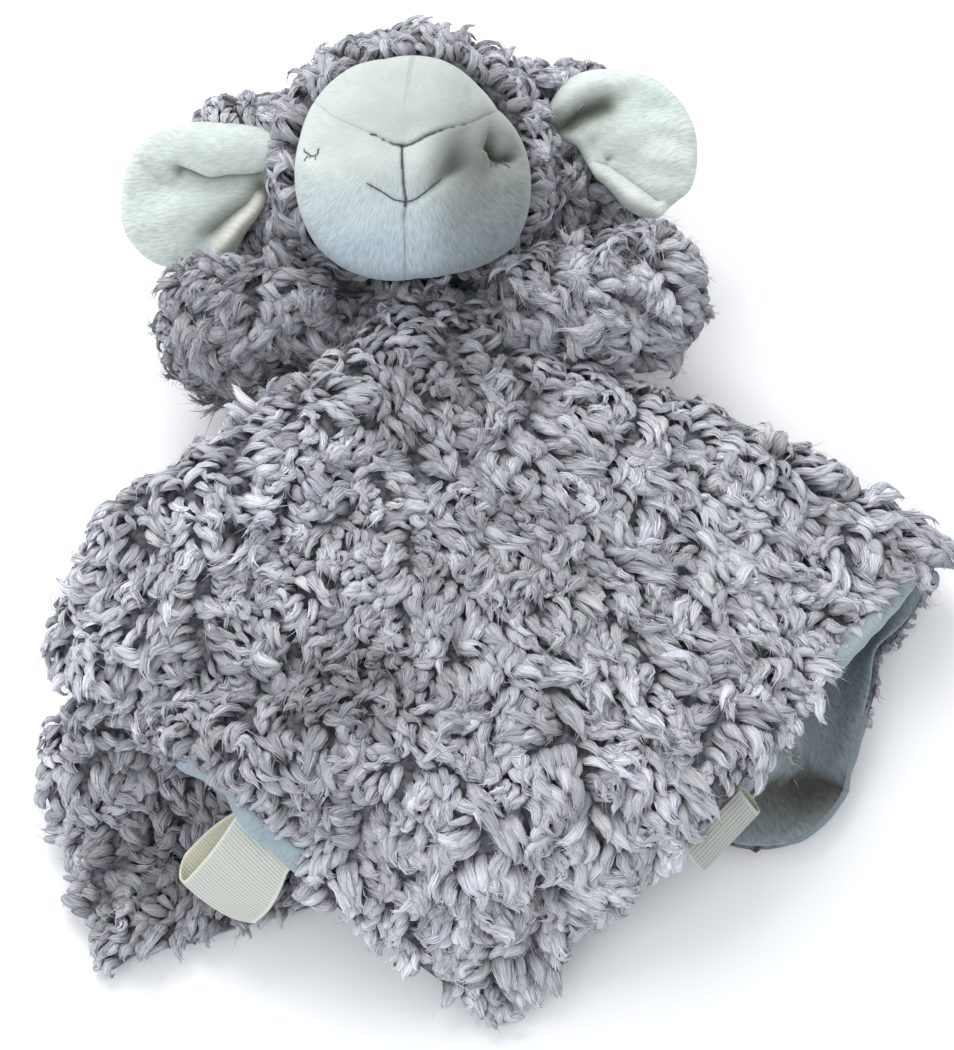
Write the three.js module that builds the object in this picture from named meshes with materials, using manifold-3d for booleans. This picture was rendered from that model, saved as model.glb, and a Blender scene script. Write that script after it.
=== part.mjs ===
// Sheep comfort blanket: a soft square blanket of curly fleece with a velour
// backing, gathered at its middle onto a stuffed sheep head with two ears and
// two stuffed arms. The toy lies on its back with the blanket folded in front
// of it. Millimetres, +Z up, +Y towards the head.

import * as THREE from 'three';
import { mergeVertices } from 'three/addons/utils/BufferGeometryUtils.js';
import Module from 'manifold-3d';

// ---------------------------------------------------------------- dimensions
const ORIGIN = new THREE.Vector3(7.33, 3.778, 0);   // bottom centre of the whole toy, in drape coordinates

const BLANKET_SIDE = 345;      // cut size of the square blanket
const BLANKET_CELLS = 29;      // drape grid, cells along each hem
const FLEECE_INNER = 0.15;     // fleece layer, distances from the middle surface
const FLEECE_OUTER = 2.75;
const BACKING_INNER = 0.15;    // velour backing, the other side of the middle surface
const BACKING_OUTER = 1.15;
const PILE_PRESSED = 8.2;      // fleece facing down below this height rests on its pressed pile
const BACKING_RESTS = 3.2;     // backing facing down below this height rests on the ground

const HEAD = new THREE.Vector3(-21.5, 119, 48.6);          // centre of the head ball
const FACE_AXIS = new THREE.Vector3(0.0330, -0.5888, 0.8076).normalize();
const HEAD_R = 44;             // outside of the fleece head cover
const HEAD_COVER_T = 2.8;
const HEAD_FLATTEN = 0.95;     // the head is a little shorter than it is wide
const RIM_H = 24;              // height of the face seam along the face axis
const FACE_R = 37;             // radius of the velour face at its seam
const FACE_DOME_H = 33;        // how far the muzzle stands out
const FACE_POWER = 2.4;        // roundness of the muzzle, 2 is an ellipse
const FACE_T = 1.6;
const SEAM_GAP = 0.3;

const NECK_CENTRE = new THREE.Vector3(-18, 70.05, 32);
const NECK_RX = 17;
const NECK_RZ = 9.5;

const ARM_T = 2.4;
const ARMS = {
  left: { root: new THREE.Vector3(-46, 68, 44), end: new THREE.Vector3(-83, 60, 44), r0: 12, r1: 19.5 },
  right: { root: new THREE.Vector3(8, 66, 46), end: new THREE.Vector3(54, 71, 45), r0: 12, r1: 19.5 },
};

const EAR_LENGTH = 50;
const EARS = {
  left: { side: -1, u0: 45.6, v0: -6.5, dv: -0.05, h0: 4, dh: 0.13 },
  right: { side: 1, u0: 45.6, v0: 8, dv: -0.03, h0: 2, dh: 0.14 },
};

const RIBBON_T = 0.8;
const RIBBONS = {
  left: { root: new THREE.Vector3(-62.4, -109.6, 37.0), tip: new THREE.Vector3(-78.7, -123.7, 17.2), hem: new THREE.Vector3(-0.704, 0.673, 0.227), width: 22, spread: 3.6 },
  right: { root: new THREE.Vector3(69.9, -101.4, 35.5), tip: new THREE.Vector3(75.4, -104.8, 28.6), hem: new THREE.Vector3(0.697, 0.685, 0.212), width: 23, spread: 3.0 },
};

// ---------------------------------------------------------------- materials
const cloth = (hex, roughness = 0.95) => new THREE.MeshStandardMaterial({ color: hex, roughness, metalness: 0 });
const GREY_FLEECE = 0x9a9ca2;
const PALE_VELOUR = 0xd6dedc;
const COOL_VELOUR = 0x9fa8ac;
const THREAD = 0x6d7680;
const RIBBON = 0xb2b4af;
const FIBRE = 0xf2f2ef;

// ---------------------------------------------------------------- helpers
const wasm = await Module();
wasm.setup();

function toSolid(geometry) {
  const bare = geometry.clone();
  bare.deleteAttribute('normal');
  bare.deleteAttribute('uv');
  const merged = mergeVertices(bare, 1e-4);
  return new wasm.Manifold(new wasm.Mesh({
    numProp: 3,
    vertProperties: new Float32Array(merged.attributes.position.array),
    triVerts: new Uint32Array(merged.index.array),
  }));
}

function toGeometry(solid) {
  const mesh = solid.getMesh();
  const geometry = new THREE.BufferGeometry();
  const positions = new Float32Array(mesh.vertProperties.length / mesh.numProp * 3);
  for (let i = 0, k = 0; i < mesh.vertProperties.length; i += mesh.numProp, k += 3) {
    positions[k] = mesh.vertProperties[i];
    positions[k + 1] = mesh.vertProperties[i + 1];
    positions[k + 2] = mesh.vertProperties[i + 2];
  }
  geometry.setAttribute('position', new THREE.BufferAttribute(positions, 3));
  geometry.setIndex(new THREE.BufferAttribute(new Uint32Array(mesh.triVerts), 1));
  geometry.computeVertexNormals();
  return geometry;
}

// An open sheet (a bent PlaneGeometry) becomes a closed layer between two
// distances from it; inner(i) and outer(i) give the two positions of vertex i.
function closedLayer(sheet, below, above) {
  const index = Array.from(sheet.index.array);
  const count = sheet.attributes.position.count;
  const positions = new Float32Array(count * 6);
  for (let i = 0; i < count; i++) {
    above(i).toArray(positions, i * 3);
    below(i).toArray(positions, (count + i) * 3);
  }
  const faces = [];
  const edges = new Map();
  for (let t = 0; t < index.length; t += 3) {
    const [a, b, c] = [index[t], index[t + 1], index[t + 2]];
    faces.push(a, b, c, count + a, count + c, count + b);
    for (const [p, q] of [[a, b], [b, c], [c, a]]) {
      if (edges.has(q + ':' + p)) edges.delete(q + ':' + p);
      else edges.set(p + ':' + q, [p, q]);
    }
  }
  for (const [p, q] of edges.values()) faces.push(q, p, count + p, q, count + p, count + q);
  const layer = new THREE.BufferGeometry();
  layer.setAttribute('position', new THREE.BufferAttribute(positions, 3));
  layer.setIndex(faces);
  layer.computeVertexNormals();
  return layer;
}

// each cell of a bent plane is split along its shorter diagonal
function shorterDiagonals(sheet, cellsX, cellsY) {
  const p = sheet.attributes.position;
  const at = (i) => new THREE.Vector3().fromBufferAttribute(p, i);
  const faces = [];
  for (let y = 0; y < cellsY; y++) {
    for (let x = 0; x < cellsX; x++) {
      const a = x + (cellsX + 1) * y;
      const b = a + cellsX + 1;
      const c = b + 1;
      const d = a + 1;
      if (at(b).distanceTo(at(d)) <= at(a).distanceTo(at(c))) faces.push(a, b, d, b, c, d);
      else faces.push(a, b, c, a, c, d);
    }
  }
  sheet.setIndex(faces);
  sheet.computeVertexNormals();
}

// a thread or cord of round section along points
function threadAlong(points, radius, steps, sides = 6) {
  const curve = new THREE.CatmullRomCurve3(points, false, 'centripetal');
  const section = new THREE.Shape();
  for (let k = 0; k < sides; k++) {
    const t = (k / sides) * Math.PI * 2;
    if (k === 0) section.moveTo(radius * Math.cos(t), radius * Math.sin(t));
    else section.lineTo(radius * Math.cos(t), radius * Math.sin(t));
  }
  section.closePath();
  return new THREE.ExtrudeGeometry(section, { steps, bevelEnabled: false, extrudePath: curve });
}

function joinAll(geometries) {
  return toGeometry(geometries.map(toSolid).reduce((sum, next) => sum.add(next)));
}

const toy = new THREE.Group();
const inDrape = new THREE.Group();       // everything below is placed in drape coordinates
inDrape.position.copy(ORIGIN).negate();
toy.add(inDrape);

function piece(parent, name, geometry, material) {
  const mesh = new THREE.Mesh(geometry, material);
  mesh.name = name;
  parent.add(mesh);
  return mesh;
}

// ---------------------------------------------------------------- blanket
// Middle surface of the draped blanket. Each row runs from the front corner
// along the left hem; the rows step along the right hem.
const DRAPE = [
  [4, -152.6, 1.9, -5, -146.6, 6.5, -14, -140.7, 11.4, -22.8, -135.1, 16.8, -31.4, -130.5, 23.5, -40, -125.4, 29.6, -48.7, -118.6, 34, -57.3, -111.1, 36.6, -66, -104.1, 40.5, -71.1, -93.8, 39, -81, -88, 40.4, -91.6, -83.8, 42.5, -98.9, -76.4, 37, -105.8, -67.9, 32.5, -116.2, -66.6, 38.7, -123.5, -58.2, 35.5, -126.9, -48.3, 29.4, -117.1, -49, 23.4, -107.6, -43.9, 19.5, -106.3, -44.4, 7.7, -94.9, -39.1, 7.4, -86.3, -29.8, 10.4, -83, -18.9, 13.9, -77.7, -9.7, 21.3, -69.9, -5.3, 29.3, -58, -4, 31, -46.3, -3.5, 28.9, -37, -3.2, 21.4, -25.3, -2, 22.2, -13.4, -0.9, 22.5],
  [12.4, -145.1, 5.3, 3.5, -138.6, 9.8, -5.4, -133.4, 15.7, -14, -128.8, 22.4, -22.5, -125.1, 29.8, -31.4, -119.3, 35.3, -40, -111.4, 37.8, -48.7, -103.9, 41, -57.5, -98.8, 47.2, -66.8, -91.8, 50.1, -76.2, -84.4, 51, -84.5, -75.6, 47.7, -89.8, -68.9, 38.8, -98.9, -61.1, 39.7, -109, -60.1, 46.3, -117.6, -52.1, 44.5, -123.4, -43.3, 39.5, -115.7, -39.4, 31.1, -118.8, -37.5, 19.7, -114.4, -34.8, 8, -102.5, -30.3, 7.5, -96, -24.9, 15.7, -89.5, -19.8, 23.6, -79.5, -17.5, 29.9, -68.5, -16.1, 34.5, -56.7, -15.6, 33.6, -45.7, -15.4, 28.7, -35.9, -15.1, 22.1, -24.1, -13.8, 21.5, -12.3, -12.7, 23],
  [20.9, -137.6, 9.1, 12, -131.8, 14.6, 3.3, -127.1, 21.2, -5.4, -123.2, 28.6, -14, -119.2, 35.7, -22.8, -112.3, 39.9, -31.5, -104.6, 42.5, -40.4, -98.1, 47.3, -49.4, -91.6, 51.8, -58.7, -84.3, 54.6, -67.4, -76.5, 52.2, -74.2, -70.1, 44.3, -82.3, -61.2, 43.9, -92.3, -57.3, 49.1, -102.4, -52.2, 52.8, -109.5, -44.2, 48.8, -117.2, -35.7, 47.1, -118.4, -29.7, 37, -121.6, -27, 25.2, -114, -25.9, 16.2, -106.1, -36.8, 17.5, -96.1, -34.3, 22.9, -91.5, -28.3, 31.8, -79.4, -28.1, 34.7, -67.7, -27.8, 36.8, -55.9, -27.5, 33.5, -45.6, -27.2, 27.6, -34.9, -26.9, 21.8, -23, -25.6, 20.7, -11.1, -24.4, 21.3],
  [29.4, -130.5, 13.5, 20.8, -125.2, 19.9, 12.2, -121, 27.1, 3.8, -118, 35.1, -5, -112.9, 41.4, -14, -105.3, 44.3, -22.9, -98.1, 47.7, -31.8, -90.9, 51.4, -40.7, -83.5, 54.2, -49.8, -75.8, 54.5, -57.8, -70.4, 47.5, -66.4, -62.5, 49, -75.8, -57.1, 53.6, -85.1, -50.2, 55.5, -94.4, -43.1, 57.1, -101.4, -35.2, 52.2, -110.4, -27.7, 52.4, -113.7, -20.9, 43.2, -115.6, -17.2, 31.1, -108, -25.3, 25.4, -108.7, -38, 28.9, -99.2, -43.5, 29.7, -90.3, -38.3, 37.6, -78.3, -39.4, 35.4, -67, -38.9, 32.1, -55.2, -39.5, 32.7, -43.7, -38.7, 29.6, -32.3, -37.8, 26.3, -21.5, -37.1, 21.2, -9.7, -36.2, 21.4],
  [37.8, -123.3, 18.2, 29.2, -118.8, 25.4, 20.8, -114.9, 32.9, 12.2, -111.4, 40.6, 3.3, -105.2, 45.6, -5.7, -97.4, 47.3, -14.6, -89.8, 49.8, -23.5, -82.3, 52.1, -32.6, -74.7, 53.7, -41.6, -67.5, 51.7, -50.5, -61, 47.3, -58.8, -54.4, 52.7, -68.5, -47.4, 53, -77.8, -40.6, 53.9, -86.3, -34.4, 59.4, -94.5, -26.4, 56.5, -103.8, -19, 58.2, -108.2, -11.9, 49, -107.4, -12.5, 36.8, -106, -25.8, 36.6, -103.6, -36.4, 40.2, -98.7, -48, 41, -88.4, -51.1, 34.3, -78.5, -49.4, 28.5, -66.8, -48.8, 25.6, -55.2, -50.3, 27.8, -44.1, -49.2, 24, -32.4, -49.3, 23, -20.7, -49, 21, -8.8, -48.1, 21.1],
  [46.3, -116.4, 23.4, 38, -112.4, 31.1, 29.6, -108.5, 38.6, 20.8, -103.6, 45.2, 11.7, -96.5, 48.2, 2.6, -88.6, 47.6, -6.5, -81, 49.2, -15.5, -73.4, 50.9, -24.7, -65.8, 51.4, -33.7, -59, 48.1, -43, -51.6, 47.1, -51.6, -44.8, 51.5, -61.2, -37.9, 51.2, -70.6, -30.9, 52.6, -78, -24.9, 59.6, -87.1, -17.9, 62.6, -96.1, -10, 60.3, -100.4, -5.2, 49.7, -97.9, -13.8, 41.3, -94.8, -23.9, 36.9, -92.2, -33.1, 43.8, -87.6, -43.8, 46.9, -81.8, -54.3, 43.5, -75.6, -59.8, 33.9, -67, -61.2, 25.7, -55.4, -60.8, 21.5, -43.6, -60.8, 20.9, -31.9, -61.1, 23.3, -19.9, -60.5, 23.5, -8.2, -60.1, 21.3],
  [54.6, -109.7, 28.8, 46.4, -106.1, 36.7, 38, -101.8, 44, 28.8, -94.9, 47.9, 19.5, -87.4, 48, 10.4, -79.7, 46.6, 1.3, -72, 48.3, -7.8, -64.4, 49.3, -17, -56.9, 49, -26.2, -49.8, 46.7, -35.5, -42.4, 46.7, -44.4, -35.3, 50.1, -54.1, -28.4, 49.9, -63.3, -21.3, 51.9, -70.5, -15.6, 59.5, -79.5, -8.6, 62.6, -87.8, -1.7, 57.7, -89.6, -2.8, 45.8, -90.2, -8.1, 34.9, -84.3, -19.2, 36.1, -81.4, -28, 43.7, -76.7, -39.1, 45.4, -70.8, -49.8, 46.3, -66.5, -60.7, 41.8, -61.9, -68.5, 33.9, -54.1, -72.1, 25.3, -43.3, -72.7, 20, -31.2, -72.5, 20.4, -19.6, -72.4, 22.6, -7.8, -71.9, 21.3],
  [63.3, -104.2, 35.2, 55.3, -99.8, 42.9, 46.3, -93.1, 47.2, 36.8, -85.6, 48.3, 27.5, -78.2, 47.7, 18.3, -70.5, 48.4, 9.1, -62.9, 48, -0.1, -55.3, 48.2, -9.3, -47.8, 48.2, -18.5, -40.4, 46.8, -27.9, -33.1, 46.8, -37.1, -25.9, 48.7, -46.6, -18.7, 48.8, -55.8, -11.7, 51.3, -63.2, -5.6, 58.3, -72.4, 1.5, 60.3, -81, 7, 54.2, -84.3, 5.7, 42.3, -80.8, -2.6, 33.8, -75.2, -13, 38.5, -70.9, -22.4, 44.1, -66, -33.5, 44.5, -61.3, -44.2, 41.8, -56.2, -55, 41.2, -51.8, -66.1, 40.2, -47.7, -76.2, 34.9, -41.5, -82.8, 26.9, -31, -84.7, 20.8, -19, -83.9, 20.4, -7.3, -83.7, 23],
  [71.5, -96.4, 38.8, 63.2, -91.1, 45.7, 53.7, -83.7, 46.1, 44.2, -76.5, 45.8, 34.9, -69, 45.8, 25.9, -61.4, 47.6, 16.7, -53.7, 48.1, 7.4, -46.1, 48.8, -1.8, -38.6, 49.3, -11.1, -31.2, 47.5, -20.4, -23.8, 47.2, -29.8, -16.5, 47.9, -39.3, -9.2, 48.4, -48.4, -2.1, 50.7, -56.1, 4, 57.1, -65.5, 11.1, 58.9, -73.5, 15.7, 50.9, -75, 12.1, 39.2, -70.3, 2.1, 34.5, -65.2, -7, 41.1, -60, -17.3, 44.2, -55.4, -28.5, 42.5, -50.5, -39.3, 41.6, -45.6, -50.2, 40.2, -41.3, -61.1, 38.6, -36.9, -72.2, 38.4, -33.2, -83.3, 35.8, -27.8, -92.4, 29.8, -18.5, -95.8, 22.9, -6.7, -95.2, 20.2],
  [79.7, -88.2, 40.7, 70.8, -81.3, 44.7, 61.2, -74.4, 43.7, 51.7, -67.2, 43.3, 42.4, -59.8, 43.5, 33.2, -52.2, 44.4, 24, -44.6, 45.4, 14.9, -36.8, 47.1, 5.7, -29.3, 47.7, -3.6, -21.8, 48.6, -12.9, -14.4, 47.9, -22.3, -7, 47.7, -31.7, 0.4, 48.3, -40.8, 7.6, 50.5, -48.7, 13.8, 56.9, -58.5, 20.6, 56.1, -65.4, 22.6, 46.6, -66.4, 18.1, 35.1, -60.7, 7.5, 32.7, -55, -2.2, 37.6, -50, -12.8, 39.1, -45.7, -23.8, 37.3, -41, -34.7, 36.3, -36.6, -45.7, 34.1, -32.2, -56.8, 32.5, -27.5, -67.8, 32.7, -22.4, -78, 36.5, -18.3, -89.2, 37.4, -13.5, -99.6, 33.7, -6, -105.7, 26.3],
  [87.3, -79.1, 39.6, 78.2, -72.1, 42.9, 68.6, -65.3, 41.4, 59.1, -58.1, 40.8, 49.7, -50.6, 41.1, 40.5, -43.1, 41.9, 31.3, -35.4, 42.8, 22.1, -27.8, 44.1, 13, -20.2, 45.4, 3.8, -12.5, 47.4, -5.5, -5, 47.9, -15, 2.4, 47.9, -24.3, 9.8, 48.3, -33.5, 17.1, 50.4, -41.7, 23.6, 56, -51.5, 30, 53.4, -57.4, 30.4, 42.8, -56, 23.4, 32.9, -50.3, 12.9, 32.9, -44.6, 2.7, 35.2, -39.8, -8.3, 35.1, -35.6, -19.3, 33.2, -30.5, -30.1, 33.2, -25.8, -41.1, 32.4, -21.4, -52.1, 30.9, -16.7, -63.1, 31, -12.1, -74, 32.5, -7.4, -84.4, 36.3, -3.1, -95.3, 38.4, 1.2, -106.4, 36],
  [95.2, -70.4, 40.2, 85.8, -63, 40.6, 76.2, -56.2, 38.9, 66.7, -48.9, 38.5, 57.3, -41.4, 38.9, 48, -33.8, 39.7, 38.7, -26.3, 40.6, 29.4, -18.5, 41.9, 20.3, -10.9, 43.2, 11, -3.2, 44.6, 1.8, 4.3, 45.9, -7.6, 11.9, 47.1, -16.9, 19.4, 48.1, -26.1, 26.9, 50, -34.5, 34.1, 54.3, -44.4, 39, 49.7, -49, 36.7, 38.9, -46.1, 28.5, 30.3, -40.6, 17.9, 29.5, -35.5, 7, 28.8, -30.5, -3.8, 29.1, -25.5, -14.6, 28.8, -20.5, -25.4, 28.7, -15.5, -36.4, 28.8, -10.6, -47.3, 29.1, -5.9, -58.4, 29.8, -1.3, -69.4, 31, 3.2, -80.5, 32.7, 7.6, -91.3, 34.9, 12.2, -102, 37.7],
  [102.9, -61.5, 38, 93.3, -54.4, 37.2, 83.7, -47.3, 36.4, 74.2, -39.8, 36.5, 64.9, -32.4, 37.1, 55.5, -24.7, 38, 46.2, -17.1, 39.1, 36.9, -9.4, 40.4, 27.7, -1.7, 41.7, 18.3, 6, 43.1, 9.1, 13.7, 44.6, -0.4, 21.4, 46.1, -9.7, 28.9, 47.6, -19.1, 36.8, 49.1, -28.2, 44, 51.9, -37.8, 47.9, 45.7, -41, 44.1, 34.4, -35.5, 33.6, 29.1, -30, 23.1, 30.2, -25.1, 11.9, 31.8, -20.4, 1, 32.8, -15.7, -10, 33.8, -11, -21, 34.3, -6.3, -32, 34.9, -1.8, -43, 35.7, 2.9, -54, 36.5, 7.7, -64.8, 37.2, 12.8, -75.6, 37.7, 17.8, -86.3, 38.6, 22.7, -97.1, 39.4],
  [110.6, -52.8, 35.9, 101, -45.6, 34.8, 91.5, -38.4, 34.5, 82, -30.8, 34.9, 72.7, -23.3, 35.8, 63.3, -15.6, 37.2, 54.1, -8.1, 38.9, 44.6, -0.2, 39.6, 35.4, 7.4, 40.8, 25.9, 15.3, 42.3, 16.6, 22.9, 44.1, 6.9, 30.8, 46, -2.5, 38.3, 47.8, -12.2, 46.7, 49.6, -21.1, 55.2, 49.1, -31.4, 57.7, 41.7, -32.1, 48.9, 33.1, -27.3, 37.1, 36.2, -22.5, 26.9, 38.7, -17.2, 15.9, 39.8, -12.1, 5.1, 40.3, -7, -5.9, 40.6, -2, -16.7, 40.8, 3, -27.6, 40.9, 7.9, -38.5, 40.9, 12.9, -49.2, 40.8, 18, -60, 40.7, 23.1, -70.6, 40.7, 28.3, -81.3, 40.9, 33.4, -92, 40.8],
  [118.3, -44.1, 33.2, 108.6, -36.8, 32.5, 99.2, -29.4, 32.7, 89.6, -21.8, 33.7, 80.4, -14.2, 35, 70.9, -6.5, 36.4, 61.7, 1, 37.6, 52.3, 8.8, 38.8, 43.1, 16.5, 40.2, 33.6, 24.3, 42.2, 24.5, 31.7, 44.4, 14.6, 39.7, 46.5, 5.1, 47.3, 46.7, -6.2, 55, 45.7, -16, 67, 44.3, -24.4, 67, 35.4, -21.7, 53, 35.7, -16.3, 41.8, 37.4, -11.2, 31.4, 38, -6.3, 20.6, 38.2, -1.2, 9.7, 38.2, 3.7, -1.2, 37.9, 8.5, -12.1, 37.4, 13.3, -23, 37, 18.1, -33.9, 36.5, 22.8, -44.7, 35.9, 27.6, -55.5, 35.3, 32.5, -66.1, 34.8, 37.3, -77, 34.3, 41.5, -87.6, 33.4],
  [125.7, -35.7, 29.7, 116.3, -27.9, 30.4, 107, -20.5, 31.9, 97.5, -12.8, 33.6, 88.3, -5.2, 35, 78.9, 2.5, 36.3, 69.6, 10, 37.2, 60.3, 17.8, 38.1, 51, 25.4, 39.4, 41.6, 33.2, 40, 31.9, 40.3, 40.7, 21.4, 46.7, 39.5, 10.2, 50.6, 36.7, -0.5, 55.3, 34.3, -7.6, 67, 36.3, -16, 67, 27.4, -17.1, 54.1, 26, -10, 43.8, 27.3, -5.1, 33.5, 27.6, -0.6, 22.6, 27.6, 4, 11.7, 27.4, 8.4, 0.7, 26.9, 12.7, -10.3, 26.3, 17, -21.3, 25.7, 21.3, -32.3, 25, 25.5, -43.2, 24.2, 29.9, -54.2, 23.5, 34.1, -65, 23, 38.6, -75.9, 22.4, 42.8, -86.6, 21.6],
  [133.3, -26.8, 30.4, 124.1, -19.3, 32.8, 114.8, -11.8, 34, 105.3, -4, 35.1, 96.1, 3.7, 36.1, 86.7, 11.5, 36.9, 77.3, 19, 36.6, 67.8, 26.6, 36, 58.3, 33.9, 35.2, 48.2, 40.9, 33.6, 37.3, 45.8, 31.5, 26, 50, 29.1, 15.1, 54.2, 26.5, 4.9, 58.9, 24.3, -5.1, 64.2, 21.9, -16.1, 65.3, 16, -16.4, 52.4, 14.9, -12.8, 42, 15.4, -9, 31.2, 16.4, -5.1, 20.8, 16.5, -0.6, 9.8, 16.4, 3.4, -1, 16.1, 7.3, -12.2, 15.7, 11.1, -23.3, 15.4, 15, -34.5, 14.9, 18.9, -45.6, 14.5, 22.8, -56.8, 14.2, 26.8, -67.9, 13.9, 30.7, -79, 14.1, 34.9, -90.1, 13.5],
  [141.2, -17.9, 31.6, 132, -10.3, 32.1, 122.6, -2.9, 32.2, 113, 4.7, 32.3, 103.7, 12.6, 32.6, 93.7, 19.9, 31.4, 83.5, 25.9, 29.2, 73.1, 32.4, 26.6, 62, 36.5, 24.1, 50.4, 40.2, 21.7, 38.9, 43, 20, 27.2, 45.8, 18, 15.7, 48.7, 16, 3.9, 51.4, 14.7, -6.6, 54.7, 11.5, -18.7, 57, 6.5, -28, 51.7, 13.7, -23.9, 38.3, 13.9, -20.5, 27.9, 13.5, -16.1, 16.8, 13.5, -11.7, 5.8, 14.1, -7.6, -5.2, 13.8, -3.7, -16.4, 13.5, 0.1, -27.5, 13.8, 3.9, -38.8, 13.9, 7.8, -49.9, 13.7, 11.7, -61.1, 13.8, 15.7, -72.3, 13.9, 19.7, -83.4, 14, 23.8, -94.6, 14.1],
  [146.5, -11.6, 22.7, 136.7, -5.1, 22.4, 126.9, 1.8, 22.1, 117.1, 8.6, 21.8, 107.4, 15.6, 21.5, 96.4, 21.2, 19.7, 84.9, 24.2, 17.4, 73.1, 27, 15.9, 61.4, 29.4, 14.5, 49.4, 31.4, 13.8, 37.6, 33.5, 12.9, 25.7, 35.7, 12, 14, 37.9, 11.3, 2.1, 40.3, 10.4, -9.3, 43.3, 8.2, -21.2, 44.5, 6.5, -34.1, 44, 8.4, -34.2, 36.3, 19.7, -29.7, 24.8, 20.5, -26.1, 13.1, 18.7, -22.6, 2, 16.5, -18.8, -9.1, 14.1, -14.9, -20.3, 14.6, -11.1, -31.6, 13.9, -7.2, -42.9, 14.1, -3.3, -54.1, 13.8, 0.6, -65.3, 14.6, 4.6, -76.5, 13.7, 8.6, -87.7, 14.6, 12.8, -98.8, 14.7],
  [145.9, -15.8, 11.2, 136.2, -8.7, 10.9, 126, -2.5, 10.9, 115.8, 3.4, 10.9, 105.3, 8.9, 11.4, 94.3, 12.3, 11.6, 82.7, 14.8, 10.2, 71, 16.3, 11.1, 59.3, 18.2, 10.7, 47.5, 20.3, 9.8, 35.8, 22.3, 9.2, 23.9, 24.4, 8.7, 12.1, 26.5, 8.4, 0.2, 28.7, 8, -11.5, 30.8, 7, -23.4, 32, 6.5, -35.6, 32.8, 6.5, -43.7, 30.5, 16, -40.4, 20.3, 22.4, -37.1, 9.6, 16.5, -33.6, -1.4, 13.5, -29.8, -13.1, 14.5, -25.9, -24.3, 13.7, -22.1, -35.8, 13.8, -18.3, -47.1, 13.8, -14.4, -58.4, 13.8, -10.4, -69.6, 13.8, -6.5, -80.9, 14.8, -2.4, -91.9, 13.1, 1.8, -103, 12.4],
  [140.2, -25.7, 7.6, 130.8, -18.5, 6.5, 120.7, -12.3, 6.5, 110.6, -6.9, 7.2, 100.8, -2.4, 11.6, 90.3, 1.1, 14, 80.6, 3.2, 7.5, 69, 4.7, 9.3, 57.4, 6.8, 8, 45.6, 8.8, 7.5, 33.9, 10.8, 7.2, 22, 12.8, 7, 10.2, 14.8, 7, -1.6, 16.8, 7, -13.3, 18.9, 6.5, -25.1, 20.2, 6.5, -36.8, 20.9, 6.5, -48.9, 21.4, 9.9, -51.3, 15.7, 20.9, -46.3, 4.2, 22.3, -44.7, -5.5, 15, -40.8, -17.1, 13.3, -37, -28.4, 14, -33.3, -39.9, 14, -29.4, -51.2, 13.9, -25.5, -62.5, 14.2, -21.5, -73.8, 14, -17.5, -85.1, 13.6, -13.4, -96.3, 13.2, -9.2, -107.3, 11.4],
  [133.4, -34.2, 13.1, 125.4, -28.7, 6.5, 115.3, -22.9, 6.5, 105.3, -17.8, 9.2, 98.3, -12.7, 17.5, 86.7, -10.1, 16.6, 78.9, -9, 7.7, 67.2, -7, 7, 55.5, -5, 6.6, 43.8, -3, 6.5, 32, -1, 6.5, 20.2, 0.9, 6.5, 8.4, 2.9, 6.5, -3.4, 4.8, 6.5, -15.2, 6.6, 6.5, -27.1, 8, 6.5, -38.9, 9.1, 6.5, -51.2, 10.1, 6.5, -59.4, 8.6, 15.8, -56.7, -0.3, 24.4, -52.5, -11.5, 22, -51.6, -21.5, 15.1, -47.9, -32.9, 13.1, -44.3, -44.2, 14.9, -40.5, -55.5, 14.2, -36.5, -66.9, 13.3, -32.6, -78.2, 13.2, -28.6, -89.6, 13.7, -24.5, -100.8, 12.5, -20.2, -112.1, 11.5],
  [125.6, -42.6, 16.7, 120.3, -39.4, 6.5, 109.9, -33.6, 6.5, 102.6, -28.5, 13.6, 95.3, -23.5, 21.7, 84, -21.8, 17.7, 77, -20.7, 8.1, 65.4, -18.8, 6.5, 53.7, -16.8, 6.5, 42, -14.8, 6.5, 30.2, -12.8, 6.5, 18.4, -10.8, 6.5, 6.7, -8.9, 6.5, -5.1, -7, 6.5, -16.9, -5.3, 6.5, -28.6, -3.9, 6.5, -40.5, -2.8, 6.5, -52.4, -1.7, 6.5, -63.9, -1.2, 10.5, -66.9, -5.9, 21.6, -62.3, -16.3, 26.6, -60.2, -27.1, 21.1, -59.1, -36.9, 14.4, -55.4, -48.4, 13.6, -51.6, -59.7, 14.1, -47.7, -71.1, 13.8, -43.8, -82.3, 14.2, -39.8, -93.7, 13.8, -35.6, -104.7, 11.3, -31.5, -115.9, 10.1],
  [123.3, -54.2, 15.4, 116.2, -50, 6.5, 105.7, -44.5, 7.9, 101.8, -39.6, 18.4, 92.7, -35, 24.6, 83.5, -33.7, 16.6, 75.3, -32.7, 8.5, 63.7, -30.7, 6.5, 52, -28.7, 6.5, 40.3, -26.6, 6.5, 28.5, -24.7, 6.5, 16.8, -22.7, 6.5, 5, -20.8, 6.5, -6.8, -19, 6.5, -18.5, -17.3, 6.5, -30.4, -15.9, 6.5, -42.2, -14.5, 6.5, -54.1, -13.4, 6.5, -66.1, -12.4, 7, -73.4, -13.9, 16.7, -73.2, -21.2, 26.7, -69.3, -33, 25.8, -69.6, -41.7, 17.5, -66.5, -52.7, 13.7, -62.8, -63.9, 14.1, -59, -75.2, 14.7, -55.1, -86.3, 13.7, -51, -97, 10.5, -46.8, -107.9, 8.2, -43.1, -119.3, 8.5],
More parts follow.
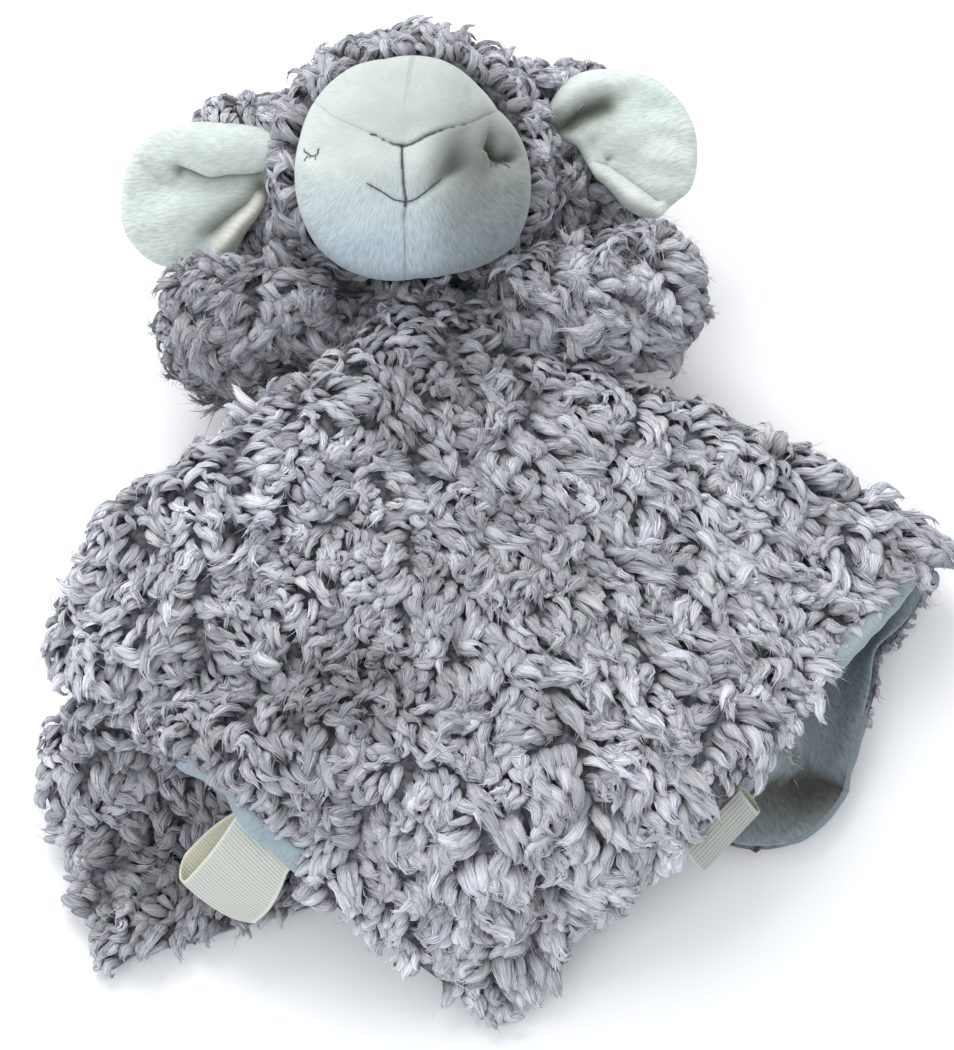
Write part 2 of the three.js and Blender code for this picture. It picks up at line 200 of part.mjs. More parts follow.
  [120, -65.5, 14, 111.5, -60.9, 6.7, 101.5, -55.2, 10.7, 98.8, -50.7, 21.6, 89, -46.2, 26.4, 78.7, -43.9, 20.5, 73.2, -44.4, 9.9, 62, -42.6, 6.7, 50.3, -40.4, 6.5, 38.5, -38.4, 6.5, 26.8, -36.4, 6.5, 15.1, -34.5, 6.5, 3.3, -32.6, 6.5, -8.4, -30.8, 6.5, -20.2, -29.1, 6.5, -32, -27.7, 6.5, -43.8, -26.3, 6.5, -55.8, -25, 6.5, -67.3, -24.2, 6.5, -77.7, -23.8, 12.3, -83.3, -26.3, 23.6, -80.1, -37.4, 28.4, -79.4, -47.4, 20.9, -77.8, -56.7, 14.1, -73.9, -68.1, 14.7, -70.2, -79.2, 15.4, -66.4, -90, 12.1, -62.1, -100.1, 7.5, -58, -111.1, 5.5, -54.6, -122.3, 7.4],
  [116.4, -77.1, 12.5, 107.3, -71.1, 6.9, 98.7, -65.8, 13.8, 95.6, -61.8, 24.7, 85.5, -57, 28.8, 75.4, -54.8, 22.7, 71.2, -56.4, 11.7, 60.4, -54.5, 7.2, 48.7, -52.3, 6.5, 36.9, -50.3, 6.5, 25.2, -48.3, 6.5, 13.4, -46.4, 6.5, 1.6, -44.5, 6.5, -10.1, -42.8, 6.5, -21.8, -41.1, 6.5, -33.5, -39.6, 6.5, -45.3, -38.2, 6.5, -56.8, -36.9, 6.5, -68.3, -35.7, 6.5, -77.8, -35.5, 12.7, -88.8, -35, 17.8, -91, -42.3, 27.6, -87.9, -54.3, 27.1, -88.3, -61.8, 17.9, -85.2, -72.2, 13, -81.8, -83.3, 15.2, -77.9, -92.9, 9.3, -73.7, -103, 4.8, -69.7, -114.1, 3.7, -66.1, -125.2, 6.3],
  [111.5, -88.1, 10.8, 102, -81.5, 7.8, 97, -76.8, 17.9, 91.9, -72.8, 27.6, 81.7, -67.9, 31.7, 72, -65.8, 25, 69, -68.1, 13.8, 58.6, -66.1, 7.6, 47, -64.1, 7.3, 35.1, -62, 6.5, 23.4, -60.1, 6.5, 11.7, -58.2, 6.5, -0.1, -56.4, 6.5, -11.8, -54.6, 6.5, -23.5, -52.9, 6.5, -35.1, -51.5, 6.5, -46.9, -50.1, 6.5, -58.3, -48.8, 6.5, -70, -47.7, 6.5, -81.3, -45.2, 6.5, -91.8, -44.3, 11.6, -98, -48.3, 19.8, -99.7, -57.2, 28, -97.7, -67.9, 22.8, -96.7, -75.7, 13.9, -93.1, -87, 13.8, -89.2, -95.8, 6.9, -85.1, -106.2, 2.9, -81.1, -117.3, 2.6, -77.5, -128.3, 5.5],
  [103, -97.5, 10.4, 94.6, -89.5, 7.7, 87.3, -82.4, 13.9, 85.7, -83.2, 25.9, 77.5, -78.8, 33.4, 66.6, -74.5, 30.1, 61.1, -75.9, 19.8, 56.4, -78.1, 9.2, 44.9, -75.7, 6.5, 33.3, -73.8, 6.5, 21.6, -71.8, 6.5, 9.9, -70, 6.5, -1.9, -68.2, 6.5, -13.7, -66.4, 6.5, -25.4, -64.8, 6.5, -37.2, -63.3, 6.5, -49, -61.9, 6.5, -60.7, -60.6, 6.5, -72.4, -59, 6.5, -84.1, -56.8, 6.5, -95.5, -53.9, 6.5, -105.9, -51.9, 13.1, -110.6, -58.3, 22.4, -110, -70.5, 22.9, -108.2, -79.4, 15.4, -104.9, -90.1, 11.8, -101.1, -98.8, 4.8, -97.1, -109.4, 1.7, -92.8, -120.5, 2, -88.6, -131.6, 3.5],
  [94.2, -105.2, 8, 85.6, -96.9, 6.5, 78.1, -88.6, 10.8, 77.9, -91.4, 22.5, 72.7, -89.7, 33.1, 61.6, -84.8, 33.7, 53.7, -83.7, 24.8, 52.8, -88.7, 13.8, 43.3, -87.5, 6.5, 31.5, -85.6, 6.5, 19.8, -83.6, 6.5, 8.1, -81.8, 6.5, -3.7, -79.9, 6.5, -15.5, -78.1, 6.5, -27.3, -76.5, 6.5, -39.2, -75.1, 6.5, -51.1, -73.7, 6.5, -63, -72.2, 6.5, -74.9, -70.6, 6.5, -86.8, -68.2, 6.5, -98.3, -65.4, 6.5, -109.7, -61, 6.5, -119.4, -60.7, 14.7, -121.7, -71.8, 20, -119.8, -83, 15.7, -116.4, -92.3, 9.1, -112.6, -102.3, 3.8, -108.5, -113.1, 1.7, -104.1, -123.9, 3.8, -99.7, -134.3, 7.1],
  [84.4, -110.9, 11.7, 76.3, -104.2, 6.5, 68.2, -95, 7.9, 66.8, -93.5, 19.3, 66.8, -99.3, 30.2, 56.4, -95.2, 35.9, 46.4, -92.4, 29.7, 45.4, -97.2, 18.3, 41.7, -99.3, 6.9, 29.7, -97.4, 6.5, 18.1, -95.4, 6.5, 6.4, -93.6, 6.5, -5.4, -91.7, 6.5, -17.3, -89.9, 6.5, -29.1, -88.3, 6.5, -41.1, -86.8, 6.5, -52.9, -85.4, 6.5, -65.2, -83.9, 6.5, -77.1, -82.1, 6.5, -89.6, -79.7, 6.5, -101.3, -76.6, 6.5, -113, -71.8, 6.5, -124.5, -66.3, 6.5, -132.2, -72.7, 13.3, -131.8, -84.9, 12.3, -127.9, -95, 6.7, -124.2, -106, 3.9, -120, -117.2, 2.9, -115.4, -128.2, 3.3, -108.8, -138.4, 1.7],
];

const sheet = new THREE.PlaneGeometry(BLANKET_SIDE, BLANKET_SIDE, BLANKET_CELLS, BLANKET_CELLS);
const side = BLANKET_CELLS + 1;
for (let row = 0; row < side; row++) {
  for (let col = 0; col < side; col++) {
    sheet.attributes.position.setXYZ(row * side + col, DRAPE[row][3 * col], DRAPE[row][3 * col + 1], DRAPE[row][3 * col + 2]);
  }
}
shorterDiagonals(sheet, BLANKET_CELLS, BLANKET_CELLS);

const mid = (i) => new THREE.Vector3().fromBufferAttribute(sheet.attributes.position, i);
const nrm = (i) => new THREE.Vector3().fromBufferAttribute(sheet.attributes.normal, i);

// Clear distance from a vertex to the other layers of the folded cloth, on one side
const cellSize = BLANKET_SIDE / BLANKET_CELLS;
const samples = [];
for (let row = 0; row < BLANKET_CELLS; row++) {
  for (let col = 0; col < BLANKET_CELLS; col++) {
    const a = mid(row * side + col), b = mid(row * side + col + 1);
    const c = mid((row + 1) * side + col), d = mid((row + 1) * side + col + 1);
    for (let s = 0; s < 1; s += 0.25) {
      for (let t = 0; t < 1; t += 0.25) {
        const p = a.clone().lerp(b, t).lerp(c.clone().lerp(d, t), s);
        samples.push([p, row + s, col + t]);
      }
    }
  }
}
function room(i, sign) {
  const row = Math.floor(i / side), col = i % side;
  const p = mid(i), n = nrm(i).multiplyScalar(sign);
  let best = 99;
  const d = new THREE.Vector3();
  for (const [q, r, c] of samples) {
    if (Math.abs(q.x - p.x) > 9 || Math.abs(q.y - p.y) > 9 || Math.abs(q.z - p.z) > 9) continue;
    if (Math.hypot(r - row, c - col) * cellSize < 17) continue;
    d.copy(q).sub(p);
    const len = d.length();
    if (len < best && d.dot(n) > 0.35 * len) best = len;
  }
  return best;
}
const vertices = side * side;
const roomUp = Array.from({ length: vertices }, (_, i) => room(i, 1));
const roomDown = Array.from({ length: vertices }, (_, i) => room(i, -1));

function fleeceOutside(i) {
  const thick = Math.max(1.0, Math.min(FLEECE_OUTER, (roomUp[i] - 1.2) / 2));
  const p = mid(i).addScaledVector(nrm(i), thick);
  if (nrm(i).z < -0.6 && mid(i).z < PILE_PRESSED) p.z = 0;
  return p;
}
function backingOutside(i) {
  const thick = Math.max(0.8, Math.min(BACKING_OUTER, (roomDown[i] - 1.0) / 2));
  const p = mid(i).addScaledVector(nrm(i), -thick);
  if (nrm(i).z > 0.6 && mid(i).z < BACKING_RESTS) p.z = 0;
  return p;
}
piece(inDrape, 'blanket_fleece', closedLayer(sheet,
  (i) => mid(i).addScaledVector(nrm(i), FLEECE_INNER), fleeceOutside), cloth(GREY_FLEECE, 1));
piece(inDrape, 'blanket_backing', closedLayer(sheet,
  backingOutside, (i) => mid(i).addScaledVector(nrm(i), -BACKING_INNER)), cloth(COOL_VELOUR, 0.9));

// ---------------------------------------------------------------- head
// Local head frame: X to the toy's right ear, Y to the crown, Z out of the face
const crossAxis = new THREE.Vector3(1, 0, 0).addScaledVector(FACE_AXIS, -FACE_AXIS.x).normalize();
const crownAxis = FACE_AXIS.clone().cross(crossAxis);
const headFrame = new THREE.Matrix4().makeBasis(crossAxis, crownAxis, FACE_AXIS).setPosition(HEAD);
const head = new THREE.Group();
head.applyMatrix4(headFrame);
inDrape.add(head);
const fromHead = (x, y, z) => new THREE.Vector3(x, y, z).applyMatrix4(headFrame);
const toHead = headFrame.clone().invert();

// a body turned about the face axis; the profile is [radius, height]
function turned(profile, segments = 24) {
  const g = new THREE.LatheGeometry(profile.map(([r, h]) => new THREE.Vector2(r, h)), segments);
  g.rotateX(Math.PI / 2);
  g.scale(1, HEAD_FLATTEN, 1);
  return g;
}
function ballArc(radius, h0, h1, steps) {
  const out = [];
  const a0 = Math.asin(h0 / radius), a1 = Math.asin(h1 / radius);
  for (let k = 0; k <= steps; k++) {
    const a = a0 + (a1 - a0) * k / steps;
    const r = radius * Math.cos(a);
    out.push([r < 1e-6 ? 0 : r, radius * Math.sin(a)]);
  }
  return out;
}
function domeArc(radius, height, base, steps) {
  const out = [];
  for (let k = 0; k <= steps; k++) {
    const a = (k / steps) * Math.PI / 2;
    const r = k === steps ? 0 : radius * Math.pow(Math.cos(a), 2 / FACE_POWER);
    out.push([r, base + height * Math.pow(Math.sin(a), 2 / FACE_POWER)]);
  }
  return out;
}
const rimOuter = Math.sqrt(HEAD_R ** 2 - RIM_H ** 2);
const innerR = HEAD_R - HEAD_COVER_T;
const coverGeometry = turned([
  ...ballArc(HEAD_R, -HEAD_R, RIM_H, 11),
  ...ballArc(innerR, RIM_H, -innerR, 10),
]);
{
  // the pile at the back of the head is pressed flat where the head lies on the ground
  const p = coverGeometry.attributes.position;
  for (let i = 0; i < p.count; i++) {
    const w = new THREE.Vector3().fromBufferAttribute(p, i);
    const rel = w.length();
    const world = w.clone().applyMatrix4(headFrame);
    const down = world.clone().sub(HEAD).normalize().z;
    if (rel > HEAD_R * 0.94 - 0.5 && down < -0.93 && w.clone().divide(new THREE.Vector3(1, HEAD_FLATTEN, 1)).length() > HEAD_R - 0.5) {
      world.z = 0;
      world.applyMatrix4(toHead);
      p.setXYZ(i, world.x, world.y, world.z);
    }
  }
}
piece(head, 'head_back_cover', coverGeometry, cloth(GREY_FLEECE, 1));

const domeBase = RIM_H + SEAM_GAP;
const faceShell = toSolid(turned([
  ...domeArc(FACE_R, FACE_DOME_H, domeBase, 9),
  ...domeArc(FACE_R - FACE_T, FACE_DOME_H - FACE_T, domeBase, 8).reverse(),
]
  .concat([[FACE_R, domeBase]]), 28));

// The face is three panels: the forehead panel ends in a V over the nose, and
// two cheek panels meet in a seam below it.
const TOP_SEAM = [[-60, 26], [-37.8, 20.7], [-30.1, 18.7], [-13.5, 13.5], [-3.4, 7.8], [10, 14.4], [26.3, 20.8], [60, 31]];
const CHIN_SEAM = [[-3.4, 7.8], [-2.2, -0.6], [-1.9, -10.9], [-2.2, -22.6], [-2.8, -60]];
const half = SEAM_GAP / 2;
function prism(points) {
  const s = new THREE.Shape(points.map(([x, y]) => new THREE.Vector2(x, y)));
  const g = new THREE.ExtrudeGeometry(s, { depth: 60, bevelEnabled: false });
  g.translate(0, 0, 10);
  return toSolid(g);
}
const up = TOP_SEAM.map(([x, y]) => [x, y + half]);
const down = TOP_SEAM.map(([x, y]) => [x, y - half]);
const tipAt = 4;
piece(head, 'face_top_panel', toGeometry(faceShell.intersect(prism([...up, [60, 60], [-60, 60]]))), cloth(PALE_VELOUR, 0.85));
piece(head, 'face_left_panel', toGeometry(faceShell.intersect(prism([
  ...down.slice(0, tipAt), [down[tipAt][0] - half, down[tipAt][1]],
  ...CHIN_SEAM.slice(1).map(([x, y]) => [x - half, y]), [-60, -60],
]))), cloth(PALE_VELOUR, 0.85));
piece(head, 'face_right_panel', toGeometry(faceShell.intersect(prism([
  [down[tipAt][0] + half, down[tipAt][1]], ...down.slice(tipAt + 1), [60, -60],
  ...CHIN_SEAM.slice(1).reverse().map(([x, y]) => [x + half, y]),
]))), cloth(PALE_VELOUR, 0.85));

const stuffR = innerR - 0.4;
const stuffRim = Math.sqrt(stuffR ** 2 - (RIM_H - 0.5) ** 2);
piece(head, 'head_stuffing', turned([
  ...ballArc(stuffR, -stuffR, RIM_H - 0.5, 9),
  [stuffRim, domeBase + 0.2],
  ...domeArc(FACE_R - FACE_T - 0.5, FACE_DOME_H - FACE_T - 0.6, domeBase + 0.2, 7),
]), cloth(FIBRE, 1));

// ---------------------------------------------------------------- embroidery
// points are given across the face, and lifted onto the dome
function domeHeight(x, y) {
  const rho = Math.min(0.9999, Math.hypot(x, y / HEAD_FLATTEN) / FACE_R);
  return domeBase + FACE_DOME_H * Math.pow(1 - Math.pow(rho, FACE_POWER), 1 / FACE_POWER);
}
function onFace([x, y], lift) {
  const e = 0.05;
  const n = new THREE.Vector3(
    -(domeHeight(x + e, y) - domeHeight(x - e, y)) / (2 * e),
    -(domeHeight(x, y + e) - domeHeight(x, y - e)) / (2 * e), 1).normalize();
  return new THREE.Vector3(x, y, domeHeight(x, y)).addScaledVector(n, lift);
}
const THREAD_R = 0.6;
const THREAD_LIFT = THREAD_R + 0.45;
const stitch = (pts, steps) => threadAlong(pts.map((p) => onFace(p, THREAD_LIFT)), THREAD_R, steps);
piece(head, 'nose_mouth_stitch', joinAll([
  stitch([[-13.5, 13.5], [-8.4, 10.9], [-3.4, 7.8]], 4),
  stitch([[-3.4, 7.8], [-0.3, 9.0], [4.7, 11.9], [10, 14.4]], 5),
  stitch([[-3.4, 8.3], [-2.2, -0.6], [-1.9, -11.2]], 6),
  stitch([[-15, -2.2], [-11.5, -5.9], [-7.2, -9], [-1.9, -10.9]], 6),
  stitch([[-1.9, -10.9], [3.7, -8.7], [10, -4.4], [14.7, 0.9]], 6),
]), cloth(THREAD, 0.7));
piece(head, 'eye_left_stitch', joinAll([
  stitch([[-34.4, 6.4], [-33.2, 3.8], [-31.1, 2.2], [-28.8, 1.9]], 6),
  stitch([[-34.2, 6.0], [-35.2, 4.0]], 2),
  stitch([[-33.2, 3.8], [-34.0, 1.6]], 2),
  stitch([[-31.3, 2.3], [-31.8, -0.2]], 2),
]), cloth(THREAD, 0.7));
piece(head, 'eye_right_stitch', joinAll([
  stitch([[24.2, 0.6], [27.5, 0.9], [30.5, 2.5], [32.6, 5.7]], 6),
  stitch([[32.3, 5.2], [34.3, 3.4]], 2),
  stitch([[30.5, 2.5], [32.4, 0.4]], 2),
  stitch([[27.8, 1.0], [29.2, -1.4]], 2),
]), cloth(THREAD, 0.7));

// ---------------------------------------------------------------- ears
// Each ear is a rounded leaf: fleece on the back, velour lining in front.
for (const [name, ear] of Object.entries(EARS)) {
  const cells = 8;
  const leaf = new THREE.PlaneGeometry(2, 1, cells, cells);
  const p = leaf.attributes.position;
  for (let row = 0; row <= cells; row++) {
    for (let col = 0; col <= cells; col++) {
      const across = -1 + 2 * col / cells;
      const along = row / cells;
      const s = along * (33 + (EAR_LENGTH - 33) * Math.sqrt(Math.max(0, 1 - across * across)));
      const width = along < 0.6 ? 14.5 + 8.5 * Math.sin(along / 0.6 * Math.PI / 2) : 23 - 2 * (along - 0.6) / 0.4;
      const v = across * width;
      const cup = 0.014 * v * v * (0.4 + 0.6 * along);
      p.setXYZ(row * (cells + 1) + col, ear.side * (ear.u0 + s - 0.03 * v * v * (1 - along) * 0), ear.v0 + ear.dv * s + v, ear.h0 + ear.dh * s + cup);
    }
  }
  if (ear.side > 0) {
    // keep the front of the leaf facing out of the face
    const flipped = Array.from(leaf.index.array);
    for (let t = 0; t < flipped.length; t += 3) [flipped[t + 1], flipped[t + 2]] = [flipped[t + 2], flipped[t + 1]];
    leaf.setIndex(flipped);
  }
  leaf.computeVertexNormals();
  if (leaf.attributes.normal.getZ(40) < 0) {
    const flipped = Array.from(leaf.index.array);
    for (let t = 0; t < flipped.length; t += 3) [flipped[t + 1], flipped[t + 2]] = [flipped[t + 2], flipped[t + 1]];
    leaf.setIndex(flipped);
    leaf.computeVertexNormals();
  }
  const at = (i) => new THREE.Vector3().fromBufferAttribute(leaf.attributes.position, i);
  const n = (i) => new THREE.Vector3().fromBufferAttribute(leaf.attributes.normal, i);
  piece(head, `ear_${name}_lining`, closedLayer(leaf,
    (i) => at(i).addScaledVector(n(i), 0.15), (i) => at(i).addScaledVector(n(i), 1.55)), cloth(PALE_VELOUR, 0.85));
  piece(head, `ear_${name}_back`, closedLayer(leaf,
    (i) => at(i).addScaledVector(n(i), -2.75), (i) => at(i).addScaledVector(n(i), -0.15)), cloth(GREY_FLEECE, 1));
}

// ---------------------------------------------------------------- arms
// Each arm is a stuffed fleece tube that widens into a round paw
for (const [name, arm] of Object.entries(ARMS)) {
  const axis = arm.end.clone().sub(arm.root);
  const length = axis.length();
  axis.normalize();
  const hang = new THREE.Group();
  hang.position.copy(arm.root);
  hang.quaternion.setFromUnitVectors(new THREE.Vector3(0, 0, 1), axis);
  inDrape.add(hang);
  const outline = (shrink, steps, base) => {
    const pts = [];
    const slope = Math.asin((arm.r1 - arm.r0) / length);
    for (let k = 0; k <= 2; k++) {
      const z = base + (length - arm.r1 * Math.sin(slope) - base) * k / 2;
      pts.push([arm.r0 + (arm.r1 - arm.r0) * z / length - shrink, z]);
    }
    for (let k = 1; k <= steps; k++) {
      const a = -slope + (Math.PI / 2 + slope) * k / steps;
      const r = k === steps ? 0 : (arm.r1 - shrink) * Math.cos(a);
      pts.push([r, length + (arm.r1 - shrink) * Math.sin(a)]);
    }
    return pts;
  };
  const tube = (profile) => {
    const g = new THREE.LatheGeometry(profile.map(([r, h]) => new THREE.Vector2(r, h)), 16);
    g.rotateX(Math.PI / 2);
    return g;
  };
  piece(hang, `arm_${name}_cover`, tube([...outline(ARM_T, 5, 0).reverse(), ...outline(0, 6, 0)]), cloth(GREY_FLEECE, 1));
  piece(hang, `arm_${name}_stuffing`, tube([[0, 0.5], ...outline(ARM_T + 0.5, 5, 0.5)]), cloth(FIBRE, 1));
}

// ---------------------------------------------------------------- neck
// The gathered neck, sewn between the middle of the blanket and the head
{
  const ring = new THREE.Shape();
  const n = 24;
  for (let k = 0; k < n; k++) {
    const a = (k / n) * Math.PI * 2;
    const x = NECK_RX * Math.cos(a), y = NECK_RZ * Math.sin(a);
    if (k === 0) ring.moveTo(x, y); else ring.lineTo(x, y);
  }
  ring.closePath();
  const block = new THREE.ExtrudeGeometry(ring, { depth: 14, bevelEnabled: false });
  block.rotateX(-Math.PI / 2);
  block.translate(NECK_CENTRE.x, NECK_CENTRE.y, NECK_CENTRE.z);
  const ball = new THREE.SphereGeometry(HEAD_R + 0.6, 36, 24);
  ball.rotateX(Math.PI / 2);
  ball.scale(1, HEAD_FLATTEN, 1);
  ball.applyMatrix4(headFrame);
  piece(inDrape, 'neck_gather', toGeometry(toSolid(block).subtract(toSolid(ball))), cloth(GREY_FLEECE, 1));
}

// ---------------------------------------------------------------- ribbon loops
// A folded length of ribbon, its two ends together at the hem
for (const [name, loop] of Object.entries(RIBBONS)) {
  const out = loop.tip.clone().sub(loop.root);
  const length = out.length();
  out.normalize();
  const across = loop.hem.clone().normalize();
  across.addScaledVector(out, -across.dot(out)).normalize();
  const rise = across.clone().cross(out).normalize();
  const spread = loop.spread;               // half the height of the open loop
  const path = [];
  const leg = 12;
  for (let k = 0; k <= leg; k++) {
    const t = k / leg;
    path.push([t * (length - spread), 0.75 + (spread - 0.75) * Math.sin(Math.min(1, t * 1.35) * Math.PI / 2)]);
  }
  for (let k = 1; k < 8; k++) {
    const a = Math.PI / 2 - Math.PI * k / 8;
    path.push([length - spread + spread * Math.cos(a), spread * Math.sin(a)]);
  }
  for (let k = leg; k >= 0; k--) {
    const t = k / leg;
    path.push([t * (length - spread), -(0.75 + (spread - 0.75) * Math.sin(Math.min(1, t * 1.35) * Math.PI / 2))]);
  }
  const outer = [], inner = [];
  for (let k = 0; k < path.length; k++) {
    const [x0, y0] = path[Math.max(0, k - 1)], [x1, y1] = path[Math.min(path.length - 1, k + 1)];
    const l = Math.hypot(x1 - x0, y1 - y0);
    const nx = -(y1 - y0) / l, ny = (x1 - x0) / l;
    outer.push(new THREE.Vector2(path[k][0] + nx * RIBBON_T / 2, path[k][1] + ny * RIBBON_T / 2));
    inner.push(new THREE.Vector2(path[k][0] - nx * RIBBON_T / 2, path[k][1] - ny * RIBBON_T / 2));
  }
  const strip = new THREE.ExtrudeGeometry(new THREE.Shape([...outer, ...inner.reverse()]), { depth: loop.width, bevelEnabled: false });
  strip.translate(0, 0, -loop.width / 2);
  const frame = new THREE.Matrix4().makeBasis(out, rise, out.clone().cross(rise)).setPosition(loop.root);
  strip.applyMatrix4(frame);
  piece(inDrape, `ribbon_loop_${name}`, strip, cloth(RIBBON, 0.6));
}

export default toy;
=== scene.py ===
# Sheep comfort blanket, looks: curly fleece, velour, ribbon, embroidery.
# Everything is laid out in millimetres in drape coordinates (the frame of the
# folded blanket), and turned into the row frame, in metres, as each mesh is made.
import bpy
import math
import numpy as np
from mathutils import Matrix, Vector
from mathutils.bvhtree import BVHTree


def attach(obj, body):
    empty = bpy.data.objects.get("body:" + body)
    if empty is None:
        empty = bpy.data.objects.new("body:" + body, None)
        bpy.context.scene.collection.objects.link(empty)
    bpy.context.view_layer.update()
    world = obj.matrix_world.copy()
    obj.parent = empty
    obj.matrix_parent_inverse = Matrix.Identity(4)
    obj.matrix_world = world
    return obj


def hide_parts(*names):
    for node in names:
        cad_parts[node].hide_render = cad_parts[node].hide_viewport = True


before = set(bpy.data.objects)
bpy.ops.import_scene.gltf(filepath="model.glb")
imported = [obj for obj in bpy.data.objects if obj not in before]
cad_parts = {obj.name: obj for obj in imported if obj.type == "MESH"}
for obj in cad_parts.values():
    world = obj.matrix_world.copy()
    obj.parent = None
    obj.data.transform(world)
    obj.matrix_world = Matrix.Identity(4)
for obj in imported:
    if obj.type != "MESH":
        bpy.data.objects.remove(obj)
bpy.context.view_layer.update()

ORIGIN = np.array([7.33, 3.778, 0.0])
MM = 0.001


def row(p):
    return (np.asarray(p, float) - ORIGIN) * MM


# ------------------------------------------------------------------ camera, floor, light
cam_data = bpy.data.cameras.new("camera")
cam_data.lens = 36.0 * 1860.0 / 1050.0
cam_data.sensor_width = 36.0
cam_data.clip_start = 0.02
cam_data.clip_end = 20.0
camera = bpy.data.objects.new("camera", cam_data)
bpy.context.scene.collection.objects.link(camera)
camera.location = row((0.0, -253.57, 563.78))
camera.rotation_euler = (math.radians(25.0), 0.0, 0.0)
bpy.context.scene.camera = camera
bpy.context.scene.view_settings.view_transform = "Standard"
bpy.context.scene.view_settings.look = "None"


def node_material(name, base=(0.8, 0.8, 0.8), rough=0.9):
    m = bpy.data.materials.new(name)
    m.use_nodes = True
    b = m.node_tree.nodes["Principled BSDF"]
    b.inputs["Base Color"].default_value = (*base, 1.0)
    b.inputs["Roughness"].default_value = rough
    b.inputs["Specular IOR Level"].default_value = 0.2
    return m, m.node_tree.nodes, m.node_tree.links, b


def lin(r, g, b):
    """sRGB 0-255 to linear"""
    c = np.array([r, g, b], float) / 255.0
    return tuple(np.where(c <= 0.04045, c / 12.92, ((c + 0.055) / 1.055) ** 2.4))


floor_mat, _n, _l, _b = node_material("floor_paper", lin(252, 252, 252), 0.9)
floor_mesh = bpy.data.meshes.new("floor")
floor_mesh.from_pydata([(-3, -3, 0), (3, -3, 0), (3, 3, 0), (-3, 3, 0)], [], [(0, 1, 2, 3)])
floor = bpy.data.objects.new("floor", floor_mesh)
floor_mesh.materials.append(floor_mat)
bpy.context.scene.collection.objects.link(floor)

world = bpy.data.worlds.new("studio")
bpy.context.scene.world = world
world.use_nodes = True
world.node_tree.nodes["Background"].inputs[0].default_value = (0.93, 0.96, 1.0, 1.0)
world.node_tree.nodes["Background"].inputs[1].default_value = 0.82


def area_light(name, loc, target, size, power, color=(1, 1, 1)):
    d = bpy.data.lights.new(name, "AREA")
    d.shape = "SQUARE"
    d.size = size
    d.energy = power
    d.color = color
    o = bpy.data.objects.new(name, d)
    o.location = loc
    o.rotation_euler = (Vector(target) - Vector(loc)).to_track_quat("-Z", "Y").to_euler()
    bpy.context.scene.collection.objects.link(o)
    return o


area_light("window", (-0.35, 0.95, 1.25), (0, 0, 0.03), 0.9, 13.5, (1.0, 0.985, 0.96))
area_light("bounce", (-0.7, -0.8, 0.9), (0, 0, 0.03), 1.0, 5.0, (0.94, 0.97, 1.0))


# ------------------------------------------------------------------ mesh helpers
def make_object(name, co, faces, material, body=None, uvs=None, tint=None, smooth=True):
    """co in drape millimetres; faces an (n, 3 or 4) array; uvs a dict of name -> per-vertex (n, 2)"""
    faces = np.asarray(faces, np.int32)
    me = bpy.data.meshes.new(name)
    me.vertices.add(len(co))
    me.vertices.foreach_set("co", row(co).astype(np.float32).ravel())
    me.loops.add(faces.size)
    me.loops.foreach_set("vertex_index", faces.ravel())
    me.polygons.add(len(faces))
    me.polygons.foreach_set("loop_start", np.arange(0, faces.size, faces.shape[1], dtype=np.int32))
    me.update(calc_edges=True)
    if smooth:
        me.polygons.foreach_set("use_smooth", np.ones(len(faces), bool))
    if uvs:
        for uv_name, uv in uvs.items():
            layer = me.uv_layers.new(name=uv_name)
            layer.data.foreach_set("uv", np.asarray(uv, np.float32)[faces.ravel()].ravel())
    if tint is not None:
        att = me.color_attributes.new(name="tint", type="FLOAT_COLOR", domain="POINT")
        rgba = np.ones((len(co), 4), np.float32)
        rgba[:, :tint.shape[1]] = tint
        att.data.foreach_set("color", rgba.ravel())
    me.materials.append(material)
    o = bpy.data.objects.new(name, me)
    bpy.context.scene.collection.objects.link(o)
    if body:
        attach(o, body)
    return o


def unit(v):
    return v / np.maximum(np.linalg.norm(v, axis=-1, keepdims=True), 1e-9)


def smooth01(x, a, b):
    t = np.clip((np.asarray(x, float) - a) / (b - a), 0, 1)
    return t * t * (3 - 2 * t)


def grid_faces(nu, nv, offset=0):
    i, j = np.meshgrid(np.arange(nu - 1), np.arange(nv - 1), indexing="ij")
    a = (i * nv + j).ravel() + offset
    return np.stack([a, a + nv, a + nv + 1, a + 1], 1)


def refine(grid, m):
    """Catmull-Rom refinement of a control grid, m steps to a cell"""
    def along(g):
        n = g.shape[0]
        e = np.concatenate([[2 * g[0] - g[1]], g, [2 * g[-1] - g[-2]]])
        t = (np.arange(m) / m)[:, None, None, None]
        p0, p1, p2, p3 = e[:-3][None], e[1:-2][None], e[2:-1][None], e[3:][None]
        out = 0.5 * (2 * p1 + (p2 - p0) * t + (2 * p0 - 5 * p1 + 4 * p2 - p3) * t ** 2
                     + (3 * p1 - p0 - 3 * p2 + p3) * t ** 3)
        out = out.transpose(1, 0, 2, 3).reshape((n - 1) * m, *g.shape[1:])
        return np.concatenate([out, g[-1:]])
    g = along(np.asarray(grid, float))
    return along(g.transpose(1, 0, 2)).transpose(1, 0, 2)


def grid_normals(g):
    return unit(np.cross(np.gradient(g, axis=0), np.gradient(g, axis=1)))


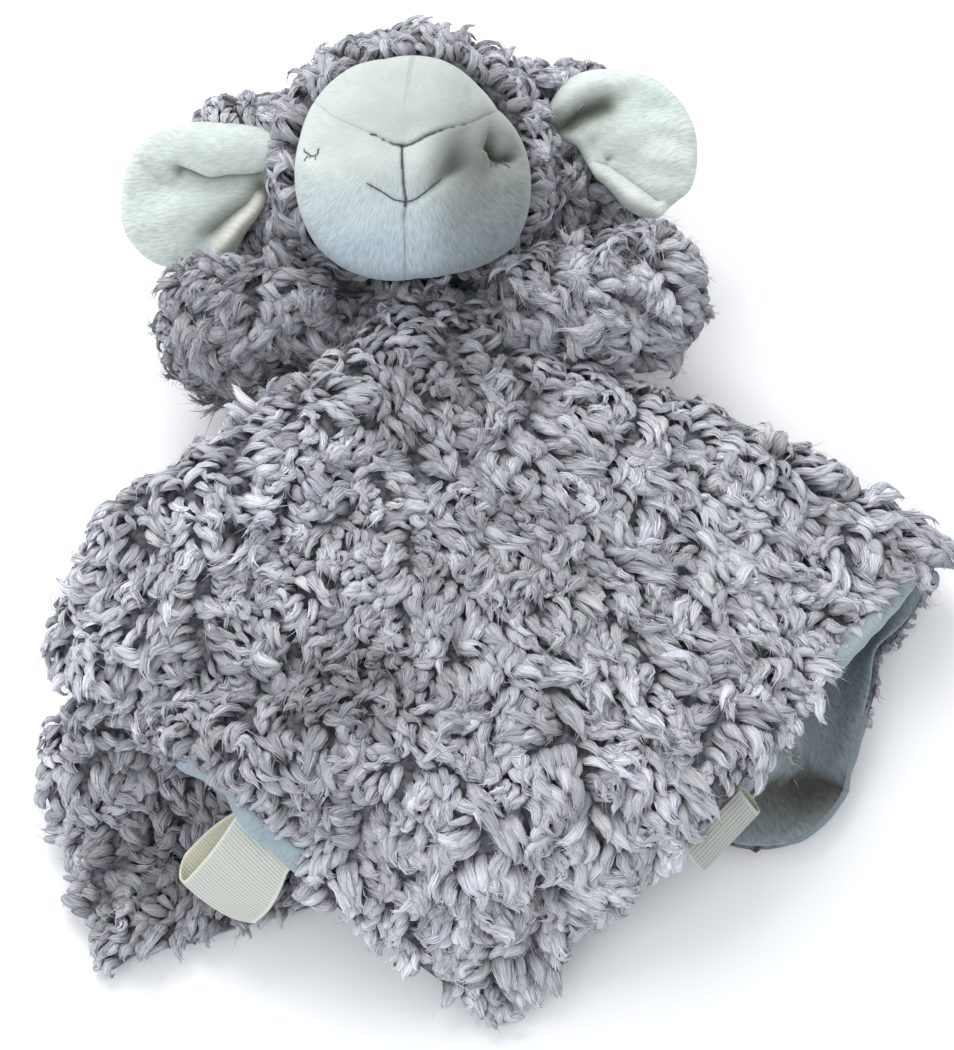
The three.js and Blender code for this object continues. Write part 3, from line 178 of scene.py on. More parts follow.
def layer_mesh(g, n, lo, hi):
    """closed cloth layer between two distances from a grid surface"""
    nu, nv = g.shape[:2]
    top = (g + n * np.asarray(hi)[..., None] if np.ndim(hi) else g + n * hi).reshape(-1, 3)
    bot = (g + n * np.asarray(lo)[..., None] if np.ndim(lo) else g + n * lo).reshape(-1, 3)
    f = grid_faces(nu, nv)
    k = nu * nv
    rim = np.concatenate([
        np.arange(nu - 1) * nv, (nu - 1) * nv + np.arange(nv - 1),
        (np.arange(nu - 1, 0, -1)) * nv + nv - 1, np.arange(nv - 1, 0, -1)])
    nxt = np.roll(rim, -1)
    side = np.stack([rim, rim + k, nxt + k, nxt], 1)
    return np.concatenate([top, bot]), np.concatenate([f, f[:, ::-1] + k, side])


def curve(points, n=60, closed=False):
    """smooth curve through the points"""
    P = np.asarray(points, float)
    e = np.concatenate([P[-1:], P, P[:2]]) if closed else np.concatenate([[2 * P[0] - P[1]], P, [2 * P[-1] - P[-2]]])
    m = len(P) if closed else len(P) - 1
    x = np.linspace(0, m, n, endpoint=not closed)
    i = np.minimum(np.floor(x).astype(int), m - 1)
    t = (x - i)[:, None]
    p0, p1, p2, p3 = e[i], e[i + 1], e[i + 2], e[i + 3]
    return 0.5 * (2 * p1 + (p2 - p0) * t + (2 * p0 - 5 * p1 + 4 * p2 - p3) * t ** 2 + (3 * p1 - p0 - 3 * p2 + p3) * t ** 3)




# ------------------------------------------------------------------ materials
def tex(nodes, kind, **kw):
    n = nodes.new(kind)
    for k, v in kw.items():
        if k in n.inputs:
            n.inputs[k].default_value = v
        else:
            setattr(n, k, v)
    return n


def fleece_material(name, streak=9.0, bump=0.6):
    """long soft pile: colour from the tint layer, with fine fibres along each lock"""
    m, n, l, b = node_material(name, rough=0.92)
    b.inputs["Sheen Weight"].default_value = 0.35
    b.inputs["Sheen Roughness"].default_value = 0.45
    b.inputs["Sheen Tint"].default_value = (0.9, 0.92, 1.0, 1.0)
    b.inputs["Specular IOR Level"].default_value = 0.15
    tint = n.new("ShaderNodeAttribute")
    tint.attribute_name = "tint"
    uv = n.new("ShaderNodeUVMap")
    uv.uv_map = "lock"
    mp = n.new("ShaderNodeMapping")
    mp.inputs["Scale"].default_value = (streak, 1.6, 1.0)
    l.new(uv.outputs[0], mp.inputs[0])
    fib = tex(n, "ShaderNodeTexNoise", Scale=1.0, Detail=3.0, Roughness=0.65)
    l.new(mp.outputs[0], fib.inputs["Vector"])
    geo = n.new("ShaderNodeTexCoord")
    patch = tex(n, "ShaderNodeTexNoise", Scale=60.0, Detail=3.0)
    l.new(geo.outputs["Object"], patch.inputs["Vector"])
    ramp = n.new("ShaderNodeMapRange")
    ramp.inputs["From Min"].default_value = 0.28
    ramp.inputs["From Max"].default_value = 0.72
    ramp.inputs["To Min"].default_value = 0.52
    ramp.inputs["To Max"].default_value = 1.34
    l.new(fib.outputs["Fac"], ramp.inputs["Value"])
    ramp2 = n.new("ShaderNodeMapRange")
    ramp2.inputs["From Min"].default_value = 0.3
    ramp2.inputs["From Max"].default_value = 0.7
    ramp2.inputs["To Min"].default_value = 0.9
    ramp2.inputs["To Max"].default_value = 1.08
    l.new(patch.outputs["Fac"], ramp2.inputs["Value"])
    mul = n.new("ShaderNodeMath")
    mul.operation = "MULTIPLY"
    l.new(ramp.outputs[0], mul.inputs[0])
    l.new(ramp2.outputs[0], mul.inputs[1])
    col = n.new("ShaderNodeVectorMath")
    col.operation = "SCALE"
    l.new(tint.outputs["Color"], col.inputs[0])
    l.new(mul.outputs[0], col.inputs["Scale"])
    l.new(col.outputs[0], b.inputs["Base Color"])
    bp = n.new("ShaderNodeBump")
    bp.inputs["Strength"].default_value = bump
    bp.inputs["Distance"].default_value = 0.0006
    l.new(fib.outputs["Fac"], bp.inputs["Height"])
    l.new(bp.outputs[0], b.inputs["Normal"])
    return m


def velour_material(name, base, shade, nap=1.0, rough=0.85):
    """short velour: soft brushed patches, a fine nap and a sheen at grazing angles"""
    m, n, l, b = node_material(name, rough=rough)
    b.inputs["Sheen Weight"].default_value = 0.5
    b.inputs["Sheen Roughness"].default_value = 0.35
    b.inputs["Sheen Tint"].default_value = (0.95, 0.98, 1.0, 1.0)
    co = n.new("ShaderNodeTexCoord")
    warp = tex(n, "ShaderNodeTexNoise", Scale=70.0, Detail=2.0)
    l.new(co.outputs["Object"], warp.inputs["Vector"])
    mixv = n.new("ShaderNodeVectorMath")
    mixv.operation = "MULTIPLY_ADD"
    mixv.inputs[1].default_value = (0.004, 0.004, 0.004)
    l.new(warp.outputs["Color"], mixv.inputs[0])
    l.new(co.outputs["Object"], mixv.inputs[2])
    mp = n.new("ShaderNodeMapping")
    mp.inputs["Scale"].default_value = (1.0, 0.32, 1.0)
    mp.inputs["Rotation"].default_value = (0.3, 0.2, 0.5)
    l.new(mixv.outputs[0], mp.inputs[0])
    fine = tex(n, "ShaderNodeTexNoise", Scale=1500.0, Detail=2.0, Roughness=0.6)
    l.new(mp.outputs[0], fine.inputs["Vector"])
    patch = tex(n, "ShaderNodeTexNoise", Scale=45.0, Detail=4.0, Roughness=0.55)
    l.new(co.outputs["Object"], patch.inputs["Vector"])
    add = n.new("ShaderNodeMath")
    add.operation = "MULTIPLY_ADD"
    add.inputs[1].default_value = 0.55
    l.new(fine.outputs["Fac"], add.inputs[0])
    half = n.new("ShaderNodeMath")
    half.operation = "MULTIPLY"
    half.inputs[1].default_value = 0.45
    l.new(patch.outputs["Fac"], half.inputs[0])
    l.new(half.outputs[0], add.inputs[2])
    ramp = n.new("ShaderNodeValToRGB")
    ramp.color_ramp.elements[0].position = 0.36
    ramp.color_ramp.elements[0].color = (*shade, 1)
    ramp.color_ramp.elements[1].position = 0.60
    ramp.color_ramp.elements[1].color = (*base, 1)
    l.new(add.outputs[0], ramp.inputs[0])
    l.new(ramp.outputs[0], b.inputs["Base Color"])
    bp = n.new("ShaderNodeBump")
    bp.inputs["Strength"].default_value = 0.35 * nap
    bp.inputs["Distance"].default_value = 0.0004
    l.new(add.outputs[0], bp.inputs["Height"])
    l.new(bp.outputs[0], b.inputs["Normal"])
    return m


FLEECE = fleece_material("grey_fleece_pile")
# painted shade: the ground cloth under the pile is coloured darker than the pile, standing in for the shade down
# between the locks
KNIT, _n, _l, _b = node_material("grey_fleece_ground", lin(92, 93, 99), 1.0)
_co = _n.new("ShaderNodeTexCoord")
_no = tex(_n, "ShaderNodeTexNoise", Scale=420.0, Detail=4.0)
_l.new(_co.outputs["Object"], _no.inputs["Vector"])
_cr = _n.new("ShaderNodeValToRGB")
_cr.color_ramp.elements[0].color = (*lin(62, 63, 68), 1)
_cr.color_ramp.elements[0].position = 0.35
_cr.color_ramp.elements[1].color = (*lin(126, 127, 133), 1)
_cr.color_ramp.elements[1].position = 0.68
_l.new(_no.outputs["Fac"], _cr.inputs[0])
_l.new(_cr.outputs[0], _b.inputs["Base Color"])
_bp = _n.new("ShaderNodeBump")
_bp.inputs["Strength"].default_value = 0.8
_bp.inputs["Distance"].default_value = 0.001
_l.new(_no.outputs["Fac"], _bp.inputs["Height"])
_l.new(_bp.outputs[0], _b.inputs["Normal"])

def nap_material(name, across=2.2, along=0.30, strength=0.55, dark=0.80):
    """velour brushed in one direction: fine lines of nap from the nap layout, colour from the tint layer"""
    m, n, l, b = node_material(name, rough=0.88)
    b.inputs["Sheen Weight"].default_value = 0.35
    b.inputs["Sheen Roughness"].default_value = 0.4
    b.inputs["Sheen Tint"].default_value = (0.95, 0.98, 1.0, 1.0)
    b.inputs["Specular IOR Level"].default_value = 0.15
    tint = n.new("ShaderNodeAttribute")
    tint.attribute_name = "tint"
    uv = n.new("ShaderNodeUVMap")
    uv.uv_map = "nap"
    co = n.new("ShaderNodeTexCoord")
    warp = tex(n, "ShaderNodeTexNoise", Scale=90.0, Detail=2.0)
    l.new(co.outputs["Object"], warp.inputs["Vector"])
    mixv = n.new("ShaderNodeVectorMath")
    mixv.operation = "MULTIPLY_ADD"
    mixv.inputs[1].default_value = (3.0, 1.2, 0.0)
    l.new(warp.outputs["Color"], mixv.inputs[0])
    l.new(uv.outputs[0], mixv.inputs[2])
    mp = n.new("ShaderNodeMapping")
    mp.inputs["Scale"].default_value = (across, along, 1.0)
    l.new(mixv.outputs[0], mp.inputs[0])
    fine = tex(n, "ShaderNodeTexNoise", Scale=1.0, Detail=3.0, Roughness=0.6)
    l.new(mp.outputs[0], fine.inputs["Vector"])
    patch = tex(n, "ShaderNodeTexNoise", Scale=75.0, Detail=4.0, Roughness=0.6)
    l.new(co.outputs["Object"], patch.inputs["Vector"])
    r1 = n.new("ShaderNodeMapRange")
    r1.inputs["From Min"].default_value = 0.36
    r1.inputs["From Max"].default_value = 0.60
    r1.inputs["To Min"].default_value = dark
    r1.inputs["To Max"].default_value = 1.04
    l.new(fine.outputs["Fac"], r1.inputs["Value"])
    r2 = n.new("ShaderNodeMapRange")
    r2.inputs["From Min"].default_value = 0.3
    r2.inputs["From Max"].default_value = 0.7
    r2.inputs["To Min"].default_value = 0.93
    r2.inputs["To Max"].default_value = 1.04
    l.new(patch.outputs["Fac"], r2.inputs["Value"])
    nap = n.new("ShaderNodeMix")
    nap.inputs[2].default_value = 1.0
    l.new(tint.outputs["Alpha"], nap.inputs[0])
    l.new(r1.outputs[0], nap.inputs[3])
    mul = n.new("ShaderNodeMath")
    mul.operation = "MULTIPLY"
    l.new(nap.outputs[0], mul.inputs[0])
    l.new(r2.outputs[0], mul.inputs[1])
    col = n.new("ShaderNodeVectorMath")
    col.operation = "SCALE"
    l.new(tint.outputs["Color"], col.inputs[0])
    l.new(mul.outputs[0], col.inputs["Scale"])
    l.new(col.outputs[0], b.inputs["Base Color"])
    bp = n.new("ShaderNodeBump")
    bp.inputs["Strength"].default_value = strength
    bp.inputs["Distance"].default_value = 0.00035
    l.new(fine.outputs["Fac"], bp.inputs["Height"])
    l.new(bp.outputs[0], b.inputs["Normal"])
    return m


COOL = nap_material("cool_velour", across=0.9, along=0.28, strength=0.7, dark=0.74)
HEM = nap_material("cool_velour_hem", across=1.2, along=0.4, strength=0.5, dark=0.86)


# ------------------------------------------------------------------ pile
rng = np.random.default_rng(20)


def locks(root, nrm, comb, length, width, lean0, lean1, curl, rings=9, sides=10, flat=0.45,
          rag=0.14, ridge=0.16, power=1.3, tip=0.12, belly=0.42, cup=0.5, seed=1, sink=0.8,
          floor_z=0.3, root_w=0.72, wave=0.14, sway=0.22, phase=None):
    """Tapered locks of pile. Each starts on a root point, leans from the surface normal by
    lean0 at its root to lean1 at its tip, towards comb, and curls sideways by curl.
    Returns vertices (N, rings, sides, 3), and per-vertex (across, along)."""
    r = np.random.default_rng(seed)
    N = len(root)
    n = unit(nrm)
    t = unit(comb - (comb * n).sum(-1, keepdims=True) * n)
    b = np.cross(n, t)
    s = np.linspace(0, 1, rings)
    lean0 = np.broadcast_to(lean0, N)[:, None]
    lean1 = np.broadcast_to(lean1, N)[:, None]
    curl = np.clip(np.broadcast_to(curl, N), -2.4, 2.4)[:, None]
    th = lean0 + (lean1 - lean0) * s[None] ** power
    ps = curl * s[None] ** 1.5
    if phase is None:
        amp, phase = r.normal(0, sway, (N, 1)), r.uniform(0, 6, (N, 1))
    else:
        amp, phase = np.clip(sway, -1.1, 1.1)[:, None], phase[:, None]
    wob = amp * np.sin(s[None] * 7.4 + phase)
    ps = ps + wob
    d = (np.cos(th)[..., None] * n[:, None] + np.sin(th)[..., None]
         * (np.cos(ps)[..., None] * t[:, None] + np.sin(ps)[..., None] * b[:, None]))
    L = np.broadcast_to(length, N)[:, None, None]
    step = d * L / (rings - 1)
    p = root[:, None] + np.concatenate([np.zeros((N, 1, 3)), np.cumsum((step[:, 1:] + step[:, :-1]) / 2, 1)], 1)
    p = p - n[:, None] * sink
    w = -np.sin(ps)[..., None] * t[:, None] + np.cos(ps)[..., None] * b[:, None]
    w = unit(w - (w * d).sum(-1, keepdims=True) * d)
    q = np.cross(d, w)
    # outline of the lock: quick swell, soft belly, drawn-out tip
    prof = np.where(s < belly, root_w + (1 - root_w) * np.sin(s / belly * np.pi / 2),
                    tip + (1 - tip) * np.cos(np.clip((s - belly) / (1 - belly), 0, 1) * np.pi / 2) ** 0.8)
    a = np.arange(sides) / sides * 2 * np.pi
    W = np.broadcast_to(width, N)[:, None, None] / 2 * prof[None, :, None]
    W = W * (1 + wave * np.sin(s[None, :] * r.uniform(5, 11, (N, 1)) + r.uniform(0, 6.3, (N, 1))))[..., None]
    rad = 1 + ridge * r.normal(0, 1, (N, 1, sides)) * (0.4 + 0.6 * s[None, :, None])
    rad = np.clip(rad, 0.45, 1.6)
    x = np.cos(a)[None, None] * W * rad
    y = np.sin(a)[None, None] * W * flat * rad
    y = y - cup * (np.cos(a)[None, None] ** 2) * W * flat * 1.2 * s[None, :, None]
    slip = rag * L * np.clip(r.normal(0, 1, (N, 1, sides)), -1.3, 1.3) * s[None, :, None] ** 2
    v = p[:, :, None] + x[..., None] * w[:, :, None] + y[..., None] * q[:, :, None] + slip[..., None] * d[:, :, None]
    if floor_z is not None:
        v[..., 2] = np.maximum(v[..., 2], floor_z)
    uv = np.stack(np.broadcast_arrays((np.arange(sides) / sides)[None], s[:, None]), -1)
    return v, uv, p, d, w, q, prof


def lock_faces(N, rings, sides):
    k = np.arange(sides)
    kn = (k + 1) % sides
    r = np.arange(rings - 1)
    a = (r[:, None] * sides + k[None]).ravel()
    b_ = (r[:, None] * sides + kn[None]).ravel()
    quad = np.stack([a, b_, b_ + sides, a + sides], 1)
    f = (np.arange(N) * rings * sides)[:, None, None] + quad[None]
    return f.reshape(-1, 4)


def cap_faces(N, rings, sides):
    """close both ends of each lock with quads folded across the ring"""
    out = []
    for base, flip in ((0, True), ((rings - 1) * sides, False)):
        for k in range(sides // 2 - 1):
            q = [base + k, base + k + 1, base + sides - 2 - k, base + sides - 1 - k]
            if k + 1 == sides - 2 - k:
                continue
            out.append(q[::-1] if flip else q)
    out = np.array(out)
    f = (np.arange(N) * rings * sides)[:, None, None] + out[None]
    return f.reshape(-1, 4)


def strands(p, d, w, q, width, length, flat, cup, prof, count, seed, thick=0.30, rings=6, over=0.22,
            stray=0.12, twist=0.7, floor_z=0.3, span=(-0.35, 3.5)):
    """wisps of fibre that lie along the outer side of each lock and draw out past its tip"""
    r = np.random.default_rng(seed)
    N, R = p.shape[:2]
    idx = np.repeat(np.arange(N), count)
    M = len(idx)
    loose = r.random(M) < stray
    s0 = r.uniform(0.0, 0.35, M)
    s1 = 1.0 + r.normal(0.0, over * 0.5, M) + over * 0.35
    s0 = np.where(loose, r.uniform(0.2, 0.6, M), s0)
    s1 = np.where(loose, s0 + r.uniform(0.5, 0.95, M), np.maximum(s1, s0 + 0.45))
    s = s0[:, None] + (s1 - s0)[:, None] * np.linspace(0, 1, rings)[None]
    sc = np.clip(s, 0, 1) * (R - 1)
    i0 = np.minimum(np.floor(sc).astype(int), R - 2)
    f = (sc - i0)[..., None]
    ii = idx[:, None]

    def at(g):
        return g[ii, i0] * (1 - f) + g[ii, i0 + 1] * f
    P, D, Wv, Q = at(p), unit(at(d)), unit(at(w)), unit(at(q))
    pr = np.interp(np.clip(s, 0, 1), np.linspace(0, 1, R), prof)
    phi = r.uniform(span[0], span[1], M)[:, None] + r.normal(0, twist, (M, 1)) * s
    half = width[idx][:, None] / 2
    x = np.cos(phi) * half * pr
    y = np.sin(phi) * half * flat * pr - cup * np.cos(phi) ** 2 * half * flat * 1.2 * np.clip(s, 0, 1) + 0.12
    L = length[idx][:, None]
    past = np.maximum(s - 1, 0)
    side = r.normal(0, 0.55, (M, 1))
    drop = r.normal(-0.5, 0.5, (M, 1))
    off = np.linspace(0, 1, rings)[None] ** 2
    lx = loose[:, None] * r.normal(0, 0.30, (M, 1)) * L * off
    ly = loose[:, None] * r.uniform(0.0, 0.30, (M, 1)) * L * off
    c = (P + (x + lx + past * L * side)[..., None] * Wv + (y + ly + past * L * drop)[..., None] * Q
         + (past * L)[..., None] * D)
    rad = np.where(loose, thick * 0.38, thick * r.uniform(0.6, 1.35, M))[:, None] \
        * np.interp(np.linspace(0, 1, rings), [0, 0.3, 0.75, 1], [0.5, 1.0, 0.85, 0.22])[None]
    ring = []
    for k in range(3):
        a = 2 * np.pi * k / 3 + 0.5
        ring.append(c + (rad * math.cos(a))[..., None] * Wv * 1.35 + (rad * math.sin(a))[..., None] * Q * 0.8)
    v = np.stack(ring, 2)
    if floor_z is not None:
        v[..., 2] = np.maximum(v[..., 2], floor_z)
    uv = np.stack(np.broadcast_arrays((np.arange(3) / 3)[None], np.linspace(0.0, 1, rings)[:, None]), -1)
    return v, uv, idx, s, r.normal(1.0, 0.13, M)


def pile_piece(name, body, v, uv, tint, extra=None, cells=None):
    """one mesh from locks and their stray fibres; tint is (N, rings, 3)"""
    N, R, S = v.shape[:3]
    co = v.reshape(-1, 3)
    faces = np.concatenate([lock_faces(N, R, S), cap_faces(N, R, S)])
    col = np.repeat(tint[:, :, None], S, 2).reshape(-1, 3)
    side = int(math.ceil(math.sqrt(N + (len(extra[0]) if extra else 0))))
    idx = np.arange(N)
    cell = np.stack([idx % side, idx // side], 1)[:, None, None]
    tri = np.abs(uv[..., 0] * 2 - 1)          # the seam of each lock mirrors, so it doesn't show
    lk = np.stack([tri, uv[..., 1]], -1)
    lockuv = (lk[None] + np.stack([idx * 0.37 % 7, idx * 0.61 % 11], 1)[:, None, None]).reshape(-1, 2)
    bakeuv = ((cell + 0.08 + 0.84 * np.stack([uv[..., 0], uv[..., 1]], -1)[None]) / side).reshape(-1, 2)
    if extra:
        hv, huv, hidx, hs, hval = extra
        M, Rh = hv.shape[:2]
        hf = lock_faces(M, Rh, 3) + len(co)
        k = np.arange(M) * Rh * 3 + len(co)
        tip = k + (Rh - 1) * 3
        hcap = np.concatenate([np.stack([k, k + 2, k + 1, k + 1], 1), np.stack([tip, tip + 1, tip + 2, tip + 2], 1)])
        hc = np.clip(hs, 0, 1) * (R - 1)
        h0 = np.minimum(np.floor(hc).astype(int), R - 2)
        hf_ = (hc - h0)[..., None]
        th = tint[hidx[:, None], h0] * (1 - hf_) + tint[hidx[:, None], h0 + 1] * hf_
        # painted light: the stray fibres lie on the outside of the locks and are tinted a tenth lighter than the lock
        # under them
        hcol = (th * hval[:, None, None] * 1.10)[:, :, None].repeat(3, 2).reshape(-1, 3)
        hi = N + np.arange(M)
        hcell = np.stack([hi % side, hi // side], 1)[:, None, None]
        hbake = ((hcell + 0.3 + 0.4 * huv[None]) / side).reshape(-1, 2)
        hlock = (huv[None] * np.array([0.2, 1.0]) + np.stack([hi * 0.53 % 5, hi * 0.29 % 9], 1)[:, None, None]).reshape(-1, 2)
        co = np.concatenate([co, hv.reshape(-1, 3)])
        col = np.concatenate([col, hcol])
        lockuv = np.concatenate([lockuv, hlock])
        bakeuv = np.concatenate([bakeuv, hbake])
        quads = np.concatenate([faces, hf])
        tris = hcap[:, :3]
    else:
        quads, tris = faces, np.zeros((0, 3), int)
    allf = np.concatenate([quads.ravel(), tris.ravel()]).astype(np.int32)
    starts = np.concatenate([np.arange(len(quads)) * 4, len(quads) * 4 + np.arange(len(tris)) * 3]).astype(np.int32)
    me = bpy.data.meshes.new(name)
    me.vertices.add(len(co))
    me.vertices.foreach_set("co", row(co).astype(np.float32).ravel())
    me.loops.add(len(allf))
    me.loops.foreach_set("vertex_index", allf)
    me.polygons.add(len(starts))
    me.polygons.foreach_set("loop_start", starts)
    me.update(calc_edges=True)
    me.polygons.foreach_set("use_smooth", np.ones(len(starts), bool))
    for uv_name, data in (("OFBake", bakeuv), ("lock", lockuv)):
        layer = me.uv_layers.new(name=uv_name)
        layer.data.foreach_set("uv", data.astype(np.float32)[allf].ravel())
    att = me.color_attributes.new(name="tint", type="FLOAT_COLOR", domain="POINT")
    rgba = np.ones((len(co), 4), np.float32)
    rgba[:, :3] = np.clip(col, 0, 1)
    att.data.foreach_set("color", rgba.ravel())
    me.materials.append(FLEECE)
    o = bpy.data.objects.new(name, me)
    bpy.context.scene.collection.objects.link(o)
    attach(o, body)
    return o


BASE_TINT = np.array(lin(181, 182, 187))


def lock_tint(N, rings, tone, seed, shade_at_root=0.42):
    r = np.random.default_rng(seed)
    s = np.linspace(0, 1, rings)
    # painted shade: each lock is darker towards its root, down among the other locks
    grad = shade_at_root + (1 - shade_at_root) * smooth01(s, 0.0, 0.62)
    val = np.broadcast_to(tone, N) * r.normal(1.0, 0.09, N)
    hue = np.stack([1 + r.normal(0, 0.012, N), np.ones(N), 1 + r.normal(0.004, 0.014, N)], 1)
    return BASE_TINT[None, None] * val[:, None, None] * grad[None, :, None] * hue[:, None]


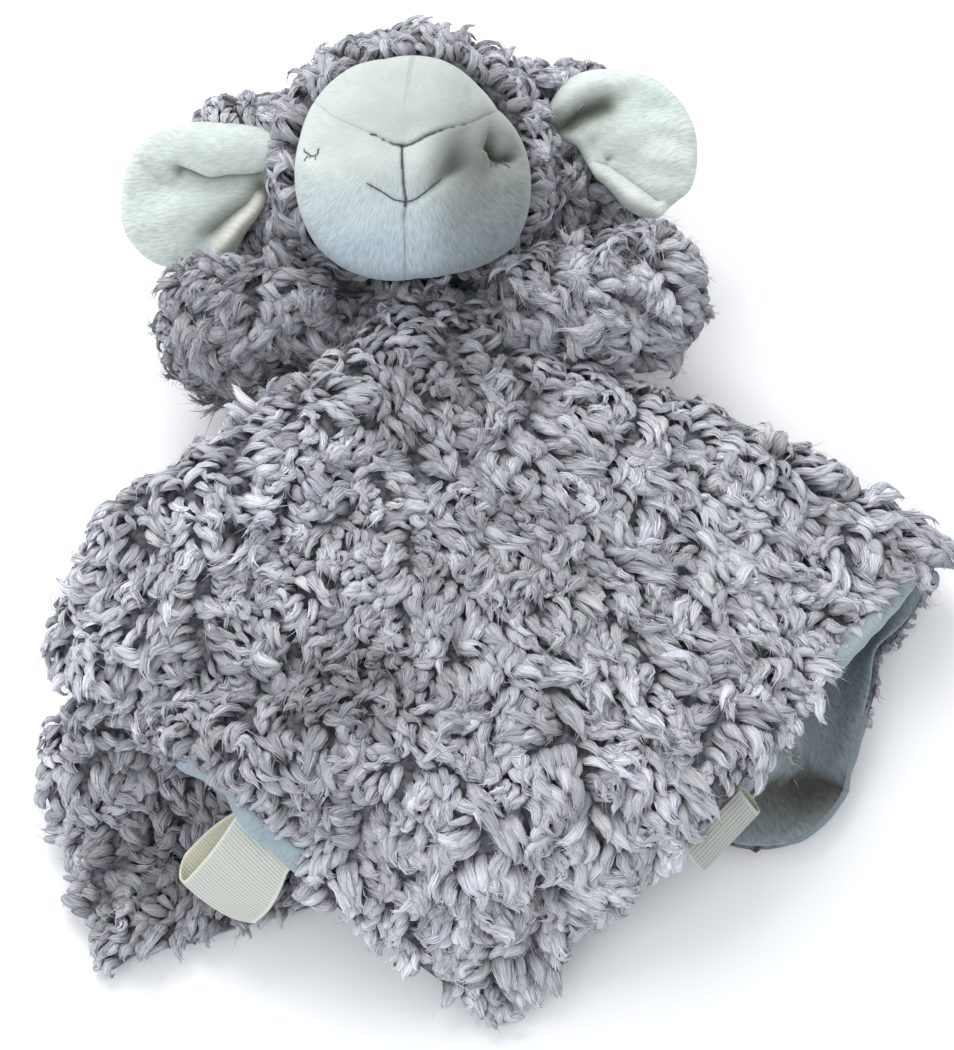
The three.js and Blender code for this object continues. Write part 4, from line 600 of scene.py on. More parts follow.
# ------------------------------------------------------------------ blanket
DRAPE = np.array([
    4, -152.6, 1.9, -5, -146.6, 6.5, -14, -140.7, 11.4, -22.8, -135.1, 16.8, -31.4, -130.5, 23.5, -40, -125.4, 29.6, -48.7, -118.6, 34, -57.3, -111.1, 36.6, -66, -104.1, 40.5, -71.1, -93.8, 39, -81, -88, 40.4, -91.6, -83.8, 42.5, -98.9, -76.4, 37, -105.8, -67.9, 32.5, -116.2, -66.6, 38.7, -123.5, -58.2, 35.5, -126.9, -48.3, 29.4, -117.1, -49, 23.4, -107.6, -43.9, 19.5, -106.3, -44.4, 7.7, -94.9, -39.1, 7.4, -86.3, -29.8, 10.4, -83, -18.9, 13.9, -77.7, -9.7, 21.3, -69.9, -5.3, 29.3, -58, -4, 31, -46.3, -3.5, 28.9, -37, -3.2, 21.4, -25.3, -2, 22.2, -13.4, -0.9, 22.5,
    12.4, -145.1, 5.3, 3.5, -138.6, 9.8, -5.4, -133.4, 15.7, -14, -128.8, 22.4, -22.5, -125.1, 29.8, -31.4, -119.3, 35.3, -40, -111.4, 37.8, -48.7, -103.9, 41, -57.5, -98.8, 47.2, -66.8, -91.8, 50.1, -76.2, -84.4, 51, -84.5, -75.6, 47.7, -89.8, -68.9, 38.8, -98.9, -61.1, 39.7, -109, -60.1, 46.3, -117.6, -52.1, 44.5, -123.4, -43.3, 39.5, -115.7, -39.4, 31.1, -118.8, -37.5, 19.7, -114.4, -34.8, 8, -102.5, -30.3, 7.5, -96, -24.9, 15.7, -89.5, -19.8, 23.6, -79.5, -17.5, 29.9, -68.5, -16.1, 34.5, -56.7, -15.6, 33.6, -45.7, -15.4, 28.7, -35.9, -15.1, 22.1, -24.1, -13.8, 21.5, -12.3, -12.7, 23,
    20.9, -137.6, 9.1, 12, -131.8, 14.6, 3.3, -127.1, 21.2, -5.4, -123.2, 28.6, -14, -119.2, 35.7, -22.8, -112.3, 39.9, -31.5, -104.6, 42.5, -40.4, -98.1, 47.3, -49.4, -91.6, 51.8, -58.7, -84.3, 54.6, -67.4, -76.5, 52.2, -74.2, -70.1, 44.3, -82.3, -61.2, 43.9, -92.3, -57.3, 49.1, -102.4, -52.2, 52.8, -109.5, -44.2, 48.8, -117.2, -35.7, 47.1, -118.4, -29.7, 37, -121.6, -27, 25.2, -114, -25.9, 16.2, -106.1, -36.8, 17.5, -96.1, -34.3, 22.9, -91.5, -28.3, 31.8, -79.4, -28.1, 34.7, -67.7, -27.8, 36.8, -55.9, -27.5, 33.5, -45.6, -27.2, 27.6, -34.9, -26.9, 21.8, -23, -25.6, 20.7, -11.1, -24.4, 21.3,
    29.4, -130.5, 13.5, 20.8, -125.2, 19.9, 12.2, -121, 27.1, 3.8, -118, 35.1, -5, -112.9, 41.4, -14, -105.3, 44.3, -22.9, -98.1, 47.7, -31.8, -90.9, 51.4, -40.7, -83.5, 54.2, -49.8, -75.8, 54.5, -57.8, -70.4, 47.5, -66.4, -62.5, 49, -75.8, -57.1, 53.6, -85.1, -50.2, 55.5, -94.4, -43.1, 57.1, -101.4, -35.2, 52.2, -110.4, -27.7, 52.4, -113.7, -20.9, 43.2, -115.6, -17.2, 31.1, -108, -25.3, 25.4, -108.7, -38, 28.9, -99.2, -43.5, 29.7, -90.3, -38.3, 37.6, -78.3, -39.4, 35.4, -67, -38.9, 32.1, -55.2, -39.5, 32.7, -43.7, -38.7, 29.6, -32.3, -37.8, 26.3, -21.5, -37.1, 21.2, -9.7, -36.2, 21.4,
    37.8, -123.3, 18.2, 29.2, -118.8, 25.4, 20.8, -114.9, 32.9, 12.2, -111.4, 40.6, 3.3, -105.2, 45.6, -5.7, -97.4, 47.3, -14.6, -89.8, 49.8, -23.5, -82.3, 52.1, -32.6, -74.7, 53.7, -41.6, -67.5, 51.7, -50.5, -61, 47.3, -58.8, -54.4, 52.7, -68.5, -47.4, 53, -77.8, -40.6, 53.9, -86.3, -34.4, 59.4, -94.5, -26.4, 56.5, -103.8, -19, 58.2, -108.2, -11.9, 49, -107.4, -12.5, 36.8, -106, -25.8, 36.6, -103.6, -36.4, 40.2, -98.7, -48, 41, -88.4, -51.1, 34.3, -78.5, -49.4, 28.5, -66.8, -48.8, 25.6, -55.2, -50.3, 27.8, -44.1, -49.2, 24, -32.4, -49.3, 23, -20.7, -49, 21, -8.8, -48.1, 21.1,
    46.3, -116.4, 23.4, 38, -112.4, 31.1, 29.6, -108.5, 38.6, 20.8, -103.6, 45.2, 11.7, -96.5, 48.2, 2.6, -88.6, 47.6, -6.5, -81, 49.2, -15.5, -73.4, 50.9, -24.7, -65.8, 51.4, -33.7, -59, 48.1, -43, -51.6, 47.1, -51.6, -44.8, 51.5, -61.2, -37.9, 51.2, -70.6, -30.9, 52.6, -78, -24.9, 59.6, -87.1, -17.9, 62.6, -96.1, -10, 60.3, -100.4, -5.2, 49.7, -97.9, -13.8, 41.3, -94.8, -23.9, 36.9, -92.2, -33.1, 43.8, -87.6, -43.8, 46.9, -81.8, -54.3, 43.5, -75.6, -59.8, 33.9, -67, -61.2, 25.7, -55.4, -60.8, 21.5, -43.6, -60.8, 20.9, -31.9, -61.1, 23.3, -19.9, -60.5, 23.5, -8.2, -60.1, 21.3,
    54.6, -109.7, 28.8, 46.4, -106.1, 36.7, 38, -101.8, 44, 28.8, -94.9, 47.9, 19.5, -87.4, 48, 10.4, -79.7, 46.6, 1.3, -72, 48.3, -7.8, -64.4, 49.3, -17, -56.9, 49, -26.2, -49.8, 46.7, -35.5, -42.4, 46.7, -44.4, -35.3, 50.1, -54.1, -28.4, 49.9, -63.3, -21.3, 51.9, -70.5, -15.6, 59.5, -79.5, -8.6, 62.6, -87.8, -1.7, 57.7, -89.6, -2.8, 45.8, -90.2, -8.1, 34.9, -84.3, -19.2, 36.1, -81.4, -28, 43.7, -76.7, -39.1, 45.4, -70.8, -49.8, 46.3, -66.5, -60.7, 41.8, -61.9, -68.5, 33.9, -54.1, -72.1, 25.3, -43.3, -72.7, 20, -31.2, -72.5, 20.4, -19.6, -72.4, 22.6, -7.8, -71.9, 21.3,
    63.3, -104.2, 35.2, 55.3, -99.8, 42.9, 46.3, -93.1, 47.2, 36.8, -85.6, 48.3, 27.5, -78.2, 47.7, 18.3, -70.5, 48.4, 9.1, -62.9, 48, -0.1, -55.3, 48.2, -9.3, -47.8, 48.2, -18.5, -40.4, 46.8, -27.9, -33.1, 46.8, -37.1, -25.9, 48.7, -46.6, -18.7, 48.8, -55.8, -11.7, 51.3, -63.2, -5.6, 58.3, -72.4, 1.5, 60.3, -81, 7, 54.2, -84.3, 5.7, 42.3, -80.8, -2.6, 33.8, -75.2, -13, 38.5, -70.9, -22.4, 44.1, -66, -33.5, 44.5, -61.3, -44.2, 41.8, -56.2, -55, 41.2, -51.8, -66.1, 40.2, -47.7, -76.2, 34.9, -41.5, -82.8, 26.9, -31, -84.7, 20.8, -19, -83.9, 20.4, -7.3, -83.7, 23,
    71.5, -96.4, 38.8, 63.2, -91.1, 45.7, 53.7, -83.7, 46.1, 44.2, -76.5, 45.8, 34.9, -69, 45.8, 25.9, -61.4, 47.6, 16.7, -53.7, 48.1, 7.4, -46.1, 48.8, -1.8, -38.6, 49.3, -11.1, -31.2, 47.5, -20.4, -23.8, 47.2, -29.8, -16.5, 47.9, -39.3, -9.2, 48.4, -48.4, -2.1, 50.7, -56.1, 4, 57.1, -65.5, 11.1, 58.9, -73.5, 15.7, 50.9, -75, 12.1, 39.2, -70.3, 2.1, 34.5, -65.2, -7, 41.1, -60, -17.3, 44.2, -55.4, -28.5, 42.5, -50.5, -39.3, 41.6, -45.6, -50.2, 40.2, -41.3, -61.1, 38.6, -36.9, -72.2, 38.4, -33.2, -83.3, 35.8, -27.8, -92.4, 29.8, -18.5, -95.8, 22.9, -6.7, -95.2, 20.2,
    79.7, -88.2, 40.7, 70.8, -81.3, 44.7, 61.2, -74.4, 43.7, 51.7, -67.2, 43.3, 42.4, -59.8, 43.5, 33.2, -52.2, 44.4, 24, -44.6, 45.4, 14.9, -36.8, 47.1, 5.7, -29.3, 47.7, -3.6, -21.8, 48.6, -12.9, -14.4, 47.9, -22.3, -7, 47.7, -31.7, 0.4, 48.3, -40.8, 7.6, 50.5, -48.7, 13.8, 56.9, -58.5, 20.6, 56.1, -65.4, 22.6, 46.6, -66.4, 18.1, 35.1, -60.7, 7.5, 32.7, -55, -2.2, 37.6, -50, -12.8, 39.1, -45.7, -23.8, 37.3, -41, -34.7, 36.3, -36.6, -45.7, 34.1, -32.2, -56.8, 32.5, -27.5, -67.8, 32.7, -22.4, -78, 36.5, -18.3, -89.2, 37.4, -13.5, -99.6, 33.7, -6, -105.7, 26.3,
    87.3, -79.1, 39.6, 78.2, -72.1, 42.9, 68.6, -65.3, 41.4, 59.1, -58.1, 40.8, 49.7, -50.6, 41.1, 40.5, -43.1, 41.9, 31.3, -35.4, 42.8, 22.1, -27.8, 44.1, 13, -20.2, 45.4, 3.8, -12.5, 47.4, -5.5, -5, 47.9, -15, 2.4, 47.9, -24.3, 9.8, 48.3, -33.5, 17.1, 50.4, -41.7, 23.6, 56, -51.5, 30, 53.4, -57.4, 30.4, 42.8, -56, 23.4, 32.9, -50.3, 12.9, 32.9, -44.6, 2.7, 35.2, -39.8, -8.3, 35.1, -35.6, -19.3, 33.2, -30.5, -30.1, 33.2, -25.8, -41.1, 32.4, -21.4, -52.1, 30.9, -16.7, -63.1, 31, -12.1, -74, 32.5, -7.4, -84.4, 36.3, -3.1, -95.3, 38.4, 1.2, -106.4, 36,
    95.2, -70.4, 40.2, 85.8, -63, 40.6, 76.2, -56.2, 38.9, 66.7, -48.9, 38.5, 57.3, -41.4, 38.9, 48, -33.8, 39.7, 38.7, -26.3, 40.6, 29.4, -18.5, 41.9, 20.3, -10.9, 43.2, 11, -3.2, 44.6, 1.8, 4.3, 45.9, -7.6, 11.9, 47.1, -16.9, 19.4, 48.1, -26.1, 26.9, 50, -34.5, 34.1, 54.3, -44.4, 39, 49.7, -49, 36.7, 38.9, -46.1, 28.5, 30.3, -40.6, 17.9, 29.5, -35.5, 7, 28.8, -30.5, -3.8, 29.1, -25.5, -14.6, 28.8, -20.5, -25.4, 28.7, -15.5, -36.4, 28.8, -10.6, -47.3, 29.1, -5.9, -58.4, 29.8, -1.3, -69.4, 31, 3.2, -80.5, 32.7, 7.6, -91.3, 34.9, 12.2, -102, 37.7,
    102.9, -61.5, 38, 93.3, -54.4, 37.2, 83.7, -47.3, 36.4, 74.2, -39.8, 36.5, 64.9, -32.4, 37.1, 55.5, -24.7, 38, 46.2, -17.1, 39.1, 36.9, -9.4, 40.4, 27.7, -1.7, 41.7, 18.3, 6, 43.1, 9.1, 13.7, 44.6, -0.4, 21.4, 46.1, -9.7, 28.9, 47.6, -19.1, 36.8, 49.1, -28.2, 44, 51.9, -37.8, 47.9, 45.7, -41, 44.1, 34.4, -35.5, 33.6, 29.1, -30, 23.1, 30.2, -25.1, 11.9, 31.8, -20.4, 1, 32.8, -15.7, -10, 33.8, -11, -21, 34.3, -6.3, -32, 34.9, -1.8, -43, 35.7, 2.9, -54, 36.5, 7.7, -64.8, 37.2, 12.8, -75.6, 37.7, 17.8, -86.3, 38.6, 22.7, -97.1, 39.4,
    110.6, -52.8, 35.9, 101, -45.6, 34.8, 91.5, -38.4, 34.5, 82, -30.8, 34.9, 72.7, -23.3, 35.8, 63.3, -15.6, 37.2, 54.1, -8.1, 38.9, 44.6, -0.2, 39.6, 35.4, 7.4, 40.8, 25.9, 15.3, 42.3, 16.6, 22.9, 44.1, 6.9, 30.8, 46, -2.5, 38.3, 47.8, -12.2, 46.7, 49.6, -21.1, 55.2, 49.1, -31.4, 57.7, 41.7, -32.1, 48.9, 33.1, -27.3, 37.1, 36.2, -22.5, 26.9, 38.7, -17.2, 15.9, 39.8, -12.1, 5.1, 40.3, -7, -5.9, 40.6, -2, -16.7, 40.8, 3, -27.6, 40.9, 7.9, -38.5, 40.9, 12.9, -49.2, 40.8, 18, -60, 40.7, 23.1, -70.6, 40.7, 28.3, -81.3, 40.9, 33.4, -92, 40.8,
    118.3, -44.1, 33.2, 108.6, -36.8, 32.5, 99.2, -29.4, 32.7, 89.6, -21.8, 33.7, 80.4, -14.2, 35, 70.9, -6.5, 36.4, 61.7, 1, 37.6, 52.3, 8.8, 38.8, 43.1, 16.5, 40.2, 33.6, 24.3, 42.2, 24.5, 31.7, 44.4, 14.6, 39.7, 46.5, 5.1, 47.3, 46.7, -6.2, 55, 45.7, -16, 67, 44.3, -24.4, 67, 35.4, -21.7, 53, 35.7, -16.3, 41.8, 37.4, -11.2, 31.4, 38, -6.3, 20.6, 38.2, -1.2, 9.7, 38.2, 3.7, -1.2, 37.9, 8.5, -12.1, 37.4, 13.3, -23, 37, 18.1, -33.9, 36.5, 22.8, -44.7, 35.9, 27.6, -55.5, 35.3, 32.5, -66.1, 34.8, 37.3, -77, 34.3, 41.5, -87.6, 33.4,
    125.7, -35.7, 29.7, 116.3, -27.9, 30.4, 107, -20.5, 31.9, 97.5, -12.8, 33.6, 88.3, -5.2, 35, 78.9, 2.5, 36.3, 69.6, 10, 37.2, 60.3, 17.8, 38.1, 51, 25.4, 39.4, 41.6, 33.2, 40, 31.9, 40.3, 40.7, 21.4, 46.7, 39.5, 10.2, 50.6, 36.7, -0.5, 55.3, 34.3, -7.6, 67, 36.3, -16, 67, 27.4, -17.1, 54.1, 26, -10, 43.8, 27.3, -5.1, 33.5, 27.6, -0.6, 22.6, 27.6, 4, 11.7, 27.4, 8.4, 0.7, 26.9, 12.7, -10.3, 26.3, 17, -21.3, 25.7, 21.3, -32.3, 25, 25.5, -43.2, 24.2, 29.9, -54.2, 23.5, 34.1, -65, 23, 38.6, -75.9, 22.4, 42.8, -86.6, 21.6,
    133.3, -26.8, 30.4, 124.1, -19.3, 32.8, 114.8, -11.8, 34, 105.3, -4, 35.1, 96.1, 3.7, 36.1, 86.7, 11.5, 36.9, 77.3, 19, 36.6, 67.8, 26.6, 36, 58.3, 33.9, 35.2, 48.2, 40.9, 33.6, 37.3, 45.8, 31.5, 26, 50, 29.1, 15.1, 54.2, 26.5, 4.9, 58.9, 24.3, -5.1, 64.2, 21.9, -16.1, 65.3, 16, -16.4, 52.4, 14.9, -12.8, 42, 15.4, -9, 31.2, 16.4, -5.1, 20.8, 16.5, -0.6, 9.8, 16.4, 3.4, -1, 16.1, 7.3, -12.2, 15.7, 11.1, -23.3, 15.4, 15, -34.5, 14.9, 18.9, -45.6, 14.5, 22.8, -56.8, 14.2, 26.8, -67.9, 13.9, 30.7, -79, 14.1, 34.9, -90.1, 13.5,
    141.2, -17.9, 31.6, 132, -10.3, 32.1, 122.6, -2.9, 32.2, 113, 4.7, 32.3, 103.7, 12.6, 32.6, 93.7, 19.9, 31.4, 83.5, 25.9, 29.2, 73.1, 32.4, 26.6, 62, 36.5, 24.1, 50.4, 40.2, 21.7, 38.9, 43, 20, 27.2, 45.8, 18, 15.7, 48.7, 16, 3.9, 51.4, 14.7, -6.6, 54.7, 11.5, -18.7, 57, 6.5, -28, 51.7, 13.7, -23.9, 38.3, 13.9, -20.5, 27.9, 13.5, -16.1, 16.8, 13.5, -11.7, 5.8, 14.1, -7.6, -5.2, 13.8, -3.7, -16.4, 13.5, 0.1, -27.5, 13.8, 3.9, -38.8, 13.9, 7.8, -49.9, 13.7, 11.7, -61.1, 13.8, 15.7, -72.3, 13.9, 19.7, -83.4, 14, 23.8, -94.6, 14.1,
    146.5, -11.6, 22.7, 136.7, -5.1, 22.4, 126.9, 1.8, 22.1, 117.1, 8.6, 21.8, 107.4, 15.6, 21.5, 96.4, 21.2, 19.7, 84.9, 24.2, 17.4, 73.1, 27, 15.9, 61.4, 29.4, 14.5, 49.4, 31.4, 13.8, 37.6, 33.5, 12.9, 25.7, 35.7, 12, 14, 37.9, 11.3, 2.1, 40.3, 10.4, -9.3, 43.3, 8.2, -21.2, 44.5, 6.5, -34.1, 44, 8.4, -34.2, 36.3, 19.7, -29.7, 24.8, 20.5, -26.1, 13.1, 18.7, -22.6, 2, 16.5, -18.8, -9.1, 14.1, -14.9, -20.3, 14.6, -11.1, -31.6, 13.9, -7.2, -42.9, 14.1, -3.3, -54.1, 13.8, 0.6, -65.3, 14.6, 4.6, -76.5, 13.7, 8.6, -87.7, 14.6, 12.8, -98.8, 14.7,
    145.9, -15.8, 11.2, 136.2, -8.7, 10.9, 126, -2.5, 10.9, 115.8, 3.4, 10.9, 105.3, 8.9, 11.4, 94.3, 12.3, 11.6, 82.7, 14.8, 10.2, 71, 16.3, 11.1, 59.3, 18.2, 10.7, 47.5, 20.3, 9.8, 35.8, 22.3, 9.2, 23.9, 24.4, 8.7, 12.1, 26.5, 8.4, 0.2, 28.7, 8, -11.5, 30.8, 7, -23.4, 32, 6.5, -35.6, 32.8, 6.5, -43.7, 30.5, 16, -40.4, 20.3, 22.4, -37.1, 9.6, 16.5, -33.6, -1.4, 13.5, -29.8, -13.1, 14.5, -25.9, -24.3, 13.7, -22.1, -35.8, 13.8, -18.3, -47.1, 13.8, -14.4, -58.4, 13.8, -10.4, -69.6, 13.8, -6.5, -80.9, 14.8, -2.4, -91.9, 13.1, 1.8, -103, 12.4,
    140.2, -25.7, 7.6, 130.8, -18.5, 6.5, 120.7, -12.3, 6.5, 110.6, -6.9, 7.2, 100.8, -2.4, 11.6, 90.3, 1.1, 14, 80.6, 3.2, 7.5, 69, 4.7, 9.3, 57.4, 6.8, 8, 45.6, 8.8, 7.5, 33.9, 10.8, 7.2, 22, 12.8, 7, 10.2, 14.8, 7, -1.6, 16.8, 7, -13.3, 18.9, 6.5, -25.1, 20.2, 6.5, -36.8, 20.9, 6.5, -48.9, 21.4, 9.9, -51.3, 15.7, 20.9, -46.3, 4.2, 22.3, -44.7, -5.5, 15, -40.8, -17.1, 13.3, -37, -28.4, 14, -33.3, -39.9, 14, -29.4, -51.2, 13.9, -25.5, -62.5, 14.2, -21.5, -73.8, 14, -17.5, -85.1, 13.6, -13.4, -96.3, 13.2, -9.2, -107.3, 11.4,
    133.4, -34.2, 13.1, 125.4, -28.7, 6.5, 115.3, -22.9, 6.5, 105.3, -17.8, 9.2, 98.3, -12.7, 17.5, 86.7, -10.1, 16.6, 78.9, -9, 7.7, 67.2, -7, 7, 55.5, -5, 6.6, 43.8, -3, 6.5, 32, -1, 6.5, 20.2, 0.9, 6.5, 8.4, 2.9, 6.5, -3.4, 4.8, 6.5, -15.2, 6.6, 6.5, -27.1, 8, 6.5, -38.9, 9.1, 6.5, -51.2, 10.1, 6.5, -59.4, 8.6, 15.8, -56.7, -0.3, 24.4, -52.5, -11.5, 22, -51.6, -21.5, 15.1, -47.9, -32.9, 13.1, -44.3, -44.2, 14.9, -40.5, -55.5, 14.2, -36.5, -66.9, 13.3, -32.6, -78.2, 13.2, -28.6, -89.6, 13.7, -24.5, -100.8, 12.5, -20.2, -112.1, 11.5,
    125.6, -42.6, 16.7, 120.3, -39.4, 6.5, 109.9, -33.6, 6.5, 102.6, -28.5, 13.6, 95.3, -23.5, 21.7, 84, -21.8, 17.7, 77, -20.7, 8.1, 65.4, -18.8, 6.5, 53.7, -16.8, 6.5, 42, -14.8, 6.5, 30.2, -12.8, 6.5, 18.4, -10.8, 6.5, 6.7, -8.9, 6.5, -5.1, -7, 6.5, -16.9, -5.3, 6.5, -28.6, -3.9, 6.5, -40.5, -2.8, 6.5, -52.4, -1.7, 6.5, -63.9, -1.2, 10.5, -66.9, -5.9, 21.6, -62.3, -16.3, 26.6, -60.2, -27.1, 21.1, -59.1, -36.9, 14.4, -55.4, -48.4, 13.6, -51.6, -59.7, 14.1, -47.7, -71.1, 13.8, -43.8, -82.3, 14.2, -39.8, -93.7, 13.8, -35.6, -104.7, 11.3, -31.5, -115.9, 10.1,
    123.3, -54.2, 15.4, 116.2, -50, 6.5, 105.7, -44.5, 7.9, 101.8, -39.6, 18.4, 92.7, -35, 24.6, 83.5, -33.7, 16.6, 75.3, -32.7, 8.5, 63.7, -30.7, 6.5, 52, -28.7, 6.5, 40.3, -26.6, 6.5, 28.5, -24.7, 6.5, 16.8, -22.7, 6.5, 5, -20.8, 6.5, -6.8, -19, 6.5, -18.5, -17.3, 6.5, -30.4, -15.9, 6.5, -42.2, -14.5, 6.5, -54.1, -13.4, 6.5, -66.1, -12.4, 7, -73.4, -13.9, 16.7, -73.2, -21.2, 26.7, -69.3, -33, 25.8, -69.6, -41.7, 17.5, -66.5, -52.7, 13.7, -62.8, -63.9, 14.1, -59, -75.2, 14.7, -55.1, -86.3, 13.7, -51, -97, 10.5, -46.8, -107.9, 8.2, -43.1, -119.3, 8.5,
    120, -65.5, 14, 111.5, -60.9, 6.7, 101.5, -55.2, 10.7, 98.8, -50.7, 21.6, 89, -46.2, 26.4, 78.7, -43.9, 20.5, 73.2, -44.4, 9.9, 62, -42.6, 6.7, 50.3, -40.4, 6.5, 38.5, -38.4, 6.5, 26.8, -36.4, 6.5, 15.1, -34.5, 6.5, 3.3, -32.6, 6.5, -8.4, -30.8, 6.5, -20.2, -29.1, 6.5, -32, -27.7, 6.5, -43.8, -26.3, 6.5, -55.8, -25, 6.5, -67.3, -24.2, 6.5, -77.7, -23.8, 12.3, -83.3, -26.3, 23.6, -80.1, -37.4, 28.4, -79.4, -47.4, 20.9, -77.8, -56.7, 14.1, -73.9, -68.1, 14.7, -70.2, -79.2, 15.4, -66.4, -90, 12.1, -62.1, -100.1, 7.5, -58, -111.1, 5.5, -54.6, -122.3, 7.4,
    116.4, -77.1, 12.5, 107.3, -71.1, 6.9, 98.7, -65.8, 13.8, 95.6, -61.8, 24.7, 85.5, -57, 28.8, 75.4, -54.8, 22.7, 71.2, -56.4, 11.7, 60.4, -54.5, 7.2, 48.7, -52.3, 6.5, 36.9, -50.3, 6.5, 25.2, -48.3, 6.5, 13.4, -46.4, 6.5, 1.6, -44.5, 6.5, -10.1, -42.8, 6.5, -21.8, -41.1, 6.5, -33.5, -39.6, 6.5, -45.3, -38.2, 6.5, -56.8, -36.9, 6.5, -68.3, -35.7, 6.5, -77.8, -35.5, 12.7, -88.8, -35, 17.8, -91, -42.3, 27.6, -87.9, -54.3, 27.1, -88.3, -61.8, 17.9, -85.2, -72.2, 13, -81.8, -83.3, 15.2, -77.9, -92.9, 9.3, -73.7, -103, 4.8, -69.7, -114.1, 3.7, -66.1, -125.2, 6.3,
    111.5, -88.1, 10.8, 102, -81.5, 7.8, 97, -76.8, 17.9, 91.9, -72.8, 27.6, 81.7, -67.9, 31.7, 72, -65.8, 25, 69, -68.1, 13.8, 58.6, -66.1, 7.6, 47, -64.1, 7.3, 35.1, -62, 6.5, 23.4, -60.1, 6.5, 11.7, -58.2, 6.5, -0.1, -56.4, 6.5, -11.8, -54.6, 6.5, -23.5, -52.9, 6.5, -35.1, -51.5, 6.5, -46.9, -50.1, 6.5, -58.3, -48.8, 6.5, -70, -47.7, 6.5, -81.3, -45.2, 6.5, -91.8, -44.3, 11.6, -98, -48.3, 19.8, -99.7, -57.2, 28, -97.7, -67.9, 22.8, -96.7, -75.7, 13.9, -93.1, -87, 13.8, -89.2, -95.8, 6.9, -85.1, -106.2, 2.9, -81.1, -117.3, 2.6, -77.5, -128.3, 5.5,
    103, -97.5, 10.4, 94.6, -89.5, 7.7, 87.3, -82.4, 13.9, 85.7, -83.2, 25.9, 77.5, -78.8, 33.4, 66.6, -74.5, 30.1, 61.1, -75.9, 19.8, 56.4, -78.1, 9.2, 44.9, -75.7, 6.5, 33.3, -73.8, 6.5, 21.6, -71.8, 6.5, 9.9, -70, 6.5, -1.9, -68.2, 6.5, -13.7, -66.4, 6.5, -25.4, -64.8, 6.5, -37.2, -63.3, 6.5, -49, -61.9, 6.5, -60.7, -60.6, 6.5, -72.4, -59, 6.5, -84.1, -56.8, 6.5, -95.5, -53.9, 6.5, -105.9, -51.9, 13.1, -110.6, -58.3, 22.4, -110, -70.5, 22.9, -108.2, -79.4, 15.4, -104.9, -90.1, 11.8, -101.1, -98.8, 4.8, -97.1, -109.4, 1.7, -92.8, -120.5, 2, -88.6, -131.6, 3.5,
    94.2, -105.2, 8, 85.6, -96.9, 6.5, 78.1, -88.6, 10.8, 77.9, -91.4, 22.5, 72.7, -89.7, 33.1, 61.6, -84.8, 33.7, 53.7, -83.7, 24.8, 52.8, -88.7, 13.8, 43.3, -87.5, 6.5, 31.5, -85.6, 6.5, 19.8, -83.6, 6.5, 8.1, -81.8, 6.5, -3.7, -79.9, 6.5, -15.5, -78.1, 6.5, -27.3, -76.5, 6.5, -39.2, -75.1, 6.5, -51.1, -73.7, 6.5, -63, -72.2, 6.5, -74.9, -70.6, 6.5, -86.8, -68.2, 6.5, -98.3, -65.4, 6.5, -109.7, -61, 6.5, -119.4, -60.7, 14.7, -121.7, -71.8, 20, -119.8, -83, 15.7, -116.4, -92.3, 9.1, -112.6, -102.3, 3.8, -108.5, -113.1, 1.7, -104.1, -123.9, 3.8, -99.7, -134.3, 7.1,
    84.4, -110.9, 11.7, 76.3, -104.2, 6.5, 68.2, -95, 7.9, 66.8, -93.5, 19.3, 66.8, -99.3, 30.2, 56.4, -95.2, 35.9, 46.4, -92.4, 29.7, 45.4, -97.2, 18.3, 41.7, -99.3, 6.9, 29.7, -97.4, 6.5, 18.1, -95.4, 6.5, 6.4, -93.6, 6.5, -5.4, -91.7, 6.5, -17.3, -89.9, 6.5, -29.1, -88.3, 6.5, -41.1, -86.8, 6.5, -52.9, -85.4, 6.5, -65.2, -83.9, 6.5, -77.1, -82.1, 6.5, -89.6, -79.7, 6.5, -101.3, -76.6, 6.5, -113, -71.8, 6.5, -124.5, -66.3, 6.5, -132.2, -72.7, 13.3, -131.8, -84.9, 12.3, -127.9, -95, 6.7, -124.2, -106, 3.9, -120, -117.2, 2.9, -115.4, -128.2, 3.3, -108.8, -138.4, 1.7,
], float).reshape(30, 30, 3)
SIDE = 345.0
CELL = SIDE / 29

fine = refine(DRAPE, 4)
fine_n = grid_normals(fine)


def line_distance(pts, line):
    """distance from points (..., 2) to a polyline"""
    best = np.full(pts.shape[:-1], 1e9)
    line = np.asarray(line, float)
    for A, B in zip(line[:-1], line[1:]):
        t = np.clip(((pts - A) @ (B - A)) / ((B - A) @ (B - A)), 0, 1)
        best = np.minimum(best, np.linalg.norm(pts - A - t[..., None] * (B - A), axis=-1))
    return best


# the turned-under corner: a hollow below a fold of the velour side
HOLLOW = [(78.0, -89.0), (88.0, -86.5), (97.0, -84.5)]
FOLD = np.array([(84.0, -70.5), (92.0, -72.5), (97.4, -74.4), (102.0, -78.0), (107.0, -81.0), (113.0, -83.0)])


def pocket(p, n):
    """hollow, raised panel, fold-edge step and under-fold amounts in the turned-under corner; the step and under-fold
    amounts only set painted shade
    """
    xy = p[..., :2]
    zone = smooth01(-n[..., 2], 0.2, 0.7) * smooth01(p[..., 0], 62, 76) * (p[..., 2] < 26)
    hollow = np.exp(-(line_distance(xy, HOLLOW) / 7.5) ** 2)
    side = p[..., 1] - np.interp(p[..., 0], FOLD[:, 0], FOLD[:, 1])
    panel = smooth01(side, -1.5, 1.5) * np.exp(-np.maximum(side, 0) / 18.0) * smooth01(p[..., 0], 84, 92)
    step = np.exp(-(line_distance(xy, FOLD) / 2.0) ** 2) * (side < 0.6)
    deep = np.exp(-(line_distance(xy, FOLD) / 15.0) ** 2) * (1 - smooth01(side, -1.5, 0.8)) * smooth01(p[..., 0], 74, 86)
    return zone * hollow, zone * panel, zone * step, zone * deep


